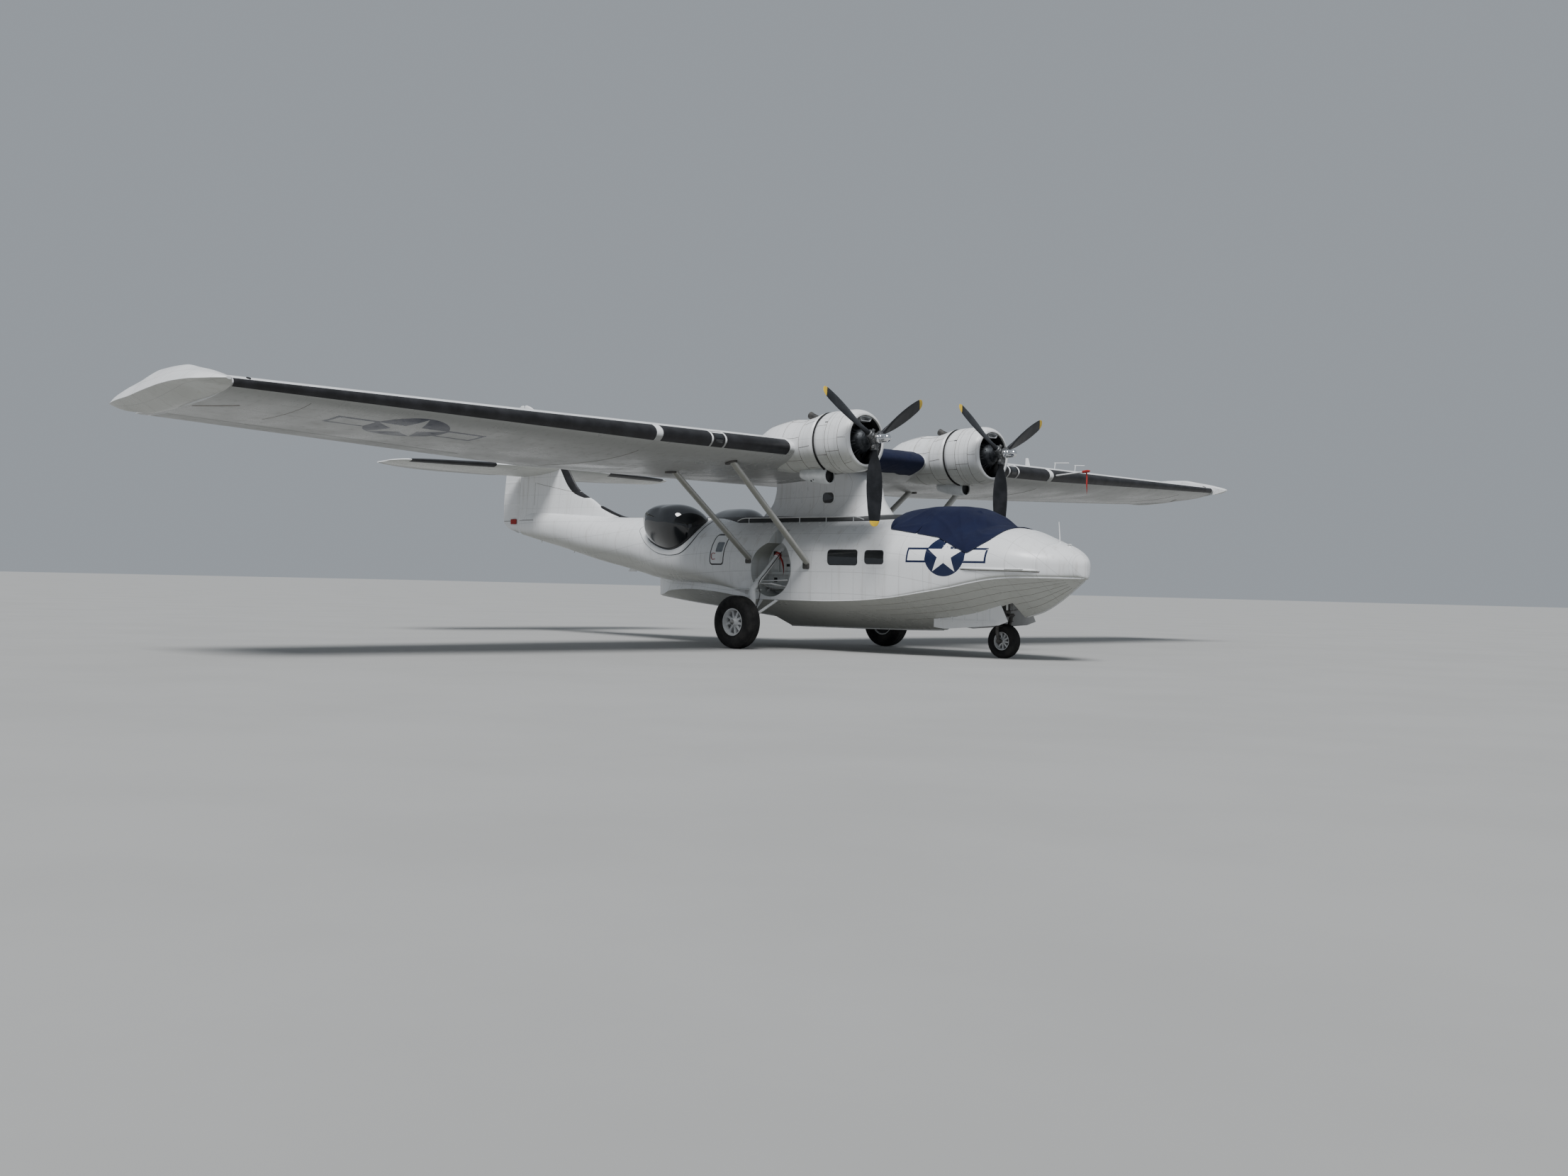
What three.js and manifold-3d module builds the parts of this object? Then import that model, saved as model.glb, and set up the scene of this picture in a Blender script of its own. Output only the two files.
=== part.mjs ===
// Twin-engine amphibious flying boat with a wing held above the hull on a pylon, parked on its wheels.
// Frame: +X towards the nose, +Y to port, +Z up, in millimetres. The origin lies on the ground, below
// the middle of the length and of the span. In the tables, x is measured from a datum a little behind
// that middle and y is a distance from the centre plane. The whole group is moved at the end.
import * as THREE from "three";
import { mergeVertices } from "three/addons/utils/BufferGeometryUtils.js";
import Module from "manifold-3d";

const wasm = await Module();
wasm.setup();

// Driving dimensions
const NOSE = 9430;
const TAIL = -9735;
const HALF_SPAN = 15850;
const FIN_TOP = 6150;
const GAP = 0.3; // left between pieces that touch
const RUNNING_GAP = 12; // left round a hinged surface
const PIN_GAP = 0.6; // left between a hinge pin or lug and the piece that turns on it
const SIDES = { right: -1, left: 1 };

// Hull, by station. Heights are above the ground.
const MAIN_STEP = 1380;
const SECOND_STEP = -3150;
const BOW_JOINT = 3600;
const CAP_JOINT = 9240;
const BOOM_END = -8860;
const HULL_WALL = 150;
const BOOM_WALL = 60;
// Each row: x, keel z, chine y, chine z, waist y, waist z, beam y, beam z, top z
const CAP_ROWS = [
  [NOSE, 1740, 12, 1760, 14, 1775, 20, 1880, 1960],
  [9420, 1675, 45, 1700, 50, 1715, 80, 1900, 2010],
  [9380, 1640, 100, 1672, 108, 1690, 170, 1915, 2065],
  [9300, 1578, 180, 1670, 190, 1695, 290, 1925, 2145],
  [CAP_JOINT, 1531, 270, 1670, 280, 1695, 380, 1930, 2185],
];
const BOW_ROWS = [
  [CAP_JOINT, 1531, 270, 1670, 280, 1695, 380, 1930, 2185],
  [9050, 1380, 550, 1672, 560, 1700, 620, 1935, 2285],
  [8900, 1272, 690, 1672, 700, 1698, 760, 1940, 2350],
  [8750, 1170, 815, 1670, 822, 1696, 880, 1940, 2395],
  [8400, 985, 1000, 1660, 1005, 1685, 1070, 1945, 2525],
  [8000, 870, 1150, 1630, 1155, 1655, 1220, 1940, 2660],
  [7500, 740, 1280, 1540, 1285, 1565, 1340, 1930, 2720],
  [7000, 630, 1370, 1430, 1375, 1455, 1430, 1920, 2780],
  [6300, 555, 1460, 1310, 1465, 1335, 1500, 1920, 2870],
  [5500, 520, 1520, 1190, 1525, 1215, 1545, 1920, 2960],
  [4500, 500, 1550, 1110, 1550, 1135, 1560, 1920, 3000],
  [BOW_JOINT, 490, 1550, 1085, 1550, 1110, 1560, 1920, 3000],
];
const CENTRE_ROWS = [
  [BOW_JOINT - GAP, 490, 1550, 1085, 1550, 1110, 1560, 1920, 3000],
  [MAIN_STEP, 480, 1550, 1085, 1550, 1110, 1560, 1920, 3000],
];
const AFTER_ROWS = [
  [MAIN_STEP - GAP, 640, 1530, 1120, 1530, 1240, 1560, 1920, 3000],
  [0, 770, 1240, 1235, 1220, 1390, 1480, 1950, 3000],
  [-1000, 870, 1000, 1270, 930, 1430, 1380, 2000, 3000],
  [-2000, 960, 720, 1225, 620, 1460, 1240, 2100, 3005],
  [-2700, 1035, 330, 1120, 300, 1500, 1110, 2200, 3015],
  [SECOND_STEP, 1090, 30, 1100, 40, 1530, 1020, 2270, 3025],
];
// Each row: x, bottom z, beam y, beam z, top z
const BOOM_ROWS = [
  [SECOND_STEP - GAP, 1530, 1020, 2270, 3025],
  [-4050, 1700, 840, 2370, 3030],
  [-5450, 1940, 610, 2530, 3080],
  [-6920, 2245, 400, 2750, 3180],
  [-8200, 2490, 230, 2900, 3280],
  [BOOM_END, 2620, 120, 2980, 3330],
];

// Wheel wells, doors and the cabin hatch
const WELL = { x: 2170, z: 1760, radius: 620, floorY: 1020, slotTop: 2640, slotWidth: 420 };
const NOSE_WELL = { aft: 5950, fore: 7950, halfWidth: 450, top: 1500 };
const NOSE_DOOR = { y: 480, thickness: 20 };
const HATCH = { aft: 120, fore: 620, low: 1830, high: 2550, gap: 10, thickness: 36, recess: 76 };
const HATCH_LUGS = { stations: [200, 480], width: 60, root: 8 };

// Wing. Each row: y, leading edge x, leading edge z, chord, thickness as a fraction of the chord
const WING_ROWS = [
  [0, 4000, 4280, 4570, 0.15],
  [6600, 3980, 4285, 4550, 0.15],
  [15240, 3560, 4410, 3230, 0.12],
];
const WING_SLOPE = Math.tan(THREE.MathUtils.degToRad(6));
const WING_CAMBER = 0.008;
const CAMBER_CREST = 0.35; // fraction of the chord where the camber is highest
const PANEL_JOINT = 6600;
const AILERON = { inner: 8800, outer: 15000, hinge: 0.8, cut: 0.775, endGap: 20, pin: 12 };
const HOIST_PAD = { x: 2700, y: 700, size: 220, top: 4545 };
const WING_COVER = { halfWidth: 1490, depth: 0.085, thickness: 18 };

// Floats folded out as wing tips. Each row: x, inner y, its low z and high z, shoulder y and z, keel y
// and z, chine y and z
const FLOAT_ROWS = [
  [160, 15560, 4200, 4225, 15585, 4228, 15620, 4212, 15585, 4197],
  [340, 15470, 4140, 4335, 15530, 4350, 15665, 4226, 15530, 4130],
  [620, 15370, 4085, 4440, 15460, 4462, 15705, 4245, 15470, 4072],
  [1150, 15240, 4050, 4580, 15400, 4615, 15745, 4275, 15340, 4032],
  [1610, 15240, 4065, 4675, 15400, 4715, 15790, 4315, 15340, 4055],
  [2100, 15240, 4120, 4690, 15420, 4728, 15830, 4355, 15410, 4110],
  [2500, 15240, 4165, 4680, 15440, 4722, HALF_SPAN, 4385, 15490, 4205],
  [2970, 15240, 4205, 4610, 15450, 4648, HALF_SPAN, 4405, 15600, 4350],
  [3390, 15240, 4265, 4530, 15440, 4572, 15840, 4405, 15640, 4345],
  [3600, 15260, 4305, 4485, 15430, 4520, 15720, 4410, 15600, 4340],
  [3780, 15300, 4355, 4440, 15420, 4468, 15580, 4420, 15500, 4375],
  [3880, 15370, 4405, 4430, 15410, 4440, 15460, 4425, 15420, 4402],
];
const FLOAT_BULGE = 30; // how far the side between shoulder and keel stands out

// Tail. Fin rows: z, leading edge x, half thickness
const FIN_ROWS = [
  [3050, -4750, 60],
  [3140, -5090, 90],
  [3330, -5550, 115],
  [3520, -5890, 130],
  [3590, -6200, 135],
  [3780, -6430, 130],
  [4400, -6970, 115],
  [5100, -7590, 90],
  [5600, -8030, 70],
  [5930, -8370, 50],
  [6100, -8640, 35],
  [FIN_TOP, -8800, 20],
];
const RUDDER_HINGE = -8960;
const FIN_REAR = -8860;
const RUDDER_LUG = { halfWidth: 12, height: 40, root: 10 };
const RUDDER_LUG_ROWS = [4, 5];
// Rudder rows: z, trailing edge x, nose radius
const RUDDER_ROWS = [
  [2665, -9060, 40],
  [2810, -9520, 70],
  [2970, -9720, 80],
  [3300, TAIL, 85],
  [4300, -9640, 80],
  [5200, -9520, 68],
  [5800, -9350, 50],
  [6060, -9170, 35],
  [FIN_TOP, -9040, 22],
];
// Tailplane rows: y, leading edge x, half thickness
const TAILPLANE_ROWS = [
  [0, -7200, 130],
  [1500, -7440, 125],
  [3000, -7660, 105],
  [4100, -7850, 75],
  [4500, -8030, 45],
  [4650, -8330, 18],
];
const TAILPLANE_Z = 4390;
const TAILPLANE_NOSE = -7200;
const TAILPLANE_SLOPE = 0.064;
const ELEVATOR_HINGE = -8800;
const ELEVATOR_TUBE = 25;
const TAILPLANE_REAR = -8700;
// Elevator rows: y, trailing edge x, nose radius
const ELEVATOR_ROWS = [
  [170, -8960, 78],
  [320, -9260, 78],
  [600, -9600, 77],
  [2300, -9640, 72],
  [3300, -9480, 60],
  [4100, -9180, 42],
  [4500, -8960, 28],
  [4650, -8860, 18],
];

// Pylon rows: z, leading edge x, trailing edge x, half width
const PYLON_ROWS = [
  [2700, 4560, -50, 720],
  [3040, 4270, 420, 520],
  [3350, 4040, 720, 465],
  [3700, 3910, 800, 460],
  [3860, 3760, 720, 475],
  [4010, 3480, 560, 520],
  [4150, 3380, 400, 600],
];

// Powerplants, in the frame of the propeller centre with +X along the thrust line
const PROPELLER = { x: 5640, y: 2165, z: 4435, radius: 1790, tilt: -0.028 };
const BLADE_PHASE = { right: 0, left: -0.035 };
const COWL_REAR = -1140;
// Nacelle rows: x on the aircraft, half width, bottom z, top z
const NACELLE_ROWS = [
  [4420, 645, 3795, 5062],
  [4200, 640, 3795, 5042],
  [3900, 630, 3795, 5006],
  [3400, 575, 3810, 4938],
  [2900, 450, 3880, 4810],
  [2600, 330, 3950, 4690],
  [2400, 270, 4000, 4600],
  [1900, 60, 4150, 4450],
];
const NACELLE_SIDES = 28;
const OIL_COOLER = { x: 4485, y: 2260, z: 3735, radius: 165, length: 760, rise: 60, taper: 0.6 };
const OIL_COOLER_BORE = { radius: 132, depth: 420 };
// The exhaust's root and mouth are measured from its middle
const EXHAUST = { x: 3950, y: 2190, z: 4960 };
const EXHAUST_PIPE = { root: [300, 0, -90], mouth: [-90, 0, 55], radius: 58, flare: 78 };
const EXHAUST_BORE = { root: [66, 0, -3], mouth: [-121, 0, 67], radius: 56 };

// Wing struts. Each row: name, foot x, foot y, foot z, top x, top y, top z
const STRUT_ROWS = [
  ["front", 3260, 1500, 1850, 3290, 3950, 3960],
  ["rear", 1470, 1500, 1950, 1540, 4040, 3850],
];
const STRUT_RADIUS = 88;

// Landing gear
const MAIN_WHEEL = { x: 2110, y: 2510, radius: 582, width: 400, rim: 300, sides: 28 };
const NOSE_WHEEL = { x: 7430, y: 0, radius: 360, width: 250, rim: 190, sides: 24 };
const STEER_X = 7460;
const WHEEL_WINDOWS = 8;
const AXLE = 42;
const NOSE_AXLE = 30;
const BORE_GAP = 0.8; // on the radius, between an axle's corners and a wheel's bore
// Bars of a main leg. Each row: x from the axle, y, z, the same at the far end, two radii
const MAIN_LEG_BARS = [
  [0, 2060, 560, 0, 2230, 590, 95, 80],
  [0, 2120, 580, 0, 1960, 1200, 66, 60],
  [0, 2000, 1080, 0, 1100, 2480, 92, 92],
  [-60, 2110, 660, -360, 1100, 1330, 46, 46],
  [60, 2110, 660, 360, 1100, 1330, 46, 46],
  [-420, 1100, 1330, 420, 1100, 1330, 55, 55],
];
const MAIN_AXLE = { inner: 2180, outer: 2640 };
const NOSE_ARM = { foot: 185, top: 190, height: 900, footRadius: 34, topRadius: 42 };
const NOSE_BOSS = { inner: 140, outer: 225, radius: 55 };
const NOSE_CROWN = { low: 850, high: 930, half: 75, halfWidth: 235, tube: 58, tubeTop: 1400, axleHalf: 150 };
const TOW_LUG = { front: 130, halfWidth: 40 };
const NOSE_LEG = { radius: 98, bore: 62, boreTop: 1406 };
// Outline of a nose door, seen from the side: x, z
const DOOR_OUTLINE = [
  [5960, 600],
  [6250, 570],
  [7650, 690],
  [7880, 770],
  [7840, 1300],
  [5960, 1300],
];

// Cockpit roof rows: x, half width, top z
const ROOF_ROWS = [
  [4900, 560, 3010],
  [5400, 820, 3085],
  [6050, 900, 3130],
  [6550, 880, 3115],
  [7000, 800, 2975],
  [7280, 700, 2800],
  [7450, 600, 2690],
];
const ROOF_BASE = 2300;
const ROOF_POWER = 0.62; // below 1, the section's shoulders are fuller than an ellipse's
const COVER_THICKNESS = 22;
// Outline of the cockpit cover, seen from the side: x, z
const COVER_OUTLINE = [
  [4950, 3500],
  [4985, 2950],
  [5270, 2640],
  [6600, 2460],
  [7420, 2140],
  [7750, 2400],
  [7830, 2560],
  [7680, 2720],
  [7600, 3500],
];

// Blisters: the middle and the half axes of the dome
const BLISTER = { x: -1400, y: 950, z: 2700, length: 1100, width: 650, height: 570 };

const MAST = { foot: [8760, 0, 2300], top: [8720, 0, 2810], radius: 16, topRadius: 10 };
const PITOT = { root: [3850, 6750, 4285], tip: [4960, 6750, 4385], radius: 22, tipRadius: 16 };

const white = { color: 0xe9ebea, roughness: 0.28, metalness: 0 };
const FINISH = {
  paint: white,
  dark: { color: 0x191a1c, roughness: 0.6, metalness: 0 },
  steel: { color: 0x6f7175, roughness: 0.45, metalness: 0.8 },
  cast: { color: 0x4b4c4f, roughness: 0.6, metalness: 0.5 },
  chrome: { color: 0xd8dadd, roughness: 0.12, metalness: 1 },
  wheel: { color: 0x8b8d90, roughness: 0.45, metalness: 0.6 },
  tyre: { color: 0x1b1b1c, roughness: 0.85, metalness: 0 },
  canvas: { color: 0x1a2040, roughness: 0.9, metalness: 0 },
  glass: { color: 0x0d0f12, roughness: 0.08, metalness: 0 },
};

const aircraft = new THREE.Group();

// Solids

// The solid of a closed set of points and triangles. Equal points are merged, and a solid that comes
// out with its faces inwards is turned.
function solidOf(geometry) {
  const bare = new THREE.BufferGeometry();
  bare.setAttribute("position", geometry.getAttribute("position"));
  if (geometry.index) bare.setIndex(geometry.index);
  const merged = mergeVertices(bare, 1e-3);
  const corners = [];
  for (let i = 0; i < merged.index.count; i += 3) {
    const [a, b, c] = [0, 1, 2].map((k) => merged.index.getX(i + k));
    if (a !== b && b !== c && c !== a) corners.push(a, b, c);
  }
  const build = (triangles) =>
    new wasm.Manifold(
      new wasm.Mesh({
        numProp: 3,
        vertProperties: new Float32Array(merged.getAttribute("position").array),
        triVerts: new Uint32Array(triangles),
      }),
    );
  const solid = build(corners);
  return solid.volume() > 0 ? solid : build(corners.reverse());
}

// A body through rings of points. Each ring has the same count of points, and both ends are closed by
// a fan about the ring's mean point.
function loft(rings) {
  const count = rings[0].length;
  const points = rings.flat();
  const index = [];
  for (let r = 0; r + 1 < rings.length; r++) {
    for (let i = 0; i < count; i++) {
      const a = r * count + i;
      const b = r * count + ((i + 1) % count);
      index.push(a, b, b + count, a, b + count, a + count);
    }
  }
  for (const [ring, turned] of [[0, true], [rings.length - 1, false]]) {
    const middle = new THREE.Vector3();
    rings[ring].forEach((p) => middle.addScaledVector(p, 1 / count));
    for (let i = 0; i < count; i++) {
      const a = ring * count + i;
      const b = ring * count + ((i + 1) % count);
      index.push(points.length, ...(turned ? [b, a] : [a, b]));
    }
    points.push(middle);
  }
  const geometry = new THREE.BufferGeometry().setFromPoints(points);
  geometry.setIndex(index);
  return solidOf(geometry);
}

// A round bar from one point to another, with its end radii.
function bar(from, to, radius, endRadius = radius, sides = 16) {
  const a = new THREE.Vector3(...from);
  const b = new THREE.Vector3(...to);
  const along = b.clone().sub(a);
  const geometry = new THREE.CylinderGeometry(endRadius, radius, along.length(), sides);
  geometry.translate(0, along.length() / 2, 0);
  geometry.applyQuaternion(
    new THREE.Quaternion().setFromUnitVectors(new THREE.Vector3(0, 1, 0), along.normalize()),
  );
  geometry.translate(...from);
  return solidOf(geometry);
}

// A box between two corners.
function block(low, high) {
  const size = high.map((v, i) => v - low[i]);
  const geometry = new THREE.BoxGeometry(...size);
  geometry.translate(...low.map((v, i) => v + size[i] / 2));
  return solidOf(geometry);
}

// A turned body. The profile's points are radius and distance along the axis, and close on themselves.
function turned(profile, axis, sides) {
  const points = profile.map(([radius, along]) => new THREE.Vector2(radius, along));
  points.push(points[0].clone());
  const geometry = new THREE.LatheGeometry(points, sides);
  if (axis === "x") geometry.rotateZ(-Math.PI / 2);
  if (axis === "y") geometry.rotateY(Math.PI / sides);
  return solidOf(geometry);
}

// A plate with an outline in x and z, between two distances y.
function plate(outline, y0, y1) {
  const shape = new THREE.Shape(outline.map(([x, z]) => new THREE.Vector2(x, z)));
  const geometry = new THREE.ExtrudeGeometry(shape, { depth: Math.abs(y1 - y0), bevelEnabled: false });
  geometry.rotateX(Math.PI / 2);
  geometry.translate(0, Math.max(y0, y1), 0);
  return solidOf(geometry);
}

const joined = (solids) => solids.reduce((whole, piece) => whole.add(piece));

// The solid less its neighbour, and less the neighbour moved by each of the given steps.
function clearOf(solid, neighbour, ...steps) {
  let left = solid.subtract(neighbour);
  for (const step of steps) left = left.subtract(neighbour.translate(step));
  return left;
}

// The largest of the bodies that a cut has left.
function largest(solid) {
  const bodies = solid.decompose();
  return bodies.reduce((best, body) => (body.volume() > best.volume() ? body : best));
}

function geometryOf(solid) {
  const mesh = solid.getMesh();
  const geometry = new THREE.BufferGeometry();
  geometry.setAttribute("position", new THREE.BufferAttribute(new Float32Array(mesh.vertProperties), 3));
  geometry.setIndex(new THREE.BufferAttribute(new Uint32Array(mesh.triVerts), 1));
  const flat = geometry.toNonIndexed();
  flat.computeVertexNormals();
  return flat;
}

function add(name, solid, finish, group = aircraft) {
  const mesh = new THREE.Mesh(geometryOf(solid), new THREE.MeshStandardMaterial(FINISH[finish]));
  mesh.name = name;
  group.add(mesh);
  return solid;
}

const GAP_ALL_ROUND = [
  [GAP, 0, 0],
  [-GAP, 0, 0],
  [0, GAP, 0],
  [0, -GAP, 0],
  [0, 0, GAP],
  [0, 0, -GAP],
];

// Hull

const UPPER_STEPS = 9;
const LOWER_STEPS = 4;

// One hull section from its table row: the keel, the chine, the waist above it, an arc out to the
// widest point and a quarter of an ellipse over the top. The inset moves every point inwards.
function hullRing(row, inset = 0) {
  const [x, keelZ, chineY, chineZ, waistY, waistZ, beamY, beamZ, topZ] = row;
  const keel = keelZ + inset * 1.15;
  const beam = Math.max(beamY - inset, 1);
  const chine = [Math.max(chineY - inset, 0.6), chineZ + inset * 0.5];
  const waist = [Math.max(waistY - inset, 0.8), Math.max(waistZ, chine[1] + 10)];
  const top = topZ - inset;
  const half = [[0, keel], [chine[0] / 2, (keel + chine[1]) / 2], chine];
  for (let i = 0; i < LOWER_STEPS; i++) {
    const t = (i / LOWER_STEPS) * (Math.PI / 2);
    half.push([waist[0] + (beam - waist[0]) * Math.sin(t), beamZ - (beamZ - waist[1]) * Math.cos(t)]);
  }
  for (let i = 0; i <= UPPER_STEPS; i++) {
    const t = (i / UPPER_STEPS) * (Math.PI / 2);
    half.push([beam * Math.cos(t), beamZ + (top - beamZ) * Math.sin(t)]);
  }
  half[half.length - 1][0] = 0;
  const other = half.slice(1, -1).reverse();
  return [
    ...half.map(([y, z]) => new THREE.Vector3(x, y, z)),
    ...other.map(([y, z]) => new THREE.Vector3(x, -y, z)),
  ];
}

// One section of the tail boom: a rounded bottom and an elliptic top.
function boomRing(row, inset = 0) {
  const [x, bottomZ, beamY, beamZ, topZ] = row;
  const beam = beamY - inset;
  const steps = 24;
  const ring = [];
  for (let i = 0; i < steps; i++) {
    const t = (i / steps) * Math.PI * 2;
    const reach = Math.cos(t) > 0 ? topZ - inset - beamZ : beamZ - bottomZ - inset;
    ring.push(new THREE.Vector3(x, beam * Math.sin(t), beamZ + reach * Math.cos(t)));
  }
  return ring;
}

const bowOuter = loft(BOW_ROWS.map((row) => hullRing(row)));
const centreOuter = loft(CENTRE_ROWS.map((row) => hullRing(row)));
const afterOuter = loft(AFTER_ROWS.map((row) => hullRing(row)));
const boomOuter = loft(BOOM_ROWS.map((row) => boomRing(row)));

function bow() {
  const { aft, fore, halfWidth, top } = NOSE_WELL;
  return bowOuter.subtract(block([aft, -halfWidth, 0], [fore, halfWidth, top]));
}

function centreHull() {
  let hull = centreOuter;
  for (const side of Object.values(SIDES)) {
    const outside = side * 2000;
    const floor = side * WELL.floorY;
    const pocket = bar([WELL.x, floor, WELL.z], [WELL.x, outside, WELL.z], WELL.radius, WELL.radius, 40);
    const half = WELL.slotWidth / 2;
    const slot = block(
      [WELL.x - half, Math.min(floor, outside), WELL.z],
      [WELL.x + half, Math.max(floor, outside), WELL.slotTop],
    );
    hull = hull.subtract(pocket).subtract(slot);
  }
  return hull;
}

// The region of the hatch, seen from the side, through the starboard hull side.
function hatchRegion(gap) {
  return block([HATCH.aft + gap, -2200, HATCH.low + gap], [HATCH.fore - gap, -900, HATCH.high - gap]);
}

function afterHull() {
  const inside = AFTER_ROWS.map((row, i) => {
    const moved = [...row];
    if (i === 0) moved[0] += 100;
    if (i === AFTER_ROWS.length - 1) moved[0] += BOOM_WALL;
    return hullRing(moved, HULL_WALL);
  });
  const shell = afterOuter.subtract(loft(inside.slice(0, -2)));
  const recess = loft(AFTER_ROWS.map((row) => hullRing(row, HATCH.recess)));
  return shell.subtract(hatchRegion(0).subtract(recess)).add(hatchLugs());
}

// The hinge lugs on the upper side of the hatch frame, which the hatch's top edge turns against.
function hatchLugs() {
  const behind = loft(AFTER_ROWS.map((row) => hullRing(row, HATCH.thickness)));
  const face = HATCH.high - HATCH.gap + PIN_GAP;
  const lugs = HATCH_LUGS.stations.map((x) =>
    block([x, -2200, face], [x + HATCH_LUGS.width, -900, HATCH.high + HATCH_LUGS.root]),
  );
  return afterOuter.intersect(joined(lugs)).subtract(behind);
}

function hatch() {
  const behind = loft(AFTER_ROWS.map((row) => hullRing(row, HATCH.thickness)));
  return afterOuter.intersect(hatchRegion(HATCH.gap)).subtract(behind);
}

function boom() {
  const inside = BOOM_ROWS.slice(0, -1).map((row, i) => {
    const moved = [...row];
    if (i === 0) moved[0] += 100;
    return boomRing(moved, BOOM_WALL);
  });
  return boomOuter.subtract(loft(inside));
}

const capSolid = loft(CAP_ROWS.map((row) => hullRing(row))).subtract(
  block([CAP_JOINT - 1, -2000, 0], [CAP_JOINT + GAP, 2000, 4000]),
);
add("nose_cap", capSolid, "paint");
add("hull_bow", bow(), "paint");
const centre = add("hull_centre", centreHull(), "paint");
const after = add("hull_after", afterHull(), "paint");
add("tail_boom", boom(), "paint");
add("cabin_hatch", hatch(), "paint");

// Wing

const CHORD_STEPS = 13;

// Leading edge x and z, chord and thickness ratio at a distance from the centre plane.
function wingAt(y) {
  const k = WING_ROWS.findIndex((row) => y <= row[0] + 1);
  const [b, a] = [WING_ROWS[k], WING_ROWS[Math.max(k - 1, 0)]];
  const t = b[0] === a[0] ? 0 : (y - a[0]) / (b[0] - a[0]);
  return [1, 2, 3, 4].map((i) => a[i] + (b[i] - a[i]) * t);
}

// Half the thickness of a streamlined section at a fraction of its chord, for a whole thickness of one.
function sectionHalf(f) {
  return 5 * (0.2969 * Math.sqrt(f) - 0.126 * f - 0.3516 * f ** 2 + 0.2843 * f ** 3 - 0.1036 * f ** 4);
}

// Upper or lower height of the wing's section at a fraction of the chord, as a fraction of the chord.
function sectionHeight(f, upper, ratio) {
  const half = ratio * sectionHalf(f);
  const rise = f > CAMBER_CREST ? (f - CAMBER_CREST) / (1 - CAMBER_CREST) : 1 - f / CAMBER_CREST;
  return WING_CAMBER * (1 - rise ** 2) + (upper ? half : -half);
}

// A point of the wing's surface, moved out by a skin thickness.
function wingPoint(y, side, f, upper, skin = 0) {
  const [noseX, noseZ, chord, ratio] = wingAt(y);
  const turn = Math.min(1, f * 60);
  const height = sectionHeight(f, upper, ratio) * chord + (upper ? skin : -skin) * turn;
  const nose = skin * (1 - turn);
  return new THREE.Vector3(noseX + nose - f * chord, side * y, noseZ - f * chord * WING_SLOPE + height);
}

// A section from the nose back to a fraction of the chord.
function wingRing(y, side, back = 1, skin = 0) {
  const fractions = [];
  for (let i = 0; i <= CHORD_STEPS; i++) {
    fractions.push((back * (1 - Math.cos((Math.PI * i) / CHORD_STEPS))) / 2);
  }
  const upper = [...fractions].reverse().map((f) => wingPoint(y, side, f, true, skin));
  const lower = fractions.slice(1).map((f) => wingPoint(y, side, f, false, skin));
  return [...upper, ...lower];
}

function wingCentre() {
  let wing = loft([wingRing(PANEL_JOINT, -1), wingRing(0, 1), wingRing(PANEL_JOINT, 1)]);
  for (const side of Object.values(SIDES)) {
    const y = side * HOIST_PAD.y;
    const half = HOIST_PAD.size / 2;
    const pad = block([HOIST_PAD.x - half, y - half, 4400], [HOIST_PAD.x + half, y + half, HOIST_PAD.top]);
    wing = wing.add(pad);
  }
  return wing;
}

// The space that the aileron takes, open at the trailing edge.
function aileronBay(side) {
  const ring = (y) => {
    const [noseX, noseZ, chord] = wingAt(y);
    const x = noseX - AILERON.cut * chord;
    const z = noseZ - AILERON.cut * chord * WING_SLOPE;
    return [
      new THREE.Vector3(x, side * y, z + 600),
      new THREE.Vector3(x, side * y, z - 600),
      new THREE.Vector3(x - 2000, side * y, z - 600),
      new THREE.Vector3(x - 2000, side * y, z + 600),
    ];
  };
  return loft([ring(AILERON.inner - AILERON.endGap), ring(AILERON.outer + AILERON.endGap)]);
}

function wingPanel(side) {
  const tip = WING_ROWS[WING_ROWS.length - 1][0];
  const whole = loft([wingRing(PANEL_JOINT + GAP, side), wingRing(tip - GAP, side)]);
  return whole.subtract(aileronBay(side)).add(aileronPins(side));
}

// Hinge pins that stand out of the bay's two end walls along the aileron's hinge line.
function aileronPins(side) {
  const { inner, outer, endGap, pin } = AILERON;
  const root = endGap * 2;
  const at = (y) => {
    const { x, z } = aileronHinge(y);
    return [x, side * y, z];
  };
  const pins = bar(at(inner - root), at(inner + root), pin).add(bar(at(outer - root), at(outer + root), pin));
  const reach = [inner - PIN_GAP, outer + PIN_GAP].map((y) => side * y);
  const between = block([0, Math.min(...reach), 3800], [1500, Math.max(...reach), 4600]);
  return pins.subtract(between);
}

// The hinge point and the nose radius of the aileron at a distance from the centre plane.
function aileronHinge(y) {
  const [noseX, noseZ, chord, ratio] = wingAt(y);
  const high = sectionHeight(AILERON.hinge, true, ratio) * chord;
  const low = sectionHeight(AILERON.hinge, false, ratio) * chord;
  return {
    x: noseX - AILERON.hinge * chord,
    z: noseZ - AILERON.hinge * chord * WING_SLOPE + (high + low) / 2,
    radius: (high - low) / 2,
  };
}

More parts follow.
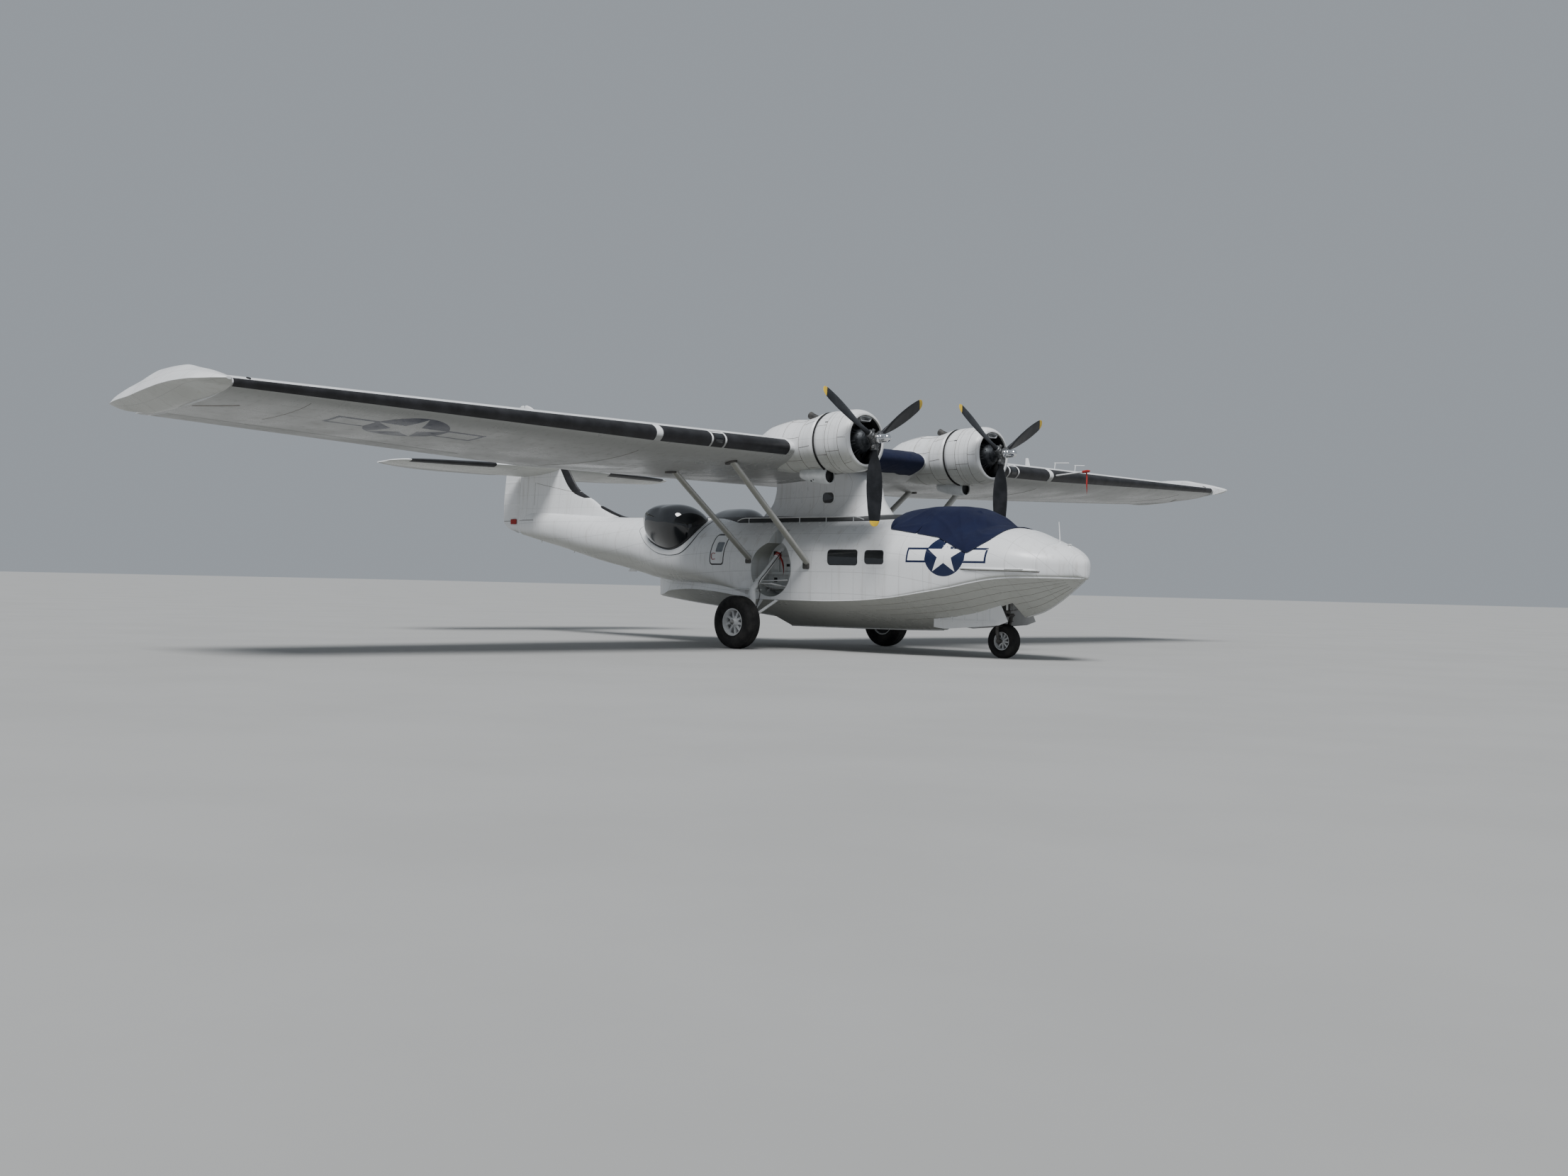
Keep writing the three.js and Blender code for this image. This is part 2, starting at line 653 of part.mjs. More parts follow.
function aileron(side) {
  const ring = (y) => {
    const hinge = aileronHinge(y);
    const radius = Math.min(hinge.radius, (AILERON.hinge - AILERON.cut) * wingAt(y)[2] - RUNNING_GAP);
    const points = [];
    for (let i = -4; i <= 4; i++) {
      const t = (i / 4) * (Math.PI / 2);
      const z = hinge.z + hinge.radius * Math.sin(t);
      points.push(new THREE.Vector3(hinge.x + radius * Math.cos(t), side * y, z));
    }
    const backwards = [0.86, 0.93, 1];
    const upper = backwards.map((f) => wingPoint(y, side, f, true));
    const lower = backwards.map((f) => wingPoint(y, side, f, false)).reverse();
    return [...points, ...upper, ...lower];
  };
  return loft([ring(AILERON.inner), ring(AILERON.outer)]);
}

const wing = add("wing_centre", wingCentre(), "paint");
const panels = {};
for (const [name, side] of Object.entries(SIDES)) {
  panels[name] = add(`wing_${name}`, wingPanel(side), "paint");
  add(`aileron_${name}`, aileron(side), "paint");
}

// Floats

function floatBody(side) {
  const rings = FLOAT_ROWS.map((row) => {
    const [x, innerY, low, high, shoulderY, shoulderZ, keelY, keelZ, chineY, chineZ] = row;
    const bulge = FLOAT_BULGE * Math.min(1, (keelY - innerY) / 400);
    const outline = [
      [innerY, low],
      [innerY, high],
      [(innerY + shoulderY) / 2, (high + 2 * shoulderZ) / 3],
      [shoulderY, shoulderZ],
      [shoulderY * 0.6 + keelY * 0.4 + bulge, shoulderZ * 0.6 + keelZ * 0.4 + bulge],
      [shoulderY * 0.2 + keelY * 0.8 + bulge / 2, shoulderZ * 0.2 + keelZ * 0.8 + bulge / 2],
      [keelY, keelZ],
      [keelY - 4, keelZ - 8],
      [chineY, chineZ],
      [(innerY + chineY) / 2, (low + chineZ) / 2 - bulge / 4],
    ];
    return outline.map(([y, z]) => new THREE.Vector3(x, side * y, z));
  });
  return loft(rings);
}
for (const [name, side] of Object.entries(SIDES)) add(`float_${name}`, floatBody(side), "paint");

// Pylon and struts

function pylon() {
  const steps = 12;
  const rings = PYLON_ROWS.map(([z, nose, tail, half]) => {
    const side = (sign) =>
      Array.from({ length: steps + 1 }, (_, i) => {
        const f = (1 - Math.cos((Math.PI * i) / steps)) / 2;
        return new THREE.Vector3(nose + (tail - nose) * f, sign * half * 2 * sectionHalf(f), z);
      });
    return [...side(1), ...side(-1).reverse().slice(0, -1)];
  });
  let solid = loft(rings);
  for (const hull of [bowOuter, centreOuter, afterOuter]) solid = clearOf(solid, hull, [0, 0, GAP]);
  solid = solid.subtract(block([-2000, -2000, 2000], [6000, 2000, 2950]));
  return largest(clearOf(solid, wing, [0, 0, -GAP]));
}
add("pylon", pylon(), "paint");

for (const [name, side] of Object.entries(SIDES)) {
  for (const [place, footX, footY, footZ, topX, topY, topZ] of STRUT_ROWS) {
    const foot = new THREE.Vector3(footX, side * footY, footZ);
    const top = new THREE.Vector3(topX, side * topY, topZ);
    const beyond = top.clone().sub(foot).multiplyScalar(0.05);
    foot.sub(beyond);
    top.add(beyond);
    let strut = bar(foot.toArray(), top.toArray(), STRUT_RADIUS);
    strut = clearOf(strut, centreOuter, [0, side * GAP, 0]);
    strut = clearOf(strut, wing, [0, 0, -GAP]);
    add(`strut_${place}_${name}`, largest(strut), "paint");
  }
}

// Powerplants

const COWL_PROFILE = [
  [600, COWL_REAR],
  [642, COWL_REAR + 90],
  [652, -760],
  [648, -480],
  [625, -330],
  [590, -250],
  [555, -212],
  [525, -205],
  [505, -225],
  [498, -290],
  [505, -400],
  [560, -620],
  [590, -900],
  [575, COWL_REAR],
];
const CRANKCASE_PROFILE = [
  [0, -80 - GAP],
  [70, -80 - GAP],
  [70, -130],
  [150, -160],
  [215, -260],
  [250, -380],
  [300, -430],
  [300, -1050],
  [250, -1080],
  [250, COWL_REAR],
  [0, COWL_REAR],
];
const CYLINDERS = { count: 7, x: -600, inner: 260, outer: 490, footRadius: 88, headRadius: 74 };
const HUB_PROFILE = [
  [0, -80],
  [110, -80],
  [130, -50],
  [130, 70],
  [100, 120],
  [0, 120],
];
const DOME_PROFILE = [
  [0, 120 + GAP],
  [98, 120 + GAP],
  [98, 300],
  [86, 360],
  [55, 400],
  [0, 418],
];
// Blade rows: radius, chord, thickness, pitch in degrees
const BLADE_ROWS = [
  [60, 120, 120, 40],
  [300, 125, 110, 40],
  [520, 210, 62, 38],
  [800, 285, 42, 32],
  [1150, 290, 30, 26],
  [1450, 255, 22, 22],
  [1650, 190, 15, 20],
  [1755, 120, 10, 19],
  [PROPELLER.radius, 40, 6, 19],
];
const BLADES = 3;

function engine() {
  let solid = turned(CRANKCASE_PROFILE, "x", 20);
  const { count, x, inner, outer, footRadius, headRadius } = CYLINDERS;
  for (let i = 0; i < count; i++) {
    const t = (i / count) * Math.PI * 2;
    const at = (r) => [x, r * Math.sin(t), r * Math.cos(t)];
    solid = solid.add(bar(at(inner), at(outer), footRadius, headRadius, 10));
  }
  return solid;
}

function blade() {
  const rings = BLADE_ROWS.map(([radius, chord, thickness, pitch]) => {
    const turn = THREE.MathUtils.degToRad(pitch);
    return Array.from({ length: 8 }, (_, i) => {
      const t = (i / 8) * Math.PI * 2;
      const across = (Math.cos(t) * chord) / 2;
      const deep = (Math.sin(t) * thickness) / 2;
      return new THREE.Vector3(
        across * Math.sin(turn) + deep * Math.cos(turn),
        -across * Math.cos(turn) + deep * Math.sin(turn),
        radius,
      );
    });
  });
  return loft(rings);
}

function propeller() {
  let solid = turned(HUB_PROFILE, "x", 20);
  for (let i = 0; i < BLADES; i++) solid = solid.add(blade().rotate([(360 / BLADES) * i, 0, 0]));
  return solid;
}

function nacelle(side, thrust) {
  const around = (point) =>
    Array.from({ length: NACELLE_SIDES }, (_, i) => {
      const t = (i / NACELLE_SIDES) * Math.PI * 2;
      return point(Math.sin(t), Math.cos(t));
    });
  const rings = NACELLE_ROWS.map(([x, half, bottom, top]) => {
    const middle = (bottom + top) / 2;
    const tall = (top - bottom) / 2;
    return around((sin, cos) => new THREE.Vector3(x, side * PROPELLER.y + half * sin, middle + tall * cos));
  });
  const mouth = COWL_PROFILE[0][0];
  const front = around((sin, cos) =>
    new THREE.Vector3(COWL_REAR - GAP, mouth * sin, mouth * cos).applyMatrix4(thrust),
  );
  const body = loft([front, ...rings]);
  return largest(clearOf(body, wing, [0, 0, GAP], [0, 0, -GAP], [GAP, 0, 0]));
}

function oilCooler(side, body) {
  const { x, y, z, radius, length, rise, taper } = OIL_COOLER;
  const bore = OIL_COOLER_BORE;
  const duct = bar([x, side * y, z], [x - length, side * y, z + rise], radius, radius * taper, 20);
  const mouth = bar([x + 1, side * y, z], [x - bore.depth, side * y, z], bore.radius, bore.radius, 20);
  const clear = clearOf(duct.subtract(mouth), body, [0, 0, -GAP], [GAP, 0, 0], [-GAP, 0, 0]);
  return largest(clear.subtract(wing.translate([0, 0, -GAP])));
}

function exhaust(side, body) {
  const from = (offset) => [EXHAUST.x + offset[0], side * EXHAUST.y, EXHAUST.z + offset[2]];
  const { root, mouth, radius, flare } = EXHAUST_PIPE;
  const hole = bar(from(EXHAUST_BORE.root), from(EXHAUST_BORE.mouth), EXHAUST_BORE.radius);
  const pipe = bar(from(root), from(mouth), radius, flare);
  return largest(clearOf(pipe.subtract(hole), body, [0, 0, GAP]));
}

for (const [name, side] of Object.entries(SIDES)) {
  const powerplant = new THREE.Group();
  powerplant.position.set(PROPELLER.x, side * PROPELLER.y, PROPELLER.z);
  powerplant.rotation.y = PROPELLER.tilt;
  powerplant.updateMatrix();
  aircraft.add(powerplant);
  add(`cowl_${name}`, turned(COWL_PROFILE, "x", 28), "paint", powerplant);
  add(`engine_${name}`, engine(), "cast", powerplant);

  const spinning = new THREE.Group();
  spinning.rotation.x = Math.PI + BLADE_PHASE[name];
  powerplant.add(spinning);
  add(`propeller_${name}`, propeller(), "dark", spinning);
  add(`propeller_dome_${name}`, turned(DOME_PROFILE, "x", 20), "chrome", spinning);

  const body = add(`nacelle_${name}`, nacelle(side, powerplant.matrix), "paint");
  add(`oil_cooler_${name}`, oilCooler(side, body), "paint");
  add(`exhaust_${name}`, exhaust(side, body), "steel");
}

// Tail

// The half thickness of a fin or tailplane section at a fraction of the way to its rear face.
const finThickness = (f) => Math.min(1, 1.9 * Math.sqrt(f) - 0.9 * f) * (f > 0.6 ? 1 - 0.35 * (f - 0.6) : 1);
const FIN_STEPS = [0, 0.03, 0.1, 0.25, 0.45, 0.7, 1];

function fin() {
  const rings = FIN_ROWS.map(([z, nose, half]) => {
    const side = (sign) =>
      FIN_STEPS.map((f) => new THREE.Vector3(nose + (FIN_REAR - nose) * f, sign * half * finThickness(f), z));
    return [...side(1), ...side(-1).reverse().slice(0, -1)];
  });
  const foot = rings[0].map((p) => p.clone().setZ(2900));
  const body = largest(clearOf(loft([foot, ...rings]), boomOuter, [0, 0, GAP]));
  return joined([body, elevatorTube(), ...rudderLugs()]);
}

// The tube through the fin that the two elevators turn on.
function elevatorTube() {
  const end = ELEVATOR_ROWS[0][0] - PIN_GAP;
  const z = tailplaneZ(ELEVATOR_HINGE);
  return bar([ELEVATOR_HINGE, -end, z], [ELEVATOR_HINGE, end, z], ELEVATOR_TUBE);
}

// Lugs on the fin's rear face, up to the rudder's rounded nose.
function rudderLugs() {
  const { halfWidth, height, root } = RUDDER_LUG;
  return RUDDER_LUG_ROWS.map((row) => {
    const [z, , radius] = RUDDER_ROWS[row];
    const face = RUDDER_HINGE + radius + PIN_GAP;
    return block([face, -halfWidth, z - height / 2], [FIN_REAR + root, halfWidth, z + height / 2]);
  });
}

function rudder() {
  const rings = RUDDER_ROWS.map(([z, tail, radius]) => {
    const points = [];
    for (let i = -4; i <= 4; i++) {
      const t = (i / 4) * (Math.PI / 2);
      points.push(new THREE.Vector3(RUDDER_HINGE + radius * Math.cos(t), radius * Math.sin(t), z));
    }
    const end = Math.min(tail, RUDDER_HINGE - 20);
    points.push(new THREE.Vector3(end, 5, z), new THREE.Vector3(end, -5, z));
    return points;
  });
  return loft(rings);
}

const tailplaneZ = (x) => TAILPLANE_Z + (x - TAILPLANE_NOSE) * TAILPLANE_SLOPE;

function tailplane(side) {
  const rings = TAILPLANE_ROWS.map(([y, nose, half]) => {
    const edge = (sign) =>
      FIN_STEPS.map((f) => {
        const x = nose + (TAILPLANE_REAR - nose) * f;
        return new THREE.Vector3(x, side * y, tailplaneZ(x) + sign * half * finThickness(f));
      });
    return [...edge(1), ...edge(-1).reverse().slice(0, -1)];
  });
  return largest(clearOf(loft(rings), finSolid, [0, side * GAP, 0]));
}

function elevator(side) {
  const hingeZ = tailplaneZ(ELEVATOR_HINGE);
  const rings = ELEVATOR_ROWS.map(([y, tail, radius]) => {
    const points = [];
    for (let i = -4; i <= 4; i++) {
      const t = (i / 4) * (Math.PI / 2);
      const x = ELEVATOR_HINGE + radius * Math.cos(t);
      points.push(new THREE.Vector3(x, side * y, hingeZ + radius * Math.sin(t)));
    }
    points.push(new THREE.Vector3(tail, side * y, tailplaneZ(tail) + 5));
    points.push(new THREE.Vector3(tail, side * y, tailplaneZ(tail) - 5));
    return points;
  });
  return loft(rings);
}

const finSolid = add("fin", fin(), "paint");
add("rudder", rudder(), "paint");
for (const [name, side] of Object.entries(SIDES)) {
  add(`tailplane_${name}`, tailplane(side), "paint");
  add(`elevator_${name}`, elevator(side), "paint");
}

// Landing gear

const axleHeight = ({ radius, sides }) => radius * Math.cos(Math.PI / sides);

function tyreSolid({ radius, width, rim, sides }) {
  const half = width / 2;
  const bead = half * 0.75;
  const tall = radius - rim;
  const side = [
    [rim, bead],
    [rim + tall * 0.15, bead],
    [rim + tall * 0.35, half * 0.95],
    [rim + tall * 0.55, half],
    [rim + tall * 0.8, half * 0.9],
    [rim + tall * 0.95, half * 0.66],
    [radius, half * 0.4],
  ];
  return turned([...side.map(([r, y]) => [r, -y]), ...side.reverse()], "y", sides);
}

function rimSolid({ width, rim, sides }, bore) {
  const half = (width / 2) * 0.75 - 1;
  const inner = rim - GAP - 0.6;
  const lip = inner - rim * 0.06;
  const hub = rim * 0.36;
  const disc = turned(
    [
      [bore, -half],
      [hub * 0.8, -half],
      [hub, -half * 0.3],
      [lip - 20, -half * 0.2],
      [lip - 6, -half],
      [inner, -half],
      [inner, half],
      [lip - 6, half],
      [lip - 20, half * 0.35],
      [hub, half * 0.5],
      [hub * 0.8, half],
      [bore, half],
    ],
    "y",
    sides,
  );
  let solid = disc;
  for (let i = 0; i < WHEEL_WINDOWS; i++) {
    const t = (i / WHEEL_WINDOWS) * Math.PI * 2;
    const r = (hub + lip - 20) / 2;
    const [x, z] = [r * Math.sin(t), r * Math.cos(t)];
    solid = solid.subtract(bar([x, -width, z], [x, width, z], rim * 0.17, rim * 0.17, 8));
  }
  return solid;
}

function mainLeg(side) {
  const z = axleHeight(MAIN_WHEEL);
  const at = (x, y, h) => [MAIN_WHEEL.x + x, side * y, h];
  const axle = bar(at(0, MAIN_AXLE.inner, z), at(0, MAIN_AXLE.outer, z), AXLE, AXLE, 24);
  const bars = MAIN_LEG_BARS.map(([x, y, h, farX, farY, farH, radius, farRadius]) =>
    bar(at(x, y, h), at(farX, farY, farH), radius, farRadius),
  );
  return largest(clearOf(joined([axle, ...bars]), centre, ...GAP_ALL_ROUND));
}

function wheelGroup(wheel, y) {
  const group = new THREE.Group();
  group.position.set(wheel.x, y, axleHeight(wheel));
  aircraft.add(group);
  return group;
}

for (const [name, side] of Object.entries(SIDES)) {
  add(`main_leg_${name}`, mainLeg(side), "paint");
  const group = wheelGroup(MAIN_WHEEL, side * MAIN_WHEEL.y);
  add(`main_wheel_${name}`, rimSolid(MAIN_WHEEL, AXLE + BORE_GAP), "wheel", group);
  add(`main_tyre_${name}`, tyreSolid(MAIN_WHEEL), "tyre", group);
}

function noseFork() {
  const z = axleHeight(NOSE_WHEEL);
  const { foot, top, height, footRadius, topRadius } = NOSE_ARM;
  const { inner, outer, radius } = NOSE_BOSS;
  const arm = (side) =>
    joined([
      bar([NOSE_WHEEL.x, side * foot, z - 20], [STEER_X, side * top, height], footRadius, topRadius, 12),
      bar([NOSE_WHEEL.x, side * inner, z], [NOSE_WHEEL.x, side * outer, z], radius),
    ]);
  const { low, high, half, halfWidth, tube, tubeTop, axleHalf } = NOSE_CROWN;
  return joined([
    arm(-1),
    arm(1),
    block([STEER_X - half, -halfWidth, low], [STEER_X + half, halfWidth, high]),
    bar([STEER_X, 0, height], [STEER_X, 0, tubeTop], tube, tube, 20),
    bar([NOSE_WHEEL.x, -axleHalf, z], [NOSE_WHEEL.x, axleHalf, z], NOSE_AXLE, NOSE_AXLE, 20),
    block([STEER_X, -TOW_LUG.halfWidth, low], [STEER_X + TOW_LUG.front, TOW_LUG.halfWidth, high]),
  ]);
}

function noseLeg() {
  const { radius, bore, boreTop } = NOSE_LEG;
  const foot = NOSE_CROWN.high + GAP;
  const outer = bar([STEER_X, 0, foot], [STEER_X, 0, NOSE_WELL.top - GAP], radius, radius, 24);
  return outer.subtract(bar([STEER_X, 0, NOSE_CROWN.low], [STEER_X, 0, boreTop], bore, bore, 24));
}

function noseDoor(side) {
  const y = side * NOSE_DOOR.y;
  const panel = plate(DOOR_OUTLINE, y - NOSE_DOOR.thickness / 2, y + NOSE_DOOR.thickness / 2);
  return largest(clearOf(panel, bowOuter, [0, 0, -GAP], [0, side * GAP, 0], [0, -side * GAP, 0]));
}

add("nose_leg", noseLeg(), "paint");
add("nose_fork", noseFork(), "paint");
const noseGroup = wheelGroup(NOSE_WHEEL, 0);
add("nose_wheel", rimSolid(NOSE_WHEEL, NOSE_AXLE + BORE_GAP), "wheel", noseGroup);
add("nose_tyre", tyreSolid(NOSE_WHEEL), "tyre", noseGroup);
for (const [name, side] of Object.entries(SIDES)) add(`nose_door_${name}`, noseDoor(side), "paint");

// Cockpit roof, covers, blisters and small pieces on the outside

function roofRing([x, half, top], skin = 0) {
  const steps = 14;
  const round = (v) => Math.sign(v) * Math.abs(v) ** ROOF_POWER;
  return Array.from({ length: steps + 1 }, (_, i) => {
    const t = (i / steps) * Math.PI;
    const z = ROOF_BASE + (top + skin - ROOF_BASE) * round(Math.sin(t));
    return new THREE.Vector3(x, round(Math.cos(t)) * (half + skin), z);
  });
}

function cockpitRoof() {
  return largest(clearOf(loft(ROOF_ROWS.map((row) => roofRing(row))), bowOuter, [0, 0, GAP]));
}

// The hull's outside moved out by the thickness of the cover.
const bowCovered = loft(BOW_ROWS.map((row) => hullRing(row, -COVER_THICKNESS)));
add("cockpit_roof", cockpitRoof(), "paint");

function cockpitCover() {
  const skin = bowCovered.add(loft(ROOF_ROWS.map((row) => roofRing(row, COVER_THICKNESS))));
  const cut = skin.intersect(plate(COVER_OUTLINE, -2000, 2000));
  const hull = loft(BOW_ROWS.map((row) => hullRing(row, -GAP)));
  const roof = loft(ROOF_ROWS.map((row) => roofRing(row, GAP)));
  return largest(cut.subtract(hull).subtract(roof));
}
add("cockpit_cover", cockpitCover(), "canvas");

function wingCover() {
  const { halfWidth, depth, thickness } = WING_COVER;
  const outer = loft([-1, 1].map((side) => wingRing(halfWidth, side, depth, thickness)));
  return largest(clearOf(outer, wing, [GAP, 0, 0], [0, 0, GAP], [0, 0, -GAP]));
}
add("wing_cover", wingCover(), "canvas");

function blister(side) {
  const geometry = new THREE.SphereGeometry(1, 24, 14);
  geometry.scale(BLISTER.length, BLISTER.width, BLISTER.height);
  geometry.translate(BLISTER.x, side * BLISTER.y, BLISTER.z);
  return largest(clearOf(solidOf(geometry), afterOuter, [0, side * GAP, 0], [0, 0, GAP]));
}
for (const [name, side] of Object.entries(SIDES)) add(`blister_${name}`, blister(side), "glass");

const mast = bar(MAST.foot, MAST.top, MAST.radius, MAST.topRadius, 10);
add("bow_mast", largest(clearOf(mast, bowOuter, [0, 0, GAP])), "paint");
const pitot = bar(PITOT.root, PITOT.tip, PITOT.radius, PITOT.tipRadius, 10);
add("pitot_boom", largest(clearOf(pitot, panels.left, [GAP, 0, 0], [0, 0, GAP], [0, 0, -GAP])), "paint");

aircraft.position.x = -(NOSE + TAIL) / 2;
export default aircraft;
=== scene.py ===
# %% [markdown]
# # A twin-engine amphibious flying boat
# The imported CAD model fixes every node's place and every joint. This file gives each of its shapes a smooth
# surface and a finish. Lengths are in metres: +X towards the nose, +Y to port, +Z up, the ground at zero.

import math

import bmesh
import bpy
import numpy as np
from mathutils import Matrix, Vector


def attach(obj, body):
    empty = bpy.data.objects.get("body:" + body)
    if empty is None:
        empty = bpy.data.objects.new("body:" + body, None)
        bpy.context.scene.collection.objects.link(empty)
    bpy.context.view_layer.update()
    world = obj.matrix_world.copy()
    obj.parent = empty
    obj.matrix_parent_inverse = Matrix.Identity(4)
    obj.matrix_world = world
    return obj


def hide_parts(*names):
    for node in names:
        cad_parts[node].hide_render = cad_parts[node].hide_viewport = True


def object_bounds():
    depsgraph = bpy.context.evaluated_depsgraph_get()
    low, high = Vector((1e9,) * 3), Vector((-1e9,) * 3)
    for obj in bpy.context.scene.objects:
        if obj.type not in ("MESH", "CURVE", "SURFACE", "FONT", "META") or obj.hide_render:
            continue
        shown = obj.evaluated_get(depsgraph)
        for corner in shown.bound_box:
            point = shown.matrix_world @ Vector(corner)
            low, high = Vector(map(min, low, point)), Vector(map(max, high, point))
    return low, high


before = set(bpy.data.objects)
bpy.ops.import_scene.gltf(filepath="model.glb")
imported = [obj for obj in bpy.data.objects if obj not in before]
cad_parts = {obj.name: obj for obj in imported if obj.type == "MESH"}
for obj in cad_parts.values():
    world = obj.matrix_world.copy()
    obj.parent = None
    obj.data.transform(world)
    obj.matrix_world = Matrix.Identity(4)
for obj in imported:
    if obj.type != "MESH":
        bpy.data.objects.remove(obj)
cad_low, cad_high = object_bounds()
print("CAD box", tuple(cad_low), tuple(cad_high))

# %% [markdown]
# The stations of hull and wing are measured from a datum a little behind the middle of the length. All the
# shapes below are worked out from that datum, and one shift moves them into the frame as they become meshes.

# %% Datum and sides
NOSE = 9.43
SHIFT = cad_high.x - NOSE
SIDES = {"right": -1, "left": 1}
print("shift", round(SHIFT, 4))

# %% [markdown]
# ## Camera, floor and light
# A pinhole camera was fitted to the photograph: it stands ahead of the starboard wing, at eye height, and
# looks at the aircraft's side. The floor is pale and plain. An even sky and one broad high light give the
# soft shading of an overcast day.

# %% Camera
def placed(name, data):
    """A new object in the scene."""
    piece = bpy.data.objects.new(name, data)
    bpy.context.scene.collection.objects.link(piece)
    return piece


EYE = Vector((27.98 + SHIFT, -28.05, 1.4335))
YAW, PITCH, ROLL = 2.3349, -0.0025, 0.0232
LENS_MM, SENSOR_MM = 38.31, 36.0


def camera_axes(yaw, pitch, roll):
    """The camera's right, up and back directions: yaw and pitch aim it, and roll turns it about its view."""
    forward = Vector((math.cos(yaw) * math.cos(pitch), math.sin(yaw) * math.cos(pitch), math.sin(pitch)))
    right = forward.cross(Vector((0, 0, 1))).normalized()
    up = right.cross(forward)
    level, upright = right.copy(), up.copy()
    right = level * math.cos(roll) + upright * math.sin(roll)
    up = upright * math.cos(roll) - level * math.sin(roll)
    return right, up, -forward


eye = placed("eye", bpy.data.cameras.new("eye"))
eye.data.lens, eye.data.sensor_width = LENS_MM, SENSOR_MM
eye.data.clip_end = 500
eye.matrix_world = Matrix.Translation(EYE) @ Matrix(camera_axes(YAW, PITCH, ROLL)).transposed().to_4x4()
bpy.context.scene.camera = eye

# %% Light
SKY = (0.78, 0.85, 0.93)
world = bpy.data.worlds.new("sky")
bpy.context.scene.world = world
world.use_nodes = True
world.node_tree.nodes["Background"].inputs["Color"].default_value = (*SKY, 1)
world.node_tree.nodes["Background"].inputs["Strength"].default_value = 0.42


def sun(name, direction, strength, spread):
    """A distant light that shines along the direction; the spread is the width of its disc in degrees."""
    lamp = placed(name, bpy.data.lights.new(name, "SUN"))
    lamp.data.energy, lamp.data.angle = strength, math.radians(spread)
    lamp.rotation_mode = "QUATERNION"
    lamp.rotation_quaternion = Vector(direction).to_track_quat("-Z", "Y")


sun("high_cloud", (-0.3, 0.42, -0.86), 3.9, 24)

# %% [markdown]
# ## Surfaces from grids
# Every skin here is a grid of points: one direction goes along the piece and the other goes round it. A
# helper turns a grid into a mesh, closes its ends, and stores a map in metres that follows the surface, so
# that seams and rivets keep their size on every shape.

# %% From a grid to a mesh
def points_at(x, y, z):
    """Points from coordinates of different shapes."""
    return np.stack(np.broadcast_arrays(x, y, z), axis=-1)


def round_angles(count):
    """Evenly spread angles of a full turn."""
    return np.arange(count) * 2 * np.pi / count


def grid_quads(rows, columns, wrap):
    """The four corners of each cell. With wrap, the last column joins the first."""
    index = np.arange(rows * columns).reshape(rows, columns)
    after = np.roll(index, -1, axis=1) if wrap else index[:, 1:]
    start = index if wrap else index[:, :-1]
    return np.stack([start[:-1], after[:-1], after[1:], start[1:]], axis=-1).reshape(-1, 4)


def map_in_metres(grid, wrap, start):
    """Distance along the rows, from start, and round each row from its middle column, at every corner."""
    around = np.concatenate([grid, grid[:, :1]], axis=1) if wrap else grid
    along = np.linalg.norm(np.diff(grid, axis=0), axis=2).mean(axis=1)
    u = start + np.concatenate([[0], np.cumsum(along)])
    v = np.cumsum(np.linalg.norm(np.diff(around, axis=1), axis=2), axis=1)
    v = np.concatenate([np.zeros((len(grid), 1)), v], axis=1)
    v = v - v[:, -1:] / 2
    full = np.stack([np.broadcast_to(u[:, None], v.shape), v], axis=-1)
    corners = [full[:-1, :-1], full[:-1, 1:], full[1:, 1:], full[1:, :-1]]
    return np.stack(corners, axis=2).reshape(-1, 2)


CLOSED = (True, True)


def surface(name, grid, wrap=True, ends=(False, False), start=0.0, crease=35, closed=True):
    """A mesh object on a grid of points given from the datum. Ends are closed by one face each."""
    grid = np.array(grid, float)
    rows, columns = grid.shape[:2]
    faces = grid_quads(rows, columns, wrap).tolist()
    uv = map_in_metres(grid, wrap, start)
    index = np.arange(rows * columns).reshape(rows, columns)
    for end, ring in ((ends[0], index[0]), (ends[1], index[-1, ::-1])):
        if end:
            faces.append(ring.tolist())
            uv = np.concatenate([uv, grid.reshape(-1, 3)[ring][:, 1:]])
    return mesh_object(name, grid.reshape(-1, 3), faces, uv, crease, closed)


def mesh_object(name, points, faces, uv=None, crease=35, closed=True):
    """Points and faces as an object, with equal points merged and a closed shape's faces turned outwards."""
    points = np.array(points, float) + (SHIFT, 0, 0)
    mesh = bpy.data.meshes.new(name)
    mesh.from_pydata(points.tolist(), [], faces)
    if uv is not None:
        mesh.uv_layers.new(name="metres").data.foreach_set("uv", np.array(uv, np.float32).ravel())
    shape = bmesh.new()
    shape.from_mesh(mesh)
    bmesh.ops.remove_doubles(shape, verts=shape.verts, dist=1e-5)
    if closed:
        bmesh.ops.recalc_face_normals(shape, faces=shape.faces)
    shape.to_mesh(mesh)
    shape.free()
    shade(mesh, crease)
    return placed(name, mesh)


def shade(mesh, crease):
    """Smooth shading, with edges sharper than the crease angle kept hard."""
    mesh.polygons.foreach_set("use_smooth", np.ones(len(mesh.polygons), bool))
    mesh.set_sharp_from_angle(angle=math.radians(crease))


def wear(piece, material, body="airframe", stands_for=()):
    """Gives a piece its material and its body, and hides the CAD nodes that it stands for."""
    piece.data.materials.clear()
    piece.data.materials.append(material)
    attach(piece, body)
    if stands_for:
        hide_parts(*([stands_for] if isinstance(stands_for, str) else stands_for))
    return piece


# %% [markdown]
# Sections are given at a few stations. Between them a cubic curve runs that never overshoots, because its
# slope at each station is the harmonic mean of the slopes on both sides.

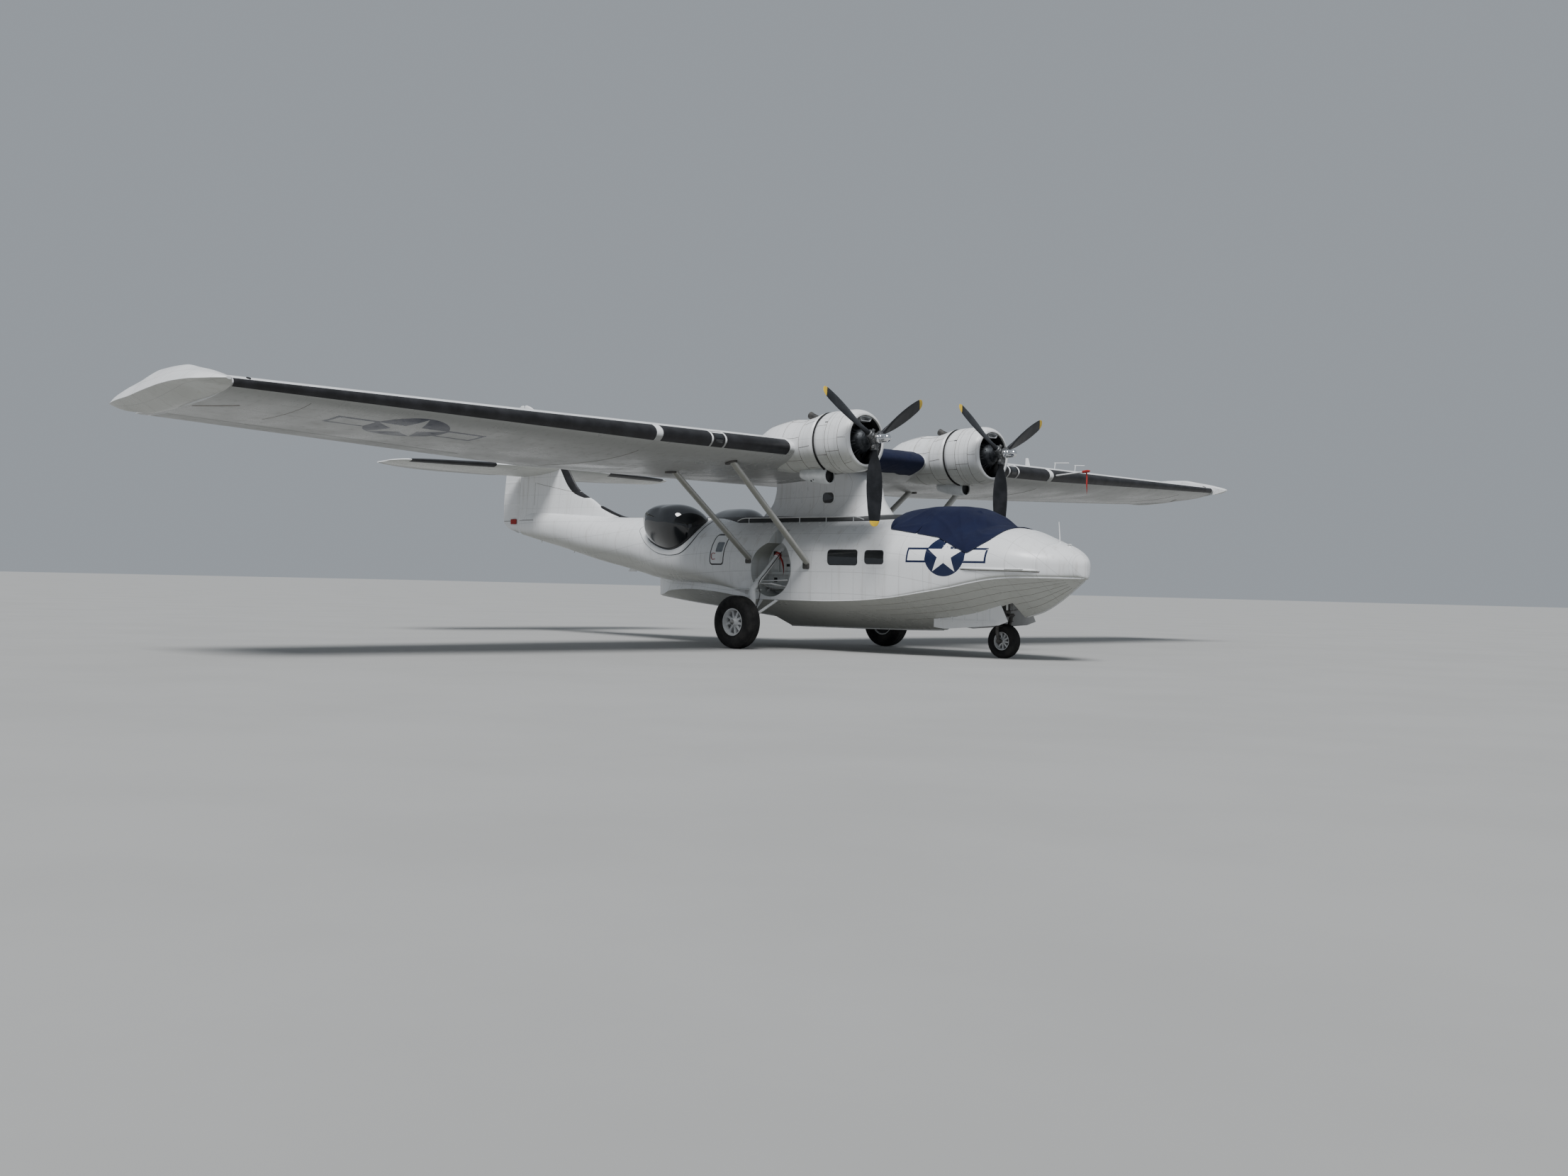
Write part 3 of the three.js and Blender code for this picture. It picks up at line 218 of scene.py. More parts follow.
# %% Smooth curves
def hermite(t, start, leave, end, arrive):
    """A cubic from start to end with the slopes leave and arrive, at shares t of the way."""
    return ((2 * t**3 - 3 * t**2 + 1) * start + (t**3 - 2 * t**2 + t) * leave
            + (3 * t**2 - 2 * t**3) * end + (t**3 - t**2) * arrive)


def run_of(points):
    """Distance along a row of points, at each of them."""
    return np.concatenate([[0], np.cumsum(np.linalg.norm(np.diff(points, axis=0), axis=1))])


def through(rows, at):
    """The columns of rows (the first is the place) at other places, on that cubic curve."""
    rows = np.array(rows, float)
    rows = rows[np.argsort(rows[:, 0])]
    at = np.clip(np.array(at, float), rows[0, 0], rows[-1, 0])
    x, v = rows[:, 0], rows[:, 1:]
    step = np.diff(x)[:, None]
    rise = np.diff(v, axis=0) / step
    before, after = 2 * step[1:] + step[:-1], step[1:] + 2 * step[:-1]
    slope = np.concatenate([rise[:1], np.zeros_like(rise[1:]), rise[-1:]])
    same = rise[:-1] * rise[1:] > 0
    first, second = np.where(same, rise[:-1], 1), np.where(same, rise[1:], 1)
    slope[1:-1] = np.where(same, (before + after) / (before / first + after / second), 0)
    k = np.clip(np.searchsorted(x, at, side="right") - 1, 0, len(x) - 2)
    t = ((at - x[k]) / (x[k + 1] - x[k]))[:, None]
    return hermite(t, v[k], step[k] * slope[k], v[k + 1], step[k] * slope[k + 1])


def bend_through(points, count):
    """A curve through each row of points: its slope at a point is half the step between the neighbours."""
    points = np.array(points, float)
    slope = np.gradient(points, axis=-2)
    t = np.linspace(0, points.shape[-2] - 1, count)
    k = np.minimum(t.astype(int), points.shape[-2] - 2)
    t = (t - k)[:, None]
    return hermite(t, points[..., k, :], slope[..., k, :], points[..., k + 1, :], slope[..., k + 1, :])


# %% Solids of simple form
def turned(name, profile, centre, axis, sides=48, crease=35, tilt=0.0, smooth=0):
    """A body of revolution. The profile holds radius and distance along the axis and closes on itself."""
    profile = np.array(profile, float)
    if smooth:
        run = run_of(profile)
        profile = through(np.column_stack([run, profile]), np.linspace(0, run[-1], smooth))
    angle, radius = round_angles(sides), profile[:, :1]
    ring = points_at(profile[:, 1:2], radius * np.sin(angle), radius * np.cos(angle))
    ring = ring[..., {"x": [0, 1, 2], "y": [1, 0, 2], "z": [1, 2, 0]}[axis]]
    turn = np.array([[math.cos(tilt), 0, math.sin(tilt)], [0, 1, 0], [-math.sin(tilt), 0, math.cos(tilt)]])
    grid = ring @ turn.T + np.array(centre, float)
    grid = np.concatenate([grid, grid[:1]]) if profile[0, 0] > 0 and profile[-1, 0] > 0 else grid
    return surface(name, grid, crease=crease)


def rod(name, path, radius, sides=12, crease=50):
    """A round bar along a path of points, with one radius or one for each point."""
    path = np.array(path, float)
    run = np.gradient(path, axis=0)
    run /= np.linalg.norm(run, axis=1)[:, None]
    first = np.cross(run, np.eye(3)[np.abs(run).max(axis=0).argmin()])
    first /= np.linalg.norm(first, axis=1)[:, None]
    second = np.cross(run, first)
    angle = round_angles(sides)[None, :, None]
    reach = np.broadcast_to(np.array(radius, float), (len(path),))[:, None, None]
    around = np.cos(angle) * first[:, None] + np.sin(angle) * second[:, None]
    return surface(name, path[:, None] + reach * around, ends=CLOSED, crease=crease)


def box(name, low, high, crease=20):
    """A plain block between two corners, for small brackets and for cutting."""
    points = [[x, y, z] for x in (low[0], high[0]) for y in (low[1], high[1]) for z in (low[2], high[2])]
    faces = [[0, 1, 3, 2], [4, 6, 7, 5], [0, 4, 5, 1], [2, 3, 7, 6], [0, 2, 6, 4], [1, 5, 7, 3]]
    return mesh_object(name, points, faces, np.tile([[0, 0], [1, 0], [1, 1], [0, 1]], (6, 1)), crease)


def block(name, low, high, bevel=0.008):
    """A block with rounded edges."""
    piece = box(name, low, high)
    shape = bmesh.new()
    shape.from_mesh(piece.data)
    bmesh.ops.bevel(shape, geom=shape.edges[:], offset=bevel, segments=2, affect="EDGES")
    shape.to_mesh(piece.data)
    shape.free()
    shade(piece.data, 30)
    return piece


def bar(name, start, end, radius, end_radius=None, sides=20):
    """A round bar with slightly rounded ends, from one point to another."""
    start, end = np.array(start, float), np.array(end, float)
    last = radius if end_radius is None else end_radius
    round_off = min(0.3, 0.35 * radius / np.linalg.norm(end - start))
    share = np.array([0, 0.3 * round_off, round_off, 1 - round_off, 1 - 0.3 * round_off, 1])
    size = np.interp(share, (0, 1), (radius, last)) * np.array([0.8, 0.93, 1, 1, 0.93, 0.8])
    return rod(name, start + (end - start) * share[:, None], size, sides, 30)


def corners(side, low, high):
    """Two corners given with y outwards, as the low and high corner on that side."""
    near, far = sorted((side * low[1], side * high[1]))
    return (low[0], near, low[2]), (high[0], far, high[2])


def join(name, pieces):
    """Several meshes of one finish as one piece."""
    shape = bmesh.new()
    for one in pieces:
        shape.from_mesh(one.data)
    mesh = bpy.data.meshes.new(name)
    shape.to_mesh(mesh)
    shape.free()
    for one in pieces:
        bpy.data.objects.remove(one)
    return placed(name, mesh)


def dress(name, pieces, material, body="airframe", stands_for=(), crease=None):
    """Joins meshes of one finish and gives the piece its material and body."""
    whole = join(name, pieces)
    if crease:
        shade(whole.data, crease)
    return wear(whole, material, body, stands_for)


def combine(piece, tools, operation="DIFFERENCE", crease=35):
    """Cuts closed tools out of a closed piece, or keeps what they share, and removes the tools."""
    for tool in tools:
        change = piece.modifiers.new("cut", "BOOLEAN")
        change.operation, change.solver, change.object = operation, "EXACT", tool
    bpy.context.view_layer.update()
    result = bpy.data.meshes.new_from_object(piece.evaluated_get(bpy.context.evaluated_depsgraph_get()))
    piece.modifiers.clear()
    piece.data = result
    shade(result, crease)
    for tool in tools:
        bpy.data.objects.remove(tool)
    return piece


# %% [markdown]
# ## Finishes
# The aircraft is painted aluminium, so some effects come back everywhere: sheets that meet in seams with rows
# of rivets, rain streaks, and painted shade on the faces that look down. Each effect is a group of nodes that
# is built once and placed in every material that needs it. The map of each skin is in metres, so one rivet
# pitch fits all.

# %% Node helpers
def feed(tree, node, sets):
    """Gives inputs a value each, or a link where the value is a socket."""
    for key, value in sets.items():
        if isinstance(value, bpy.types.NodeSocket):
            tree.links.new(value, node.inputs[key])
        else:
            node.inputs[key].default_value = value


def put(tree, kind, sets=None, **properties):
    """A node with its properties and its inputs."""
    made = tree.nodes.new(kind)
    for key, value in properties.items():
        setattr(made, key, value)
    feed(tree, made, sets or {})
    return made


def reckon(tree, operation, *values):
    """One Math node's result."""
    return put(tree, "ShaderNodeMath", dict(enumerate(values)), operation=operation).outputs[0]


def ramp(tree, value, start, end, low=0.0, high=1.0):
    """A value's way from start to end, smoothly turned into low to high and held there."""
    sets = {"Value": value, "From Min": start, "From Max": end, "To Min": low, "To Max": high}
    return put(tree, "ShaderNodeMapRange", sets, interpolation_type="SMOOTHSTEP").outputs["Result"]


def noise(tree, place, scale, detail=3.0, rough=0.5):
    """Soft cloudy values about one half."""
    sets = {"Vector": place, "Scale": scale, "Detail": detail, "Roughness": rough}
    return put(tree, "ShaderNodeTexNoise", sets).outputs["Fac"]


def mixed(tree, share, first, second):
    """A colour between two."""
    return put(tree, "ShaderNodeMix", {0: share, 6: first, 7: second}, data_type="RGBA").outputs[2]


def split(tree, vector):
    """A vector's three parts."""
    return put(tree, "ShaderNodeSeparateXYZ", {"Vector": vector}).outputs


def bump(tree, height, strength, distance, **more):
    """The normal that a height gives; distance is in metres."""
    sets = {"Height": height, "Strength": strength, "Distance": distance, **more}
    return put(tree, "ShaderNodeBump", sets).outputs["Normal"]


def blank(name):
    """A new material, its node tree, its shader and the object's coordinates in metres."""
    made = bpy.data.materials.new(name)
    made.use_nodes = True
    tree = made.node_tree
    return made, tree, tree.nodes["Principled BSDF"], put(tree, "ShaderNodeTexCoord").outputs["Object"]


def group(name, inputs, outputs):
    """An empty node group with its sockets; inputs hold a default, and a tuple is a vector."""
    tree = bpy.data.node_groups.new(name, "ShaderNodeTree")
    for key, value in inputs.items():
        kind = "NodeSocketVector" if isinstance(value, tuple) else "NodeSocketFloat"
        tree.interface.new_socket(name=key, in_out="INPUT", socket_type=kind).default_value = value
    for key in outputs:
        tree.interface.new_socket(name=key, in_out="OUTPUT", socket_type="NodeSocketFloat")
    return tree, tree.nodes.new("NodeGroupInput").outputs, tree.nodes.new("NodeGroupOutput")


# %% Seams and rivets
RIVET = {"aside": 0.013, "radius": 0.0032}


def seams_group():
    """Seams lie at whole multiples of the bay along u and of the row along v; rivets stand beside them."""
    inputs = {"Map": (0.0, 0.0, 0.0), "Bay": 0.6, "Row": 0.4, "Width": 0.006, "Pitch": 0.03}
    tree, given, out = group("seams_and_rivets", inputs, ("Seam", "Rivet", "Height"))
    part = split(tree, given["Map"])
    half_bay, half_row, half_pitch = (reckon(tree, "MULTIPLY", given[key], 0.5)
                                      for key in ("Bay", "Row", "Pitch"))
    across = reckon(tree, "PINGPONG", part["X"], half_bay)
    along = reckon(tree, "PINGPONG", part["Y"], half_row)
    seam = ramp(tree, reckon(tree, "MINIMUM", across, along), given["Width"], 0.0)
    found = []
    for away, run in ((across, part["Y"]), (along, part["X"])):
        aside = reckon(tree, "SUBTRACT", away, RIVET["aside"])
        step = reckon(tree, "PINGPONG", run, half_pitch)
        squares = reckon(tree, "ADD", reckon(tree, "POWER", aside, 2.0), reckon(tree, "POWER", step, 2.0))
        found.append(ramp(tree, reckon(tree, "SQRT", squares), RIVET["radius"], RIVET["radius"] * 0.4))
    rivet = reckon(tree, "MAXIMUM", *found)
    height = reckon(tree, "SUBTRACT", reckon(tree, "MULTIPLY", rivet, 0.6), seam)
    feed(tree, out, {"Seam": seam, "Rivet": rivet, "Height": height})
    return tree


def weather_and_shade_group():
    """Streaks are noise drawn out downwards; patches are broad clouds; the mask of painted shade below reads
    the face.
    """
    tree, given, out = group("weather_and_painted_shade", {"Place": (0.0, 0.0, 0.0), "Fineness": 1.0},
                             ("Streaks", "Patches", "Below"))
    drawn = {"Vector": given["Place"], "Scale": (1.0, 1.0, 0.07)}
    drawn = put(tree, "ShaderNodeMapping", drawn).outputs["Vector"]
    streak = noise(tree, drawn, reckon(tree, "MULTIPLY", given["Fineness"], 7.0), 4.0, 0.6)
    cloud = noise(tree, given["Place"], 0.9, 4.0, 0.55)
    both = reckon(tree, "MULTIPLY", ramp(tree, streak, 0.5, 0.75), ramp(tree, cloud, 0.35, 0.65, 0.3, 1.0))
    facing = split(tree, put(tree, "ShaderNodeNewGeometry").outputs["Normal"])
    # faces that look down are marked for painted shade
    below = ramp(tree, facing["Z"], -0.15, -0.6)
    feed(tree, out, {"Streaks": both, "Patches": ramp(tree, cloud, 0.3, 0.7), "Below": below})
    return tree


SEAMS, WEATHER_AND_SHADE = seams_group(), weather_and_shade_group()

# %% Painted sheet metal
# how much of their colour the underside's painted shade, the seams and the rivets take on
SHADE, SEAM, HEADS = 0.78, 0.45, 0.25
SEAM_TINT, HEAD_TINT = (0.14, 0.135, 0.13), (0.4, 0.39, 0.37)


def painted(name, colour, bay=0.6, row=0.4, roughness=0.24, dirt=0.35, seam=0.006, ribs=0.0,
            grime=(0.36, 0.33, 0.28), under=0.43):
    """Gloss paint over riveted sheets, with painted shade below. Ribs above nought add fabric pulled over
    ribs, that far apart.
    """
    made, tree, shader, place = blank(name)
    flat = put(tree, "ShaderNodeUVMap", uv_map="metres").outputs["UV"]
    sheet = put(tree, "ShaderNodeGroup", node_tree=SEAMS)
    feed(tree, sheet, {"Map": flat, "Bay": bay, "Row": row, "Width": seam})
    air = put(tree, "ShaderNodeGroup", node_tree=WEATHER_AND_SHADE)
    feed(tree, air, {"Place": place})
    sheet, air = sheet.outputs, air.outputs
    # colour of the painted shade on faces that look down: the paint times under, a little less blue
    red, green, blue = (c * under for c in colour)
    base = mixed(tree, noise(tree, place, 0.6, 2.0), (*(c * 0.95 for c in colour), 1), (*colour, 1))
    for mask, amount, tint in ((air["Streaks"], dirt, grime),
                               (air["Below"], SHADE, (red, green, blue * 0.86)),
                               (sheet["Seam"], SEAM, SEAM_TINT), (sheet["Rivet"], HEADS, HEAD_TINT)):
        base = mixed(tree, reckon(tree, "MULTIPLY", mask, amount), base, (*tint, 1))
    rough = reckon(tree, "MULTIPLY_ADD", air["Patches"], 0.14, roughness)
    waves = reckon(tree, "MULTIPLY", noise(tree, place, 2.2, 1.0), 1.2)
    height = reckon(tree, "ADD", sheet["Height"], waves)
    if ribs:
        away = reckon(tree, "PINGPONG", split(tree, flat)["X"], ribs / 2)
        height = reckon(tree, "ADD", height, ramp(tree, away, ribs * 0.16, 0.0, 0.0, 2.5))
    rough = reckon(tree, "MULTIPLY_ADD", air["Streaks"], 0.2, rough)
    feed(tree, shader, {"Base Color": base, "Roughness": rough, "Normal": bump(tree, height, 0.6, 0.0025)})
    return made


# under sets how dark the painted shade on faces that look down is
PAINT_WHITE = (0.78, 0.79, 0.8)
WHITE = painted("white_hull_paint", PAINT_WHITE, 0.61, 0.46)
WING_WHITE = painted("white_wing_paint", PAINT_WHITE, 0.66, 0.62, dirt=0.2, under=0.22)
FABRIC_WHITE = painted("white_doped_fabric", PAINT_WHITE, 9.0, 9.0, dirt=0.25, ribs=0.3, roughness=0.32,
                       under=0.22)
COWL_WHITE = painted("white_cowl_paint", PAINT_WHITE, 0.302, 0.51, dirt=0.45, seam=0.005)
STRUT_GREY = painted("strut_paint", (0.5, 0.5, 0.48), 9.0, 9.0, dirt=0.5, roughness=0.35)
SMALL_WHITE = painted("white_small_parts", PAINT_WHITE, 3.0, 3.0, dirt=0.4, roughness=0.3)
WELL_GREY = painted("well_paint", (0.58, 0.6, 0.6), 0.31, 0.27, roughness=0.42, dirt=0.6, seam=0.004)
BLUE = painted("marking_blue", (0.007, 0.014, 0.05), 9.0, 9.0, dirt=0.1, grime=(0.06, 0.07, 0.1), under=0.6)
MARK_WHITE = painted("marking_white", (0.86, 0.87, 0.88), 9.0, 9.0, dirt=0.2, under=0.18)
DECK = painted("walkway_paint", (0.035, 0.037, 0.04), 9.0, 9.0, roughness=0.6, dirt=0.4,
               grime=(0.2, 0.2, 0.19))


# %% Bare and moulded finishes
def worn(name, colour, second, roughness, metallic=0.0, scale=6.0, spread=0.15, grain=0.0, coat=0.0,
         shine=0.5):
    """A material whose colour wanders between two, and its roughness too, with a fine grain in its bump."""
    made, tree, shader, place = blank(name)
    cloud = ramp(tree, noise(tree, place, scale, 5.0, 0.6), 0.35, 0.7)
    rough = reckon(tree, "MULTIPLY_ADD", noise(tree, place, scale * 2.3, 3.0), spread, roughness - spread / 2)
    feed(tree, shader, {"Base Color": mixed(tree, cloud, (*colour, 1), (*second, 1)), "Roughness": rough,
                        "Metallic": metallic, "Coat Weight": coat, "Specular IOR Level": shine})
    if grain:
        feed(tree, shader, {"Normal": bump(tree, noise(tree, place, grain, 2.0), 0.5, 0.001)})
    return made


BOOT = worn("boot_rubber", (0.009, 0.009, 0.01), (0.022, 0.022, 0.025), 0.42, scale=3.0, grain=60.0,
            shine=0.35)
TYRE = worn("tyre_rubber", (0.011, 0.011, 0.012), (0.028, 0.027, 0.026), 0.7, scale=5.0, grain=120.0,
            shine=0.2)
BLADE_BLACK = worn("blade_black", (0.008, 0.009, 0.011), (0.02, 0.021, 0.025), 0.4, scale=4.0, shine=0.3)
BLADE_YELLOW = worn("tip_yellow", (0.75, 0.5, 0.03), (0.6, 0.4, 0.03), 0.4, scale=9.0)
HUB_GREY = worn("hub_grey", (0.09, 0.095, 0.1), (0.17, 0.17, 0.17), 0.42, 0.6, 12.0)
CAST = worn("engine_grey", (0.022, 0.025, 0.03), (0.055, 0.06, 0.066), 0.5, 0.4, 14.0, grain=90.0)
FIN_METAL = worn("cylinder_fins", (0.07, 0.07, 0.072), (0.16, 0.155, 0.15), 0.45, 0.7, 18.0)
CHROME = worn("polished_dome", (0.78, 0.79, 0.8), (0.7, 0.71, 0.73), 0.1, 1.0, 8.0, 0.06)
STEEL = worn("steel_fittings", (0.22, 0.22, 0.22), (0.36, 0.35, 0.34), 0.4, 0.8, 10.0)
OLEO = worn("oleo_chrome", (0.62, 0.63, 0.65), (0.5, 0.5, 0.52), 0.18, 1.0, 10.0)
SOOT = worn("exhaust_steel", (0.028, 0.028, 0.03), (0.07, 0.066, 0.06), 0.6, 0.2, 9.0, grain=40.0)
FITTING = worn("dark_fittings", (0.05, 0.048, 0.045), (0.11, 0.105, 0.1), 0.55, 0.4, 16.0)
# dark panel lines and seams; it also paints the shadow under the bow strakes
SEAM_AND_SHADOW_LINE = worn("panel_lines_and_painted_shadows", (0.085, 0.072, 0.06), (0.18, 0.155, 0.13), 0.6, 0.0, 14.0)
PANE_GREY = worn("hatch_pane", (0.12, 0.14, 0.16), (0.17, 0.19, 0.21), 0.12, 0.0, 6.0)
DUCT_GREY = worn("duct_grey", (0.58, 0.6, 0.6), (0.68, 0.695, 0.695), 0.4, 0.2, 8.0)
WHEEL_GREY = worn("wheel_castings", (0.62, 0.63, 0.64), (0.47, 0.475, 0.48), 0.45, 0.1, 7.0, grain=70.0)
# near black: on openings and gaps it is painted shade of the space behind them; it also colours brake drums
# and lamps
DARK = worn("dark_opening", (0.006, 0.006, 0.007), (0.012, 0.012, 0.013), 0.7, scale=4.0)
SEAL = worn("seal_rubber", (0.02, 0.02, 0.022), (0.035, 0.035, 0.037), 0.6, scale=9.0)
# opaque near-black glazing: its colour is painted shade of the dark inside behind the glass
GLASS = worn("dark_glazing", (0.006, 0.007, 0.009), (0.012, 0.014, 0.016), 0.045, scale=2.0, spread=0.02,
             coat=0.6)
RED = worn("warning_red", (0.34, 0.014, 0.012), (0.27, 0.02, 0.016), 0.7, scale=11.0)
HOSE = worn("hose_black", (0.02, 0.02, 0.02), (0.04, 0.04, 0.04), 0.5, scale=20.0)


# %% Canvas
WEAVE_PITCH = 0.004


def canvas(name, colour, second):
    """Woven cloth: two crossed waves of threads along the cloth's own map, painted shade where they dip, and
    broad fading.
    """
    made, tree, shader, place = blank(name)
    part = split(tree, put(tree, "ShaderNodeUVMap", uv_map="metres").outputs["UV"])
    threads = [reckon(tree, "SINE", reckon(tree, "MULTIPLY", part[k], 2 * math.pi / WEAVE_PITCH))
               for k in ("X", "Y")]
    weave = reckon(tree, "MULTIPLY", *threads)
    fade = ramp(tree, noise(tree, place, 1.6, 5.0, 0.6), 0.35, 0.7)
    tone = mixed(tree, fade, (*colour, 1), (*second, 1))
    # darker where the threads dip: painted shade in the weave's hollows
    tone = mixed(tree, ramp(tree, weave, 0.2, -0.6, 0.0, 0.5), tone, (*(c * 0.6 for c in colour), 1))
    soft = bump(tree, noise(tree, place, 9.0, 3.0), 0.5, 0.01)
    feed(tree, shader, {"Base Color": tone, "Roughness": reckon(tree, "MULTIPLY_ADD", fade, 0.12, 0.74),
                        "Sheen Weight": 0.06, "Specular IOR Level": 0.15,
                        "Normal": bump(tree, weave, 0.35, 0.0006, Normal=soft)})
    return made


CANVAS = canvas("navy_canvas", (0.004, 0.0075, 0.032), (0.008, 0.013, 0.045))
STITCH = worn("stitched_hem", (0.004, 0.007, 0.03), (0.009, 0.014, 0.045), 0.85, scale=20.0)

# %% [markdown]
# ## Hull
# A flying boat's hull has a V bottom that meets the side in a chine. Two steps break the bottom, so that the
# water lets go of it at take-off. Each section runs straight from the keel to the chine, then in an arc out
# to the beam and in a quarter of an ellipse over the top.

# %% Hull stations
MAIN_STEP, SECOND_STEP, CAP_JOINT, BOOM_END, JOINT_GAP = 1.38, -3.15, 9.24, -8.86, 0.0003
# x, keel z, chine y, chine z, waist y, waist z, beam y, beam z, top z
FORE_ROWS = [
    (NOSE, 1.74, 0.012, 1.76, 0.014, 1.775, 0.02, 1.88, 1.96),
    (9.42, 1.675, 0.045, 1.7, 0.05, 1.715, 0.08, 1.9, 2.01),
    (9.38, 1.64, 0.1, 1.672, 0.108, 1.69, 0.17, 1.915, 2.065),
    (9.3, 1.578, 0.18, 1.67, 0.19, 1.695, 0.29, 1.925, 2.145),
    (CAP_JOINT, 1.531, 0.27, 1.67, 0.28, 1.695, 0.38, 1.93, 2.185),
    (9.05, 1.38, 0.55, 1.672, 0.56, 1.7, 0.62, 1.935, 2.285),
    (8.9, 1.272, 0.69, 1.672, 0.7, 1.698, 0.76, 1.94, 2.35),
    (8.75, 1.17, 0.815, 1.67, 0.822, 1.696, 0.88, 1.94, 2.395),
    (8.4, 0.985, 1.0, 1.66, 1.005, 1.685, 1.07, 1.945, 2.525),
    (8.0, 0.87, 1.15, 1.63, 1.155, 1.655, 1.22, 1.94, 2.66),
    (7.5, 0.74, 1.28, 1.54, 1.285, 1.565, 1.34, 1.93, 2.72),
    (7.0, 0.63, 1.37, 1.43, 1.375, 1.455, 1.43, 1.92, 2.78),
    (6.3, 0.555, 1.46, 1.31, 1.465, 1.335, 1.5, 1.92, 2.87),
    (5.5, 0.52, 1.52, 1.19, 1.525, 1.215, 1.545, 1.92, 2.96),
    (4.5, 0.5, 1.55, 1.11, 1.55, 1.135, 1.56, 1.92, 3.0),
    (3.6, 0.49, 1.55, 1.085, 1.55, 1.11, 1.56, 1.92, 3.0),
    (MAIN_STEP, 0.48, 1.55, 1.085, 1.55, 1.11, 1.56, 1.92, 3.0),
]
AFTER_ROWS = [
    (MAIN_STEP, 0.64, 1.53, 1.12, 1.53, 1.24, 1.56, 1.92, 3.0),
    (0.0, 0.77, 1.24, 1.235, 1.22, 1.39, 1.48, 1.95, 3.0),
    (-1.0, 0.87, 1.0, 1.27, 0.93, 1.43, 1.38, 2.0, 3.0),
    (-2.0, 0.96, 0.72, 1.225, 0.62, 1.46, 1.24, 2.1, 3.005),
    (-2.7, 1.035, 0.33, 1.12, 0.3, 1.5, 1.11, 2.2, 3.015),
    (SECOND_STEP, 1.09, 0.03, 1.1, 0.04, 1.53, 1.02, 2.27, 3.025),
]
# x, bottom z, beam y, beam z, top z
BOOM_ROWS = [
    (SECOND_STEP, 1.53, 1.02, 2.27, 3.025),
    (-4.05, 1.7, 0.84, 2.37, 3.03),
    (-5.45, 1.94, 0.61, 2.53, 3.08),
    (-6.92, 2.245, 0.4, 2.75, 3.18),
    (-8.2, 2.49, 0.23, 2.9, 3.28),
    (BOOM_END, 2.62, 0.12, 2.98, 3.33),
]


# %% Hull sections
def both_sides(half):
    """A half section from the bottom to the top, at port, continued down the starboard side."""
    return np.concatenate([half, half[:, -2:0:-1] * (1, -1, 1)], axis=1)


def hull_grid(rows, at, skin=0.0):
    """Sections at the places x: keel to chine straight, waist to beam an arc, beam to top a quarter ellipse.
    The skin moves them outwards."""
    at = np.array(at, float)
    keel, chine_y, chine_z, waist_y, waist_z, beam_y, beam_z, top = through(rows, at).T[:, :, None]
    chine_y, waist_y, beam_y = chine_y + skin, waist_y + skin, beam_y + skin
    top, keel = top + skin, keel - skin
    flat, low, high = np.linspace(0, 1, 8), np.linspace(0, np.pi / 2, 12)[:-1], np.linspace(0, np.pi / 2, 30)
    out = [flat * chine_y, waist_y + (beam_y - waist_y) * np.sin(low), beam_y * np.cos(high)]
    up = [keel + flat * (chine_z - keel), beam_z - (beam_z - waist_z) * np.cos(low)]
    up.append(beam_z + (top - beam_z) * np.sin(high))
    y, z = np.concatenate(out, axis=1), np.concatenate(up, axis=1)
    return both_sides(points_at(at[:, None], y, z))


def boom_grid(rows, at):
    """Two half ellipses about the widest point."""
    at = np.array(at, float)
    bottom, beam, middle, top = through(rows, at).T[:, :, None]
    t = np.linspace(0, np.pi, 40)
    reach = np.where(np.cos(t) > 0, middle - bottom, top - middle)
    return both_sides(points_at(at[:, None], beam * np.sin(t), middle - reach * np.cos(t)))


# %% Hull skins
cap_at = NOSE - (NOSE - CAP_JOINT) * np.linspace(0, 1, 14) ** 1.8
bow_at = np.concatenate([np.linspace(CAP_JOINT - JOINT_GAP, 8.0, 26), np.linspace(7.9, MAIN_STEP, 66)])
after_at = np.linspace(MAIN_STEP - JOINT_GAP, SECOND_STEP, 44)
boom_at = np.linspace(SECOND_STEP - JOINT_GAP, BOOM_END, 48)
nose_cap = surface("nose_cap_skin", hull_grid(FORE_ROWS, cap_at), ends=CLOSED, start=-0.3, crease=30)
fore_hull = surface("fore_hull_skin", hull_grid(FORE_ROWS, bow_at), ends=CLOSED, crease=25)
after_hull = surface("after_hull_skin", hull_grid(AFTER_ROWS, after_at), ends=CLOSED, start=8, crease=25)
boom = surface("tail_boom_skin", boom_grid(BOOM_ROWS, boom_at), ends=CLOSED, start=12.6)

# %% [markdown]
# Both main wheels fold up against the hull sides, into round wells with a slot above them for the leg. The
# nose wheel folds up into a box in the bow. Solid shapes of those spaces are cut out of the skins.

# %% Wells
WELL = {"x": 2.17, "z": 1.76, "radius": 0.62, "floor": 1.02, "slot_top": 2.64, "slot_half": 0.21}
NOSE_WELL = {"aft": 5.95, "fore": 7.95, "half": 0.45, "top": 1.5}
HATCH = {"aft": 0.12, "fore": 0.62, "low": 1.83, "high": 2.55, "recess": 0.076, "gap": 0.01, "seal": 0.034}


def well_solid(name, side, less=0.0):
    """The round pocket and the slot above it, from the well's floor to outside the hull, smaller by less."""
    radius, half, outer = WELL["radius"] - less, WELL["slot_half"] - less, 2.0
    floor = WELL["floor"] + less
    profile = [(0, side * floor), (radius, side * floor), (radius, side * outer), (0, side * outer)]
    pocket = turned(f"{name}_round", profile, (WELL["x"], 0, WELL["z"]), "y", 64)
    low, high = (WELL["x"] - half, floor, WELL["z"]), (WELL["x"] + half, outer, WELL["slot_top"] - less)
    return [pocket, box(f"{name}_slot", *corners(side, low, high))]


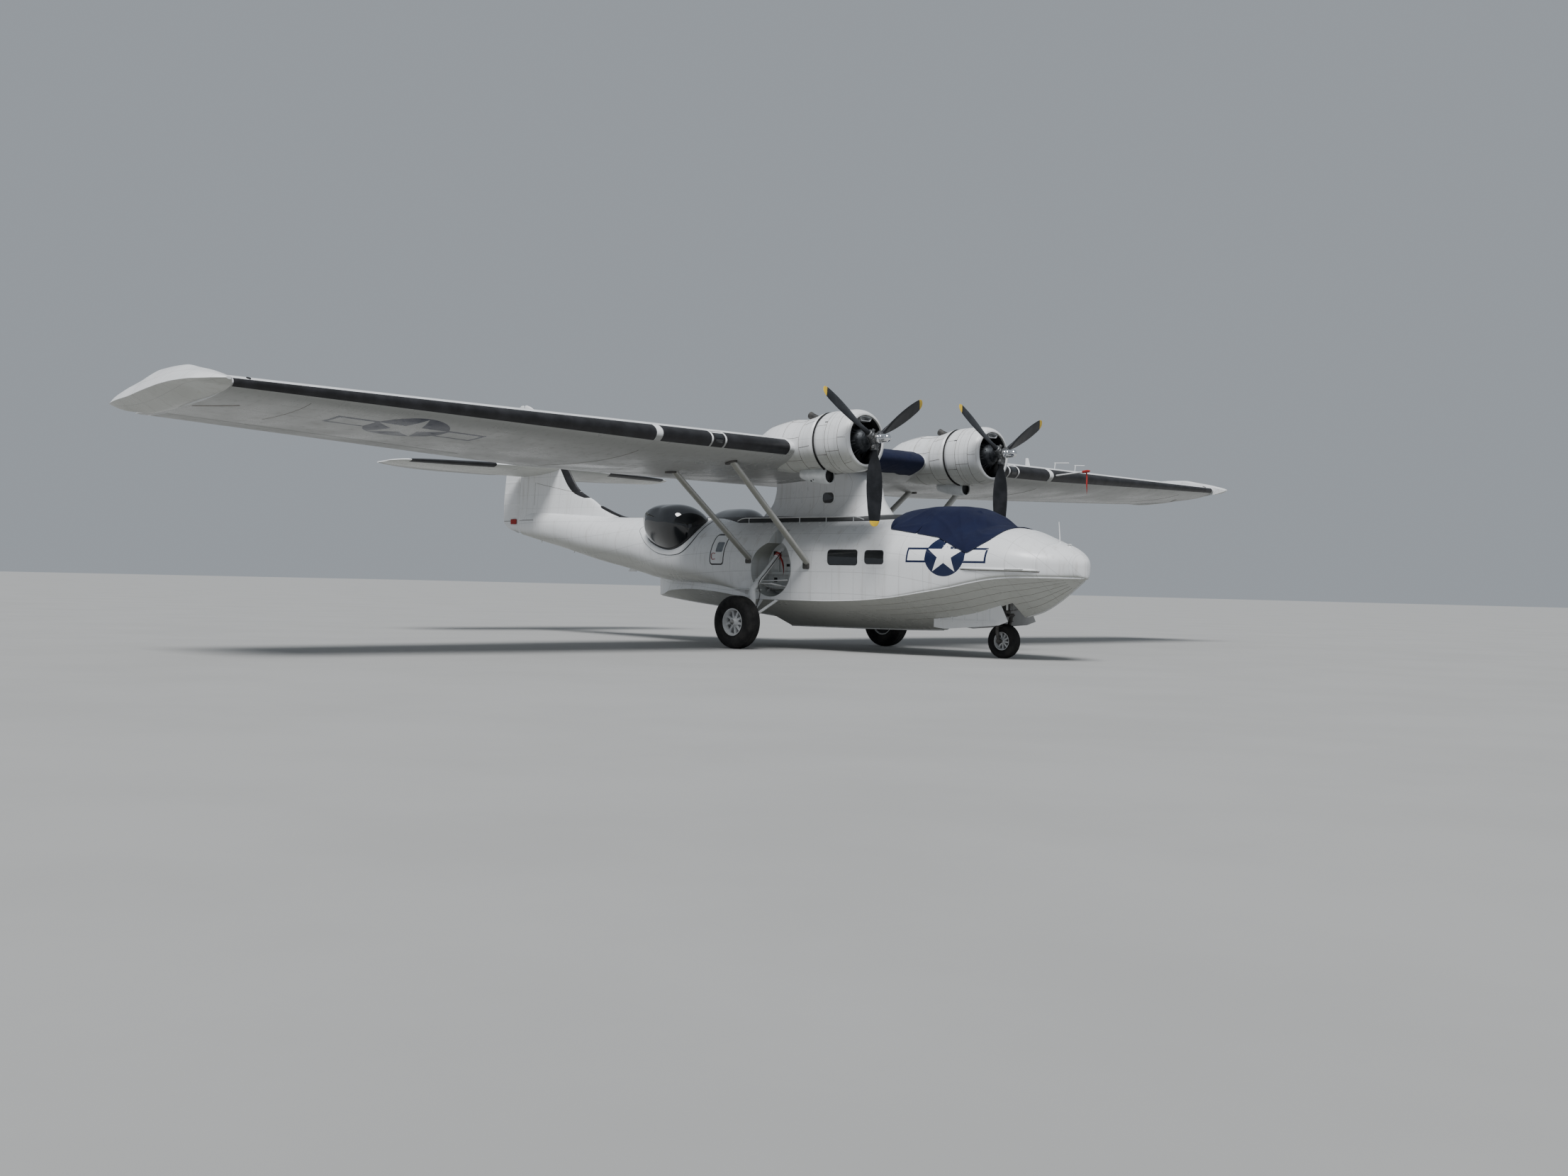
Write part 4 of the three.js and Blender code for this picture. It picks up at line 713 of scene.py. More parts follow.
nose_low = (NOSE_WELL["aft"], -NOSE_WELL["half"], 0.2)
nose_high = (NOSE_WELL["fore"], NOSE_WELL["half"], NOSE_WELL["top"])
spaces = [*well_solid("right", -1), *well_solid("left", 1), box("nose_space", nose_low, nose_high)]
combine(fore_hull, spaces, crease=25)
wear(nose_cap, WHITE, stands_for="nose_cap")
wear(fore_hull, WHITE, stands_for=("hull_bow", "hull_centre"))
wear(after_hull, WHITE, stands_for="hull_after")
wear(boom, WHITE, stands_for="tail_boom")
print("hull", len(fore_hull.data.polygons), "faces")

# %% [markdown]
# ## Wing
# The wing is one long plank on a pylon: a straight middle part, two outer panels that taper, and the floats
# folded out as its tips. The section is a streamlined one, set at six degrees to the ground.

# %% Wing stations and section
# y, leading edge x, leading edge z, chord, thickness as a fraction of the chord
WING_ROWS = [(0, 4.0, 4.28, 4.57, 0.15), (6.6, 3.98, 4.285, 4.55, 0.15), (15.24, 3.56, 4.41, 3.23, 0.12)]
WING_TIP, PANEL_JOINT = 15.24, 6.6
WING_SLOPE, CAMBER, CREST = math.tan(math.radians(6)), 0.008, 0.35
AILERON = {"inner": 8.8, "outer": 15.0, "hinge": 0.8, "cut": 0.775, "end": 0.02, "gap": 0.012}


def half_thickness(f):
    """Half the thickness of a streamlined section of thickness one, at a fraction f of its chord."""
    return 5 * (0.2969 * np.sqrt(f) - 0.126 * f - 0.3516 * f**2 + 0.2843 * f**3 - 0.1036 * f**4)


def wing_at(y):
    """Leading edge x and z, chord and thickness ratio at distances y from the middle."""
    rows = np.array(WING_ROWS)
    return [np.interp(np.abs(y), rows[:, 0], rows[:, k]) for k in (1, 2, 3, 4)]


def wing_point(y, f, above, skin=0.0):
    """Points of the upper (above is 1) or lower (-1) side, moved out by a skin; y carries the side."""
    nose_x, nose_z, chord, ratio = wing_at(y)
    rise = np.where(f > CREST, (f - CREST) / (1 - CREST), 1 - f / CREST)
    turn = np.minimum(1, f * 60)
    height = (CAMBER * (1 - rise**2) + above * ratio * half_thickness(f)) * chord + above * skin * turn
    x = nose_x + skin * (1 - turn) - f * chord
    return points_at(x, y, nose_z - f * chord * WING_SLOPE + height)


def chord_steps(count):
    """Fractions of the chord, closer together at both ends."""
    return (1 - np.cos(np.linspace(0, np.pi, count))) / 2


def wing_grid(y):
    """Sections from the trailing edge over the top to the nose, and back below."""
    f = chord_steps(34)[None]
    y = np.array(y, float)[:, None]
    return np.concatenate([wing_point(y, f[:, ::-1], 1), wing_point(y, f[:, 1:], -1)], axis=1)


# %% Wing skins
wing_centre = surface("wing_centre_skin", wing_grid(np.linspace(-PANEL_JOINT, PANEL_JOINT, 67)), ends=CLOSED)
wear(wing_centre, WING_WHITE, stands_for="wing_centre")


def hinge_of(y):
    """Hinge point x and z of the aileron and the half thickness there."""
    top, low = wing_point(y, AILERON["hinge"], 1), wing_point(y, AILERON["hinge"], -1)
    return top[..., 0], (top[..., 2] + low[..., 2]) / 2, (top[..., 2] - low[..., 2]) / 2


def bay_tool(side):
    """The space of the aileron, open at the trailing edge."""
    y = np.array([AILERON["inner"] - AILERON["end"], AILERON["outer"] + AILERON["end"]])
    nose_x, nose_z, chord, _ = wing_at(y)
    x, z = nose_x - AILERON["cut"] * chord, nose_z - AILERON["cut"] * chord * WING_SLOPE
    outline = ((0, 0.6), (0, -0.6), (-2, -0.6), (-2, 0.6))
    ring = [points_at(x + along, side * y, z + up) for along, up in outline]
    return surface(f"bay_{side}", np.stack(ring, axis=1), ends=CLOSED)


def aileron(name, side):
    """A rounded nose about the hinge line, then the wing's own surface to the trailing edge."""
    y = np.linspace(AILERON["inner"], AILERON["outer"], 40)[:, None]
    x, z, radius = hinge_of(y)
    reach = np.minimum(radius, (AILERON["hinge"] - AILERON["cut"]) * wing_at(y)[2] - AILERON["gap"])
    t = np.linspace(-np.pi / 2, np.pi / 2, 13)[None]
    nose = np.broadcast_arrays(x + reach * np.cos(t), side * y, z + radius * np.sin(t))
    back = np.linspace(AILERON["hinge"], 1, 9)[1:][None]
    upper, lower = wing_point(y, back, 1), wing_point(y, back[:, ::-1], -1)
    flip = (1, side, 1)
    grid = np.concatenate([np.stack(nose, axis=-1), upper * flip, lower * flip], axis=1)
    return surface(name, grid, ends=CLOSED)


for name, side in SIDES.items():
    y = side * np.linspace(PANEL_JOINT + JOINT_GAP, WING_TIP, 60)
    panel = surface(f"wing_panel_{name}", wing_grid(y), ends=CLOSED, start=PANEL_JOINT)
    combine(panel, [bay_tool(side)])
    wear(panel, WING_WHITE, stands_for=f"wing_{name}")
    wear(aileron(f"aileron_skin_{name}", side), FABRIC_WHITE, f"aileron_{name}", f"aileron_{name}")

# %% [markdown]
# ### Floats
# In flight each float folds outwards and becomes the wing tip. Its keel then points outboard.

# %% Float stations
# x, inner y, its low z and high z, shoulder y and z, keel y and z, chine y and z
FLOAT_ROWS = [
    (0.16, 15.56, 4.2, 4.225, 15.585, 4.228, 15.62, 4.212, 15.585, 4.197),
    (0.34, 15.47, 4.14, 4.335, 15.53, 4.35, 15.665, 4.226, 15.53, 4.13),
    (0.62, 15.37, 4.085, 4.44, 15.46, 4.462, 15.705, 4.245, 15.47, 4.072),
    (1.15, 15.24, 4.05, 4.58, 15.4, 4.615, 15.745, 4.275, 15.34, 4.032),
    (1.61, 15.24, 4.065, 4.675, 15.4, 4.715, 15.79, 4.315, 15.34, 4.055),
    (2.1, 15.24, 4.12, 4.69, 15.42, 4.728, 15.83, 4.355, 15.41, 4.11),
    (2.5, 15.24, 4.165, 4.68, 15.44, 4.722, 15.85, 4.385, 15.49, 4.205),
    (2.97, 15.24, 4.205, 4.61, 15.45, 4.648, 15.85, 4.405, 15.6, 4.35),
    (3.39, 15.24, 4.265, 4.53, 15.44, 4.572, 15.84, 4.405, 15.64, 4.345),
    (3.6, 15.26, 4.305, 4.485, 15.43, 4.52, 15.72, 4.41, 15.6, 4.34),
    (3.78, 15.3, 4.355, 4.44, 15.42, 4.468, 15.58, 4.42, 15.5, 4.375),
    (3.88, 15.37, 4.405, 4.43, 15.41, 4.44, 15.46, 4.425, 15.42, 4.402),
]
KEEL_OUT = 15.85


def float_grid(side, at):
    """Sections: a flat inner side, a round shoulder over to the keel, a bottom between keel and chine."""
    inner, low, high, crown_y, crown_z, keel_y, keel_z, chine_y, chine_z = through(FLOAT_ROWS, at).T
    bulge = 0.03 * np.clip((keel_y - inner) / 0.4, 0, 1)

    def point(y, z):
        return points_at(at, side * np.minimum(y, KEEL_OUT), z)

    over = [point(inner, high), point((inner + crown_y) / 2, (high + 2 * crown_z) / 3),
            point(crown_y, crown_z)]
    over.append(point(crown_y * 0.6 + keel_y * 0.4 + bulge, crown_z * 0.6 + keel_z * 0.4 + bulge))
    over.append(point(crown_y * 0.2 + keel_y * 0.8 + bulge / 2, crown_z * 0.2 + keel_z * 0.8 + bulge / 2))
    over.append(point(keel_y, keel_z))
    below = [point(keel_y - 0.004, keel_z - 0.008), point((keel_y + chine_y) / 2, (keel_z + chine_z) / 2)]
    below.append(point(chine_y, chine_z))
    inside = [point(chine_y, chine_z), point((inner + chine_y) / 2, (low + chine_z) / 2 - bulge / 4)]
    inside.append(point(inner, low))
    parts = [bend_through(np.stack(over, axis=1), 26), bend_through(np.stack(below, axis=1), 9)]
    parts.append(bend_through(np.stack(inside, axis=1), 8)[:, 1:])
    return np.concatenate(parts, axis=1)


for name, side in SIDES.items():
    grid = float_grid(side, np.linspace(FLOAT_ROWS[0][0], FLOAT_ROWS[-1][0], 60))
    wear(surface(f"float_skin_{name}", grid, ends=CLOSED, crease=28), WHITE, stands_for=f"float_{name}")

# %% [markdown]
# ## Pylon and struts
# The pylon is a streamlined tower on the hull's back. It widens at both ends into the hull and the wing. Four
# streamlined struts brace the wing from the hull's sides.

# %% Pylon
# z, leading edge x, trailing edge x, half width
PYLON_ROWS = [
    (2.7, 4.56, -0.05, 0.72),
    (3.04, 4.27, 0.42, 0.52),
    (3.35, 4.04, 0.72, 0.465),
    (3.7, 3.91, 0.8, 0.46),
    (3.86, 3.76, 0.72, 0.475),
    (4.01, 3.48, 0.56, 0.52),
    (4.15, 3.38, 0.4, 0.6),
]


def pylon_grid(z):
    """Streamlined plan shapes, one for each height: the port side back, then the starboard side forwards."""
    f = chord_steps(30)[None]
    nose, tail, half = through(PYLON_ROWS, z).T[:, :, None]
    port = points_at(nose + (tail - nose) * f, half * 2 * half_thickness(f), z[:, None])
    return np.concatenate([port, port[:, -2:0:-1] * (1, -1, 1)], axis=1)


pylon = surface("pylon_skin", pylon_grid(np.linspace(2.9, 4.15, 30)), ends=CLOSED)
wear(pylon, WHITE, stands_for="pylon")

# %% Struts
# name, foot x, y, z, top x, y, z
STRUT_ROWS = [("front", 3.26, 1.5, 1.85, 3.29, 3.95, 3.96), ("rear", 1.47, 1.5, 1.95, 1.54, 4.04, 3.85)]
STRUT = {"half_chord": 0.088, "half_thick": 0.052}


def strut(name, foot, top, side):
    """A streamlined bar: an egg-shaped section, blunt in front, carried from the foot to the top."""
    foot, top = np.array(foot) * (1, side, 1), np.array(top) * (1, side, 1)
    run = (top - foot) / np.linalg.norm(top - foot)
    across = np.cross(run, (1, 0, 0))
    across /= np.linalg.norm(across)
    t = round_angles(24)
    egg = np.sin(t) * (1 + 0.25 * np.cos(t))
    section = np.outer(np.cos(t) * STRUT["half_chord"], (1, 0, 0))
    section += np.outer(egg * STRUT["half_thick"], across)
    path = foot + (top - foot) * np.linspace(-0.02, 1.03, 16)[:, None]
    return surface(name, path[:, None] + section[None], ends=CLOSED)


for name, side in SIDES.items():
    for place, *ends in STRUT_ROWS:
        piece = strut(f"wing_strut_{place}_{name}", ends[:3], ends[3:], side)
        wear(piece, STRUT_GREY, stands_for=f"strut_{place}_{name}")

# %% [markdown]
# ## Powerplants
# Each engine sits in a round cowl whose lip curls inwards. Behind it a nacelle fairs into the wing, an oil
# cooler duct hangs below and an exhaust horn stands above.

# %% Cowls and nacelles
PROPELLER = {"x": 5.64, "y": 2.165, "z": 4.435, "radius": 1.79, "tilt": -0.028}
COWL_REAR = -1.14
# radius, distance along the thrust line from the propeller
COWL_PROFILE = [
    (0.6, -1.14), (0.642, -1.05), (0.652, -0.76), (0.648, -0.48), (0.625, -0.33), (0.59, -0.25),
    (0.555, -0.212), (0.525, -0.205), (0.505, -0.225), (0.498, -0.29), (0.505, -0.4), (0.56, -0.62),
    (0.59, -0.9), (0.575, -1.14), (0.6, -1.14),
]
# x, half width, bottom z, top z
NACELLE_ROWS = [
    (4.42, 0.645, 3.8, 5.035), (4.25, 0.64, 3.8, 4.985), (4.08, 0.636, 3.8, 4.945),
    (3.9, 0.63, 3.8, 4.92), (3.72, 0.612, 3.803, 4.925), (3.55, 0.59, 3.806, 4.935),
    (3.4, 0.575, 3.81, 4.92), (2.9, 0.45, 3.88, 4.83), (2.6, 0.33, 3.95, 4.7),
    (2.4, 0.27, 4.0, 4.6), (1.9, 0.06, 4.15, 4.45),
]
OIL_COOLER = {"x": 4.555, "y": 2.31, "z": 3.705, "radius": 0.176, "bore": 0.142, "depth": 0.42}
EXHAUST = {"x": 3.95, "y": 2.19, "z": 4.96}


def thrust(points, side):
    """Points given along the thrust line, moved to the aircraft's frame."""
    c, s = math.cos(PROPELLER["tilt"]), math.sin(PROPELLER["tilt"])
    turn = np.array([[c, 0, s], [0, 1, 0], [-s, 0, c]])
    return np.array(points, float) @ turn.T + (PROPELLER["x"], side * PROPELLER["y"], PROPELLER["z"])


def on_thrust(name, profile, side, sides=64, smooth=0, crease=35):
    """A body of revolution about the thrust line."""
    centre = (PROPELLER["x"], side * PROPELLER["y"], PROPELLER["z"])
    return turned(name, profile, centre, "x", sides, crease, PROPELLER["tilt"], smooth)


def nacelle(name, side):
    """Upright ellipses along x; the first ring is the cowl's rear opening."""
    at = np.linspace(NACELLE_ROWS[0][0], NACELLE_ROWS[-1][0], 34)
    half, bottom, top = through(NACELLE_ROWS, at).T[:, :, None]
    t = round_angles(56)
    y, z = side * PROPELLER["y"] + half * np.sin(t), (top + bottom) / 2 + (top - bottom) / 2 * np.cos(t)
    rings = points_at(at[:, None], y, z)
    rear = COWL_PROFILE[0][0]
    mouth = thrust(points_at(COWL_REAR, rear * np.sin(t), rear * np.cos(t)), side)
    return surface(name, np.concatenate([mouth[None], rings]), ends=CLOSED)


def scoop(name, side):
    """A round duct that narrows and rises to the rear; its wall curls into the open bore in front."""
    c = OIL_COOLER
    radius = np.array([c["bore"], c["bore"], 0.148, 0.157, 0.166, c["radius"], 0.172, 0.15, 0.11])
    back = np.array([c["depth"], 0.02, 0.002, 0.0, 0.02, 0.15, 0.35, 0.56, 0.76])
    run = bend_through(np.stack([radius, back], axis=-1), 40)
    t = round_angles(36)
    rise = 0.06 * (run[:, 1] / 0.76) * (run[:, 1] > 0)
    y = side * c["y"] + run[:, :1] * np.sin(t)
    z = c["z"] + rise[:, None] + run[:, :1] * np.cos(t)
    return surface(name, points_at(c["x"] - run[:, 1:2], y, z), ends=CLOSED)


def horn(name, side):
    """The exhaust: a pipe that leaves the nacelle's top, bends aft and flares to an open mouth."""
    root, mouth = np.array((0.3, 0, -0.09)), np.array((-0.09, 0, 0.055))
    run = (mouth - root) / np.linalg.norm(mouth - root)
    across, up = np.array((0, 1.0, 0)), np.cross(run, (0, 1.0, 0))
    along = np.array([-0.02, 0.1, 0.2, 0.32, 0.4, 0.4162, 0.4162, 0.4, 0.3, 0.2])
    radius = np.array([0.056, 0.058, 0.06, 0.068, 0.077, 0.078, 0.074, 0.071, 0.062, 0.055])
    t = round_angles(28)
    centre = np.array((EXHAUST["x"], side * EXHAUST["y"], EXHAUST["z"])) + root + along[:, None] * run
    ring = radius[:, None, None] * (np.cos(t)[:, None] * across + np.sin(t)[:, None] * up)
    return surface(name, centre[:, None] + ring, ends=CLOSED)


for name, side in SIDES.items():
    cowl = on_thrust(f"cowl_skin_{name}", COWL_PROFILE, side, 72, smooth=60)
    wear(cowl, COWL_WHITE, stands_for=f"cowl_{name}")
    wear(nacelle(f"nacelle_skin_{name}", side), COWL_WHITE, stands_for=f"nacelle_{name}")
    wear(scoop(f"oil_cooler_duct_{name}", side), DUCT_GREY, stands_for=f"oil_cooler_{name}")
    wear(horn(f"exhaust_horn_{name}", side), SOOT, stands_for=f"exhaust_{name}")

# %% [markdown]
# ## Tail

# %% Fin, rudder, tailplanes and elevators
# z, leading edge x, half thickness
FIN_ROWS = [
    (3.05, -4.75, 0.17), (3.14, -5.09, 0.168), (3.33, -5.53, 0.156), (3.52, -5.87, 0.144),
    (3.62, -6.12, 0.138), (3.78, -6.43, 0.13), (4.4, -6.97, 0.115), (5.1, -7.59, 0.09), (5.6, -8.03, 0.07),
    (5.93, -8.37, 0.05), (6.1, -8.64, 0.035), (6.15, -8.8, 0.02),
]
FIN_REAR, RUDDER_HINGE, ELEVATOR_HINGE, TAILPLANE_REAR = -8.86, -8.96, -8.8, -8.7
# z, trailing edge x, nose radius
RUDDER_ROWS = [
    (2.665, -9.06, 0.04), (2.81, -9.52, 0.07), (2.97, -9.72, 0.08), (3.3, -9.735, 0.085), (4.3, -9.64, 0.08),
    (5.2, -9.52, 0.068), (5.8, -9.35, 0.05), (6.06, -9.17, 0.035), (6.15, -9.04, 0.022),
]
# y, leading edge x, half thickness
TAILPLANE_ROWS = [
    (0.0, -7.2, 0.13), (1.5, -7.44, 0.125), (3.0, -7.66, 0.105), (4.1, -7.85, 0.075), (4.5, -8.03, 0.045),
    (4.65, -8.33, 0.018),
]
# y, trailing edge x, nose radius
ELEVATOR_ROWS = [
    (0.17, -8.96, 0.078), (0.32, -9.26, 0.078), (0.6, -9.6, 0.077), (2.3, -9.64, 0.072), (3.3, -9.48, 0.06),
    (4.1, -9.18, 0.042), (4.5, -8.96, 0.028), (4.65, -8.86, 0.018),
]


def tail_thickness(f):
    """Half the thickness of a tail section as a part of its greatest: round in front, thinner to the rear."""
    full = np.minimum(1, 1.9 * np.sqrt(f) - 0.9 * f)
    return full * np.where(f > 0.6, 1 - 0.35 * (f - 0.6), 1)


def tailplane_z(x):
    """Height of the tailplane's middle plane; it rises to the front."""
    return 4.39 + (x + 7.2) * 0.064


def even_ends(low, high, count):
    """Places between two ends, closer together at both."""
    return low + (high - low) * chord_steps(count)


def tail_faces(rows, rear, at, place, skin=0.0, depth=None):
    """Both faces of tail sections from the leading edge back, over the whole chord or a depth in metres."""
    nose, half = through(rows, at).T[:, :, None]
    f = (np.linspace(0, 1, 18) ** 1.8)[None]
    if depth is not None:
        f = np.linspace(0, 1, 10)[None] ** 2 * depth / (nose - rear)
    turn = np.minimum(1, f * 40)
    x, deep = nose + (rear - nose) * f + skin * (1 - turn), half * tail_thickness(f) + skin * turn
    return place(x, at[:, None], deep), place(x, at[:, None], -deep)


def in_fin(x, z, out):
    """A place on the fin, off its middle plane."""
    return points_at(x, out, z)


def in_tailplane(side):
    """Places on a tailplane, off its middle plane."""
    def place(x, y, up):
        return points_at(x, side * y, tailplane_z(x) + up)
    return place


def closed_section(faces):
    """Both faces as one ring, from the leading edge to the rear and back."""
    one, other = faces
    return np.concatenate([one, other[:, ::-1][:, :-1]], axis=1)


def flap_section(hinge, tail, radius):
    """Distances across and along a control surface: a half round nose about the hinge, then a thin wedge."""
    t = np.linspace(-np.pi / 2, np.pi / 2, 13)[None]
    nose = (hinge + radius * np.cos(t), radius * np.sin(t))
    back = np.linspace(0, 1, 9)[1:][None]
    x = hinge + (tail - hinge) * back
    deep = radius * (1 - back) ** 1.08 + 0.005 * back
    return (np.concatenate([nose[0], x, x[:, ::-1]], axis=1),
            np.concatenate([nose[1], deep, -deep[:, ::-1]], axis=1))


fin_z = np.concatenate([np.linspace(3.0, 3.6, 14), np.linspace(3.65, 5.9, 34), np.linspace(5.93, 6.15, 14)])
fin = surface("fin_skin", closed_section(tail_faces(FIN_ROWS, FIN_REAR, fin_z, in_fin)), ends=CLOSED)
wear(fin, WHITE, stands_for="fin")
rudder_z = even_ends(RUDDER_ROWS[0][0], RUDDER_ROWS[-1][0], 60)
rudder_tail, rudder_nose = through(RUDDER_ROWS, rudder_z).T[:, :, None]
rudder_x, rudder_y = flap_section(RUDDER_HINGE, np.minimum(rudder_tail, RUDDER_HINGE - 0.02), rudder_nose)
rudder_grid = points_at(rudder_x, rudder_y, rudder_z[:, None])
wear(surface("rudder_skin", rudder_grid, ends=CLOSED), FABRIC_WHITE, "rudder", "rudder")
plane_y = np.concatenate([np.linspace(0.04, 4.1, 30), 4.1 + 0.55 * np.linspace(0, 1, 14)[1:] ** 0.6])
lift_y = [0.17 + 0.5 * np.linspace(0, 1, 14) ** 1.6, np.linspace(0.72, 4.1, 26), np.linspace(4.15, 4.65, 14)]
lift_y = np.concatenate(lift_y)
for name, side in SIDES.items():
    faces = tail_faces(TAILPLANE_ROWS, TAILPLANE_REAR, plane_y, in_tailplane(side))
    tailplane = surface(f"tailplane_skin_{name}", closed_section(faces), ends=CLOSED)
    wear(tailplane, WHITE, stands_for=f"tailplane_{name}")
    lift_tail, lift_nose = through(ELEVATOR_ROWS, lift_y).T[:, :, None]
    lift_x, lift_z = flap_section(ELEVATOR_HINGE, lift_tail, lift_nose)
    middle = tailplane_z(np.minimum(lift_x, ELEVATOR_HINGE))
    lift_grid = points_at(lift_x, side * lift_y[:, None], middle + lift_z)
    elevator = surface(f"elevator_skin_{name}", lift_grid, ends=CLOSED)
    wear(elevator, FABRIC_WHITE, "elevators", f"elevator_{name}")

# %% [markdown]
# ## Pieces that follow a surface
# Markings, windows and seals are thin plaques that follow the skin below them. An outline is drawn flat, and
# a function for the surface says where each of its points lies and how far it stands off. Rings that shrink
# towards the middle fill the outline, and the same rings a little deeper close the plaque at the back.

# %% Places on the surfaces
def side_y(rows, x, z):
    """Distance of the hull's side from the middle plane at (x, z)."""
    shape = np.shape(x)
    keel, _, _, waist_y, waist_z, beam_y, beam_z, top = through(rows, np.ravel(x)).T
    z = np.ravel(z)
    above = np.sqrt(np.clip(1 - ((z - beam_z) / (top - beam_z)) ** 2, 0, 1))
    below = np.sqrt(np.clip(1 - ((beam_z - z) / (beam_z - waist_z)) ** 2, 0, 1))
    return np.where(z > beam_z, beam_y * above, waist_y + (beam_y - waist_y) * below).reshape(shape)


def on_hull(rows, side):
    """Places (x, z) on a hull side."""
    def place(points, lift):
        x, z = points[..., 0], points[..., 1]
        return points_at(x, side * (side_y(rows, x, z) + lift), z)
    return place


def on_wing(above):
    """Places (x, y) on the wing's upper or lower side."""
    def place(points, lift):
        x, y = points[..., 0], points[..., 1]
        nose_x, _, chord, _ = wing_at(y)
        found = wing_point(y, (nose_x - x) / chord, above)
        return found + np.array((0, 0, above * lift))
    return place


def on_pylon(side):
    """Places (x, z) on the pylon's side."""
    def place(points, lift):
        x, z = points[..., 0], points[..., 1]
        nose, tail, half = [v.reshape(x.shape) for v in through(PYLON_ROWS, np.ravel(z)).T]
        f = np.clip((nose - x) / (nose - tail), 0, 1)
        return points_at(x, side * (half * 2 * half_thickness(f) + lift), z)
    return place


# %% Flat outlines
def refined(outline, step):
    """A closed outline with points no further apart than about a step; its corners stay."""
    outline = np.array(outline, float)
    after = np.roll(outline, -1, axis=0)
    counts = np.maximum(1, np.ceil(np.linalg.norm(after - outline, axis=1) / step)).astype(int)
    index = np.repeat(np.arange(len(outline)), counts)
    share = (np.arange(len(index)) - np.repeat(np.cumsum(counts) - counts, counts)) / counts[index]
    return outline[index] + (after - outline)[index] * share[:, None]


def rounded(low, high, radius, step=0.08, shear=0.0):
    """A rectangle with round corners; the shear pushes each point along x by its height times that much."""
    t = np.linspace(0, np.pi / 2, 7)
    arcs = []
    for k, (a, b) in enumerate(((high[0], high[1]), (low[0], high[1]), (low[0], low[1]), (high[0], low[1]))):
        centre = np.array((a, b)) - radius * np.array(((1, 1), (-1, 1), (-1, -1), (1, -1))[k])
        turn = t + k * np.pi / 2
        arcs.append(centre + radius * np.stack([np.cos(turn), np.sin(turn)], axis=1))
    outline = refined(np.concatenate(arcs), step)
    outline[:, 0] += shear * (outline[:, 1] - (low[1] + high[1]) / 2)
    return outline


def disc(centre, radius, count=64):
    """A circle, or an ellipse when the radius is a pair."""
    t = round_angles(count)
    return np.array(centre) + np.stack([np.cos(t), np.sin(t)], axis=1) * np.array(radius)


def star(centre, radius, turn):
    """Five points: the inner corners lie at 0.382 of the radius. The first tip points along the turn."""
    t = np.arange(10) * np.pi / 5 + turn
    reach = np.where(np.arange(10) % 2 == 0, 1.0, 0.382)
    points = np.stack([np.cos(t), np.sin(t)], axis=1) * reach[:, None] * np.array(radius)
    return refined(np.array(centre) + points, 0.05)


# %% Plaques and rims
def plaque(name, outline, place, lift=0.002, depth=0.005, rings=6):
    """A thin closed plate on a surface, inside an outline."""
    centre = outline.mean(axis=0)
    scale = np.concatenate([np.linspace(0, 1, rings), np.linspace(1, 0, rings)])[:, None, None]
    flat = centre + (outline - centre) * scale
    lifts = np.repeat((lift, lift - depth), rings)
    grid = np.stack([place(row, up) for row, up in zip(flat, lifts)])
    return surface(name, grid)


def rim(name, outer, inner, place, lift=0.004, depth=0.008):
    """A thin closed band between two outlines with the same count of points."""
    rows = [place(inner, lift - depth), place(inner, lift), place((inner + outer) / 2, lift * 1.15)]
    rows += [place(outer, lift), place(outer, lift - depth), place(inner, lift - depth)]
    return surface(name, np.stack(rows))


def shell(name, outer, inner):
    """A closed strip between an outer and an inner grid."""
    grid = np.concatenate([outer, inner[:, ::-1]], axis=1)
    return surface(name, grid, ends=CLOSED)


# %% [markdown]
# ## Markings
# The marking on the bow is the traditional national one: a white star on a blue disc, with a white bar on
# each side in a blue border. It is on both sides of the bow, below the starboard wing and above the port
# wing.

# %% National markings
def national_marking(name, centre, size, place, turn, along):
    """Disc, bordered bars and star. Bars are sized in disc radii; along is the axis they lie on, 0 or 1."""
    size, centre = np.array(size, float), np.array(centre, float)

    def stripe(start, end, half, sign):
        outline = np.array([(start, -half), (end, -half), (end, half), (start, half)]) * (sign, 1)
        outline = outline[:, ::-1] if along else outline
        return refined(outline * size + centre, 0.06)

    blue = [plaque("disc", disc(centre, size), place, 0.0014)]
    white = [plaque("star", star(centre, size * 0.955, turn), place, 0.0026, 0.006)]
    for sign in (-1, 1):
        blue.append(plaque("border", stripe(0.92, 2.0, 0.36, sign), place, 0.001))
        white.append(plaque("bar", stripe(1.0, 1.91, 0.26, sign), place, 0.0024, 0.006))
    dress(f"{name}_blue", blue, BLUE)
    dress(f"{name}_white", white, MARK_WHITE)


for name, side in SIDES.items():
    national_marking(f"bow_marking_{name}", (6.925, 2.09), (0.4625, 0.43), on_hull(FORE_ROWS, side),
                     np.pi / 2, 0)
national_marking("under_wing_marking", (2.67, -11.39), (0.76, 0.76), on_wing(-1), 0.0, 1)
national_marking("over_wing_marking", (2.67, 11.39), (0.76, 0.76), on_wing(1), 0.0, 1)

# %% [markdown]
# ## Rubber boots
# Rubber boots that can be blown up against ice cover the leading edges. White tape outlines their ends and
# the landing light in each wing.

# %% Wing boots
# y, upper edge and lower edge as fractions of the chord
BOOT_ROWS = [(2.9, 0.036, 0.024), (6.6, 0.034, 0.021), (15.24, 0.0125, 0.0155)]
BOOT_BANDS = [(2.93, 6.46), (6.63, 15.16)]
TAPE_BANDS = [(6.47, 6.62), (4.755, 4.8), (5.125, 5.17)]


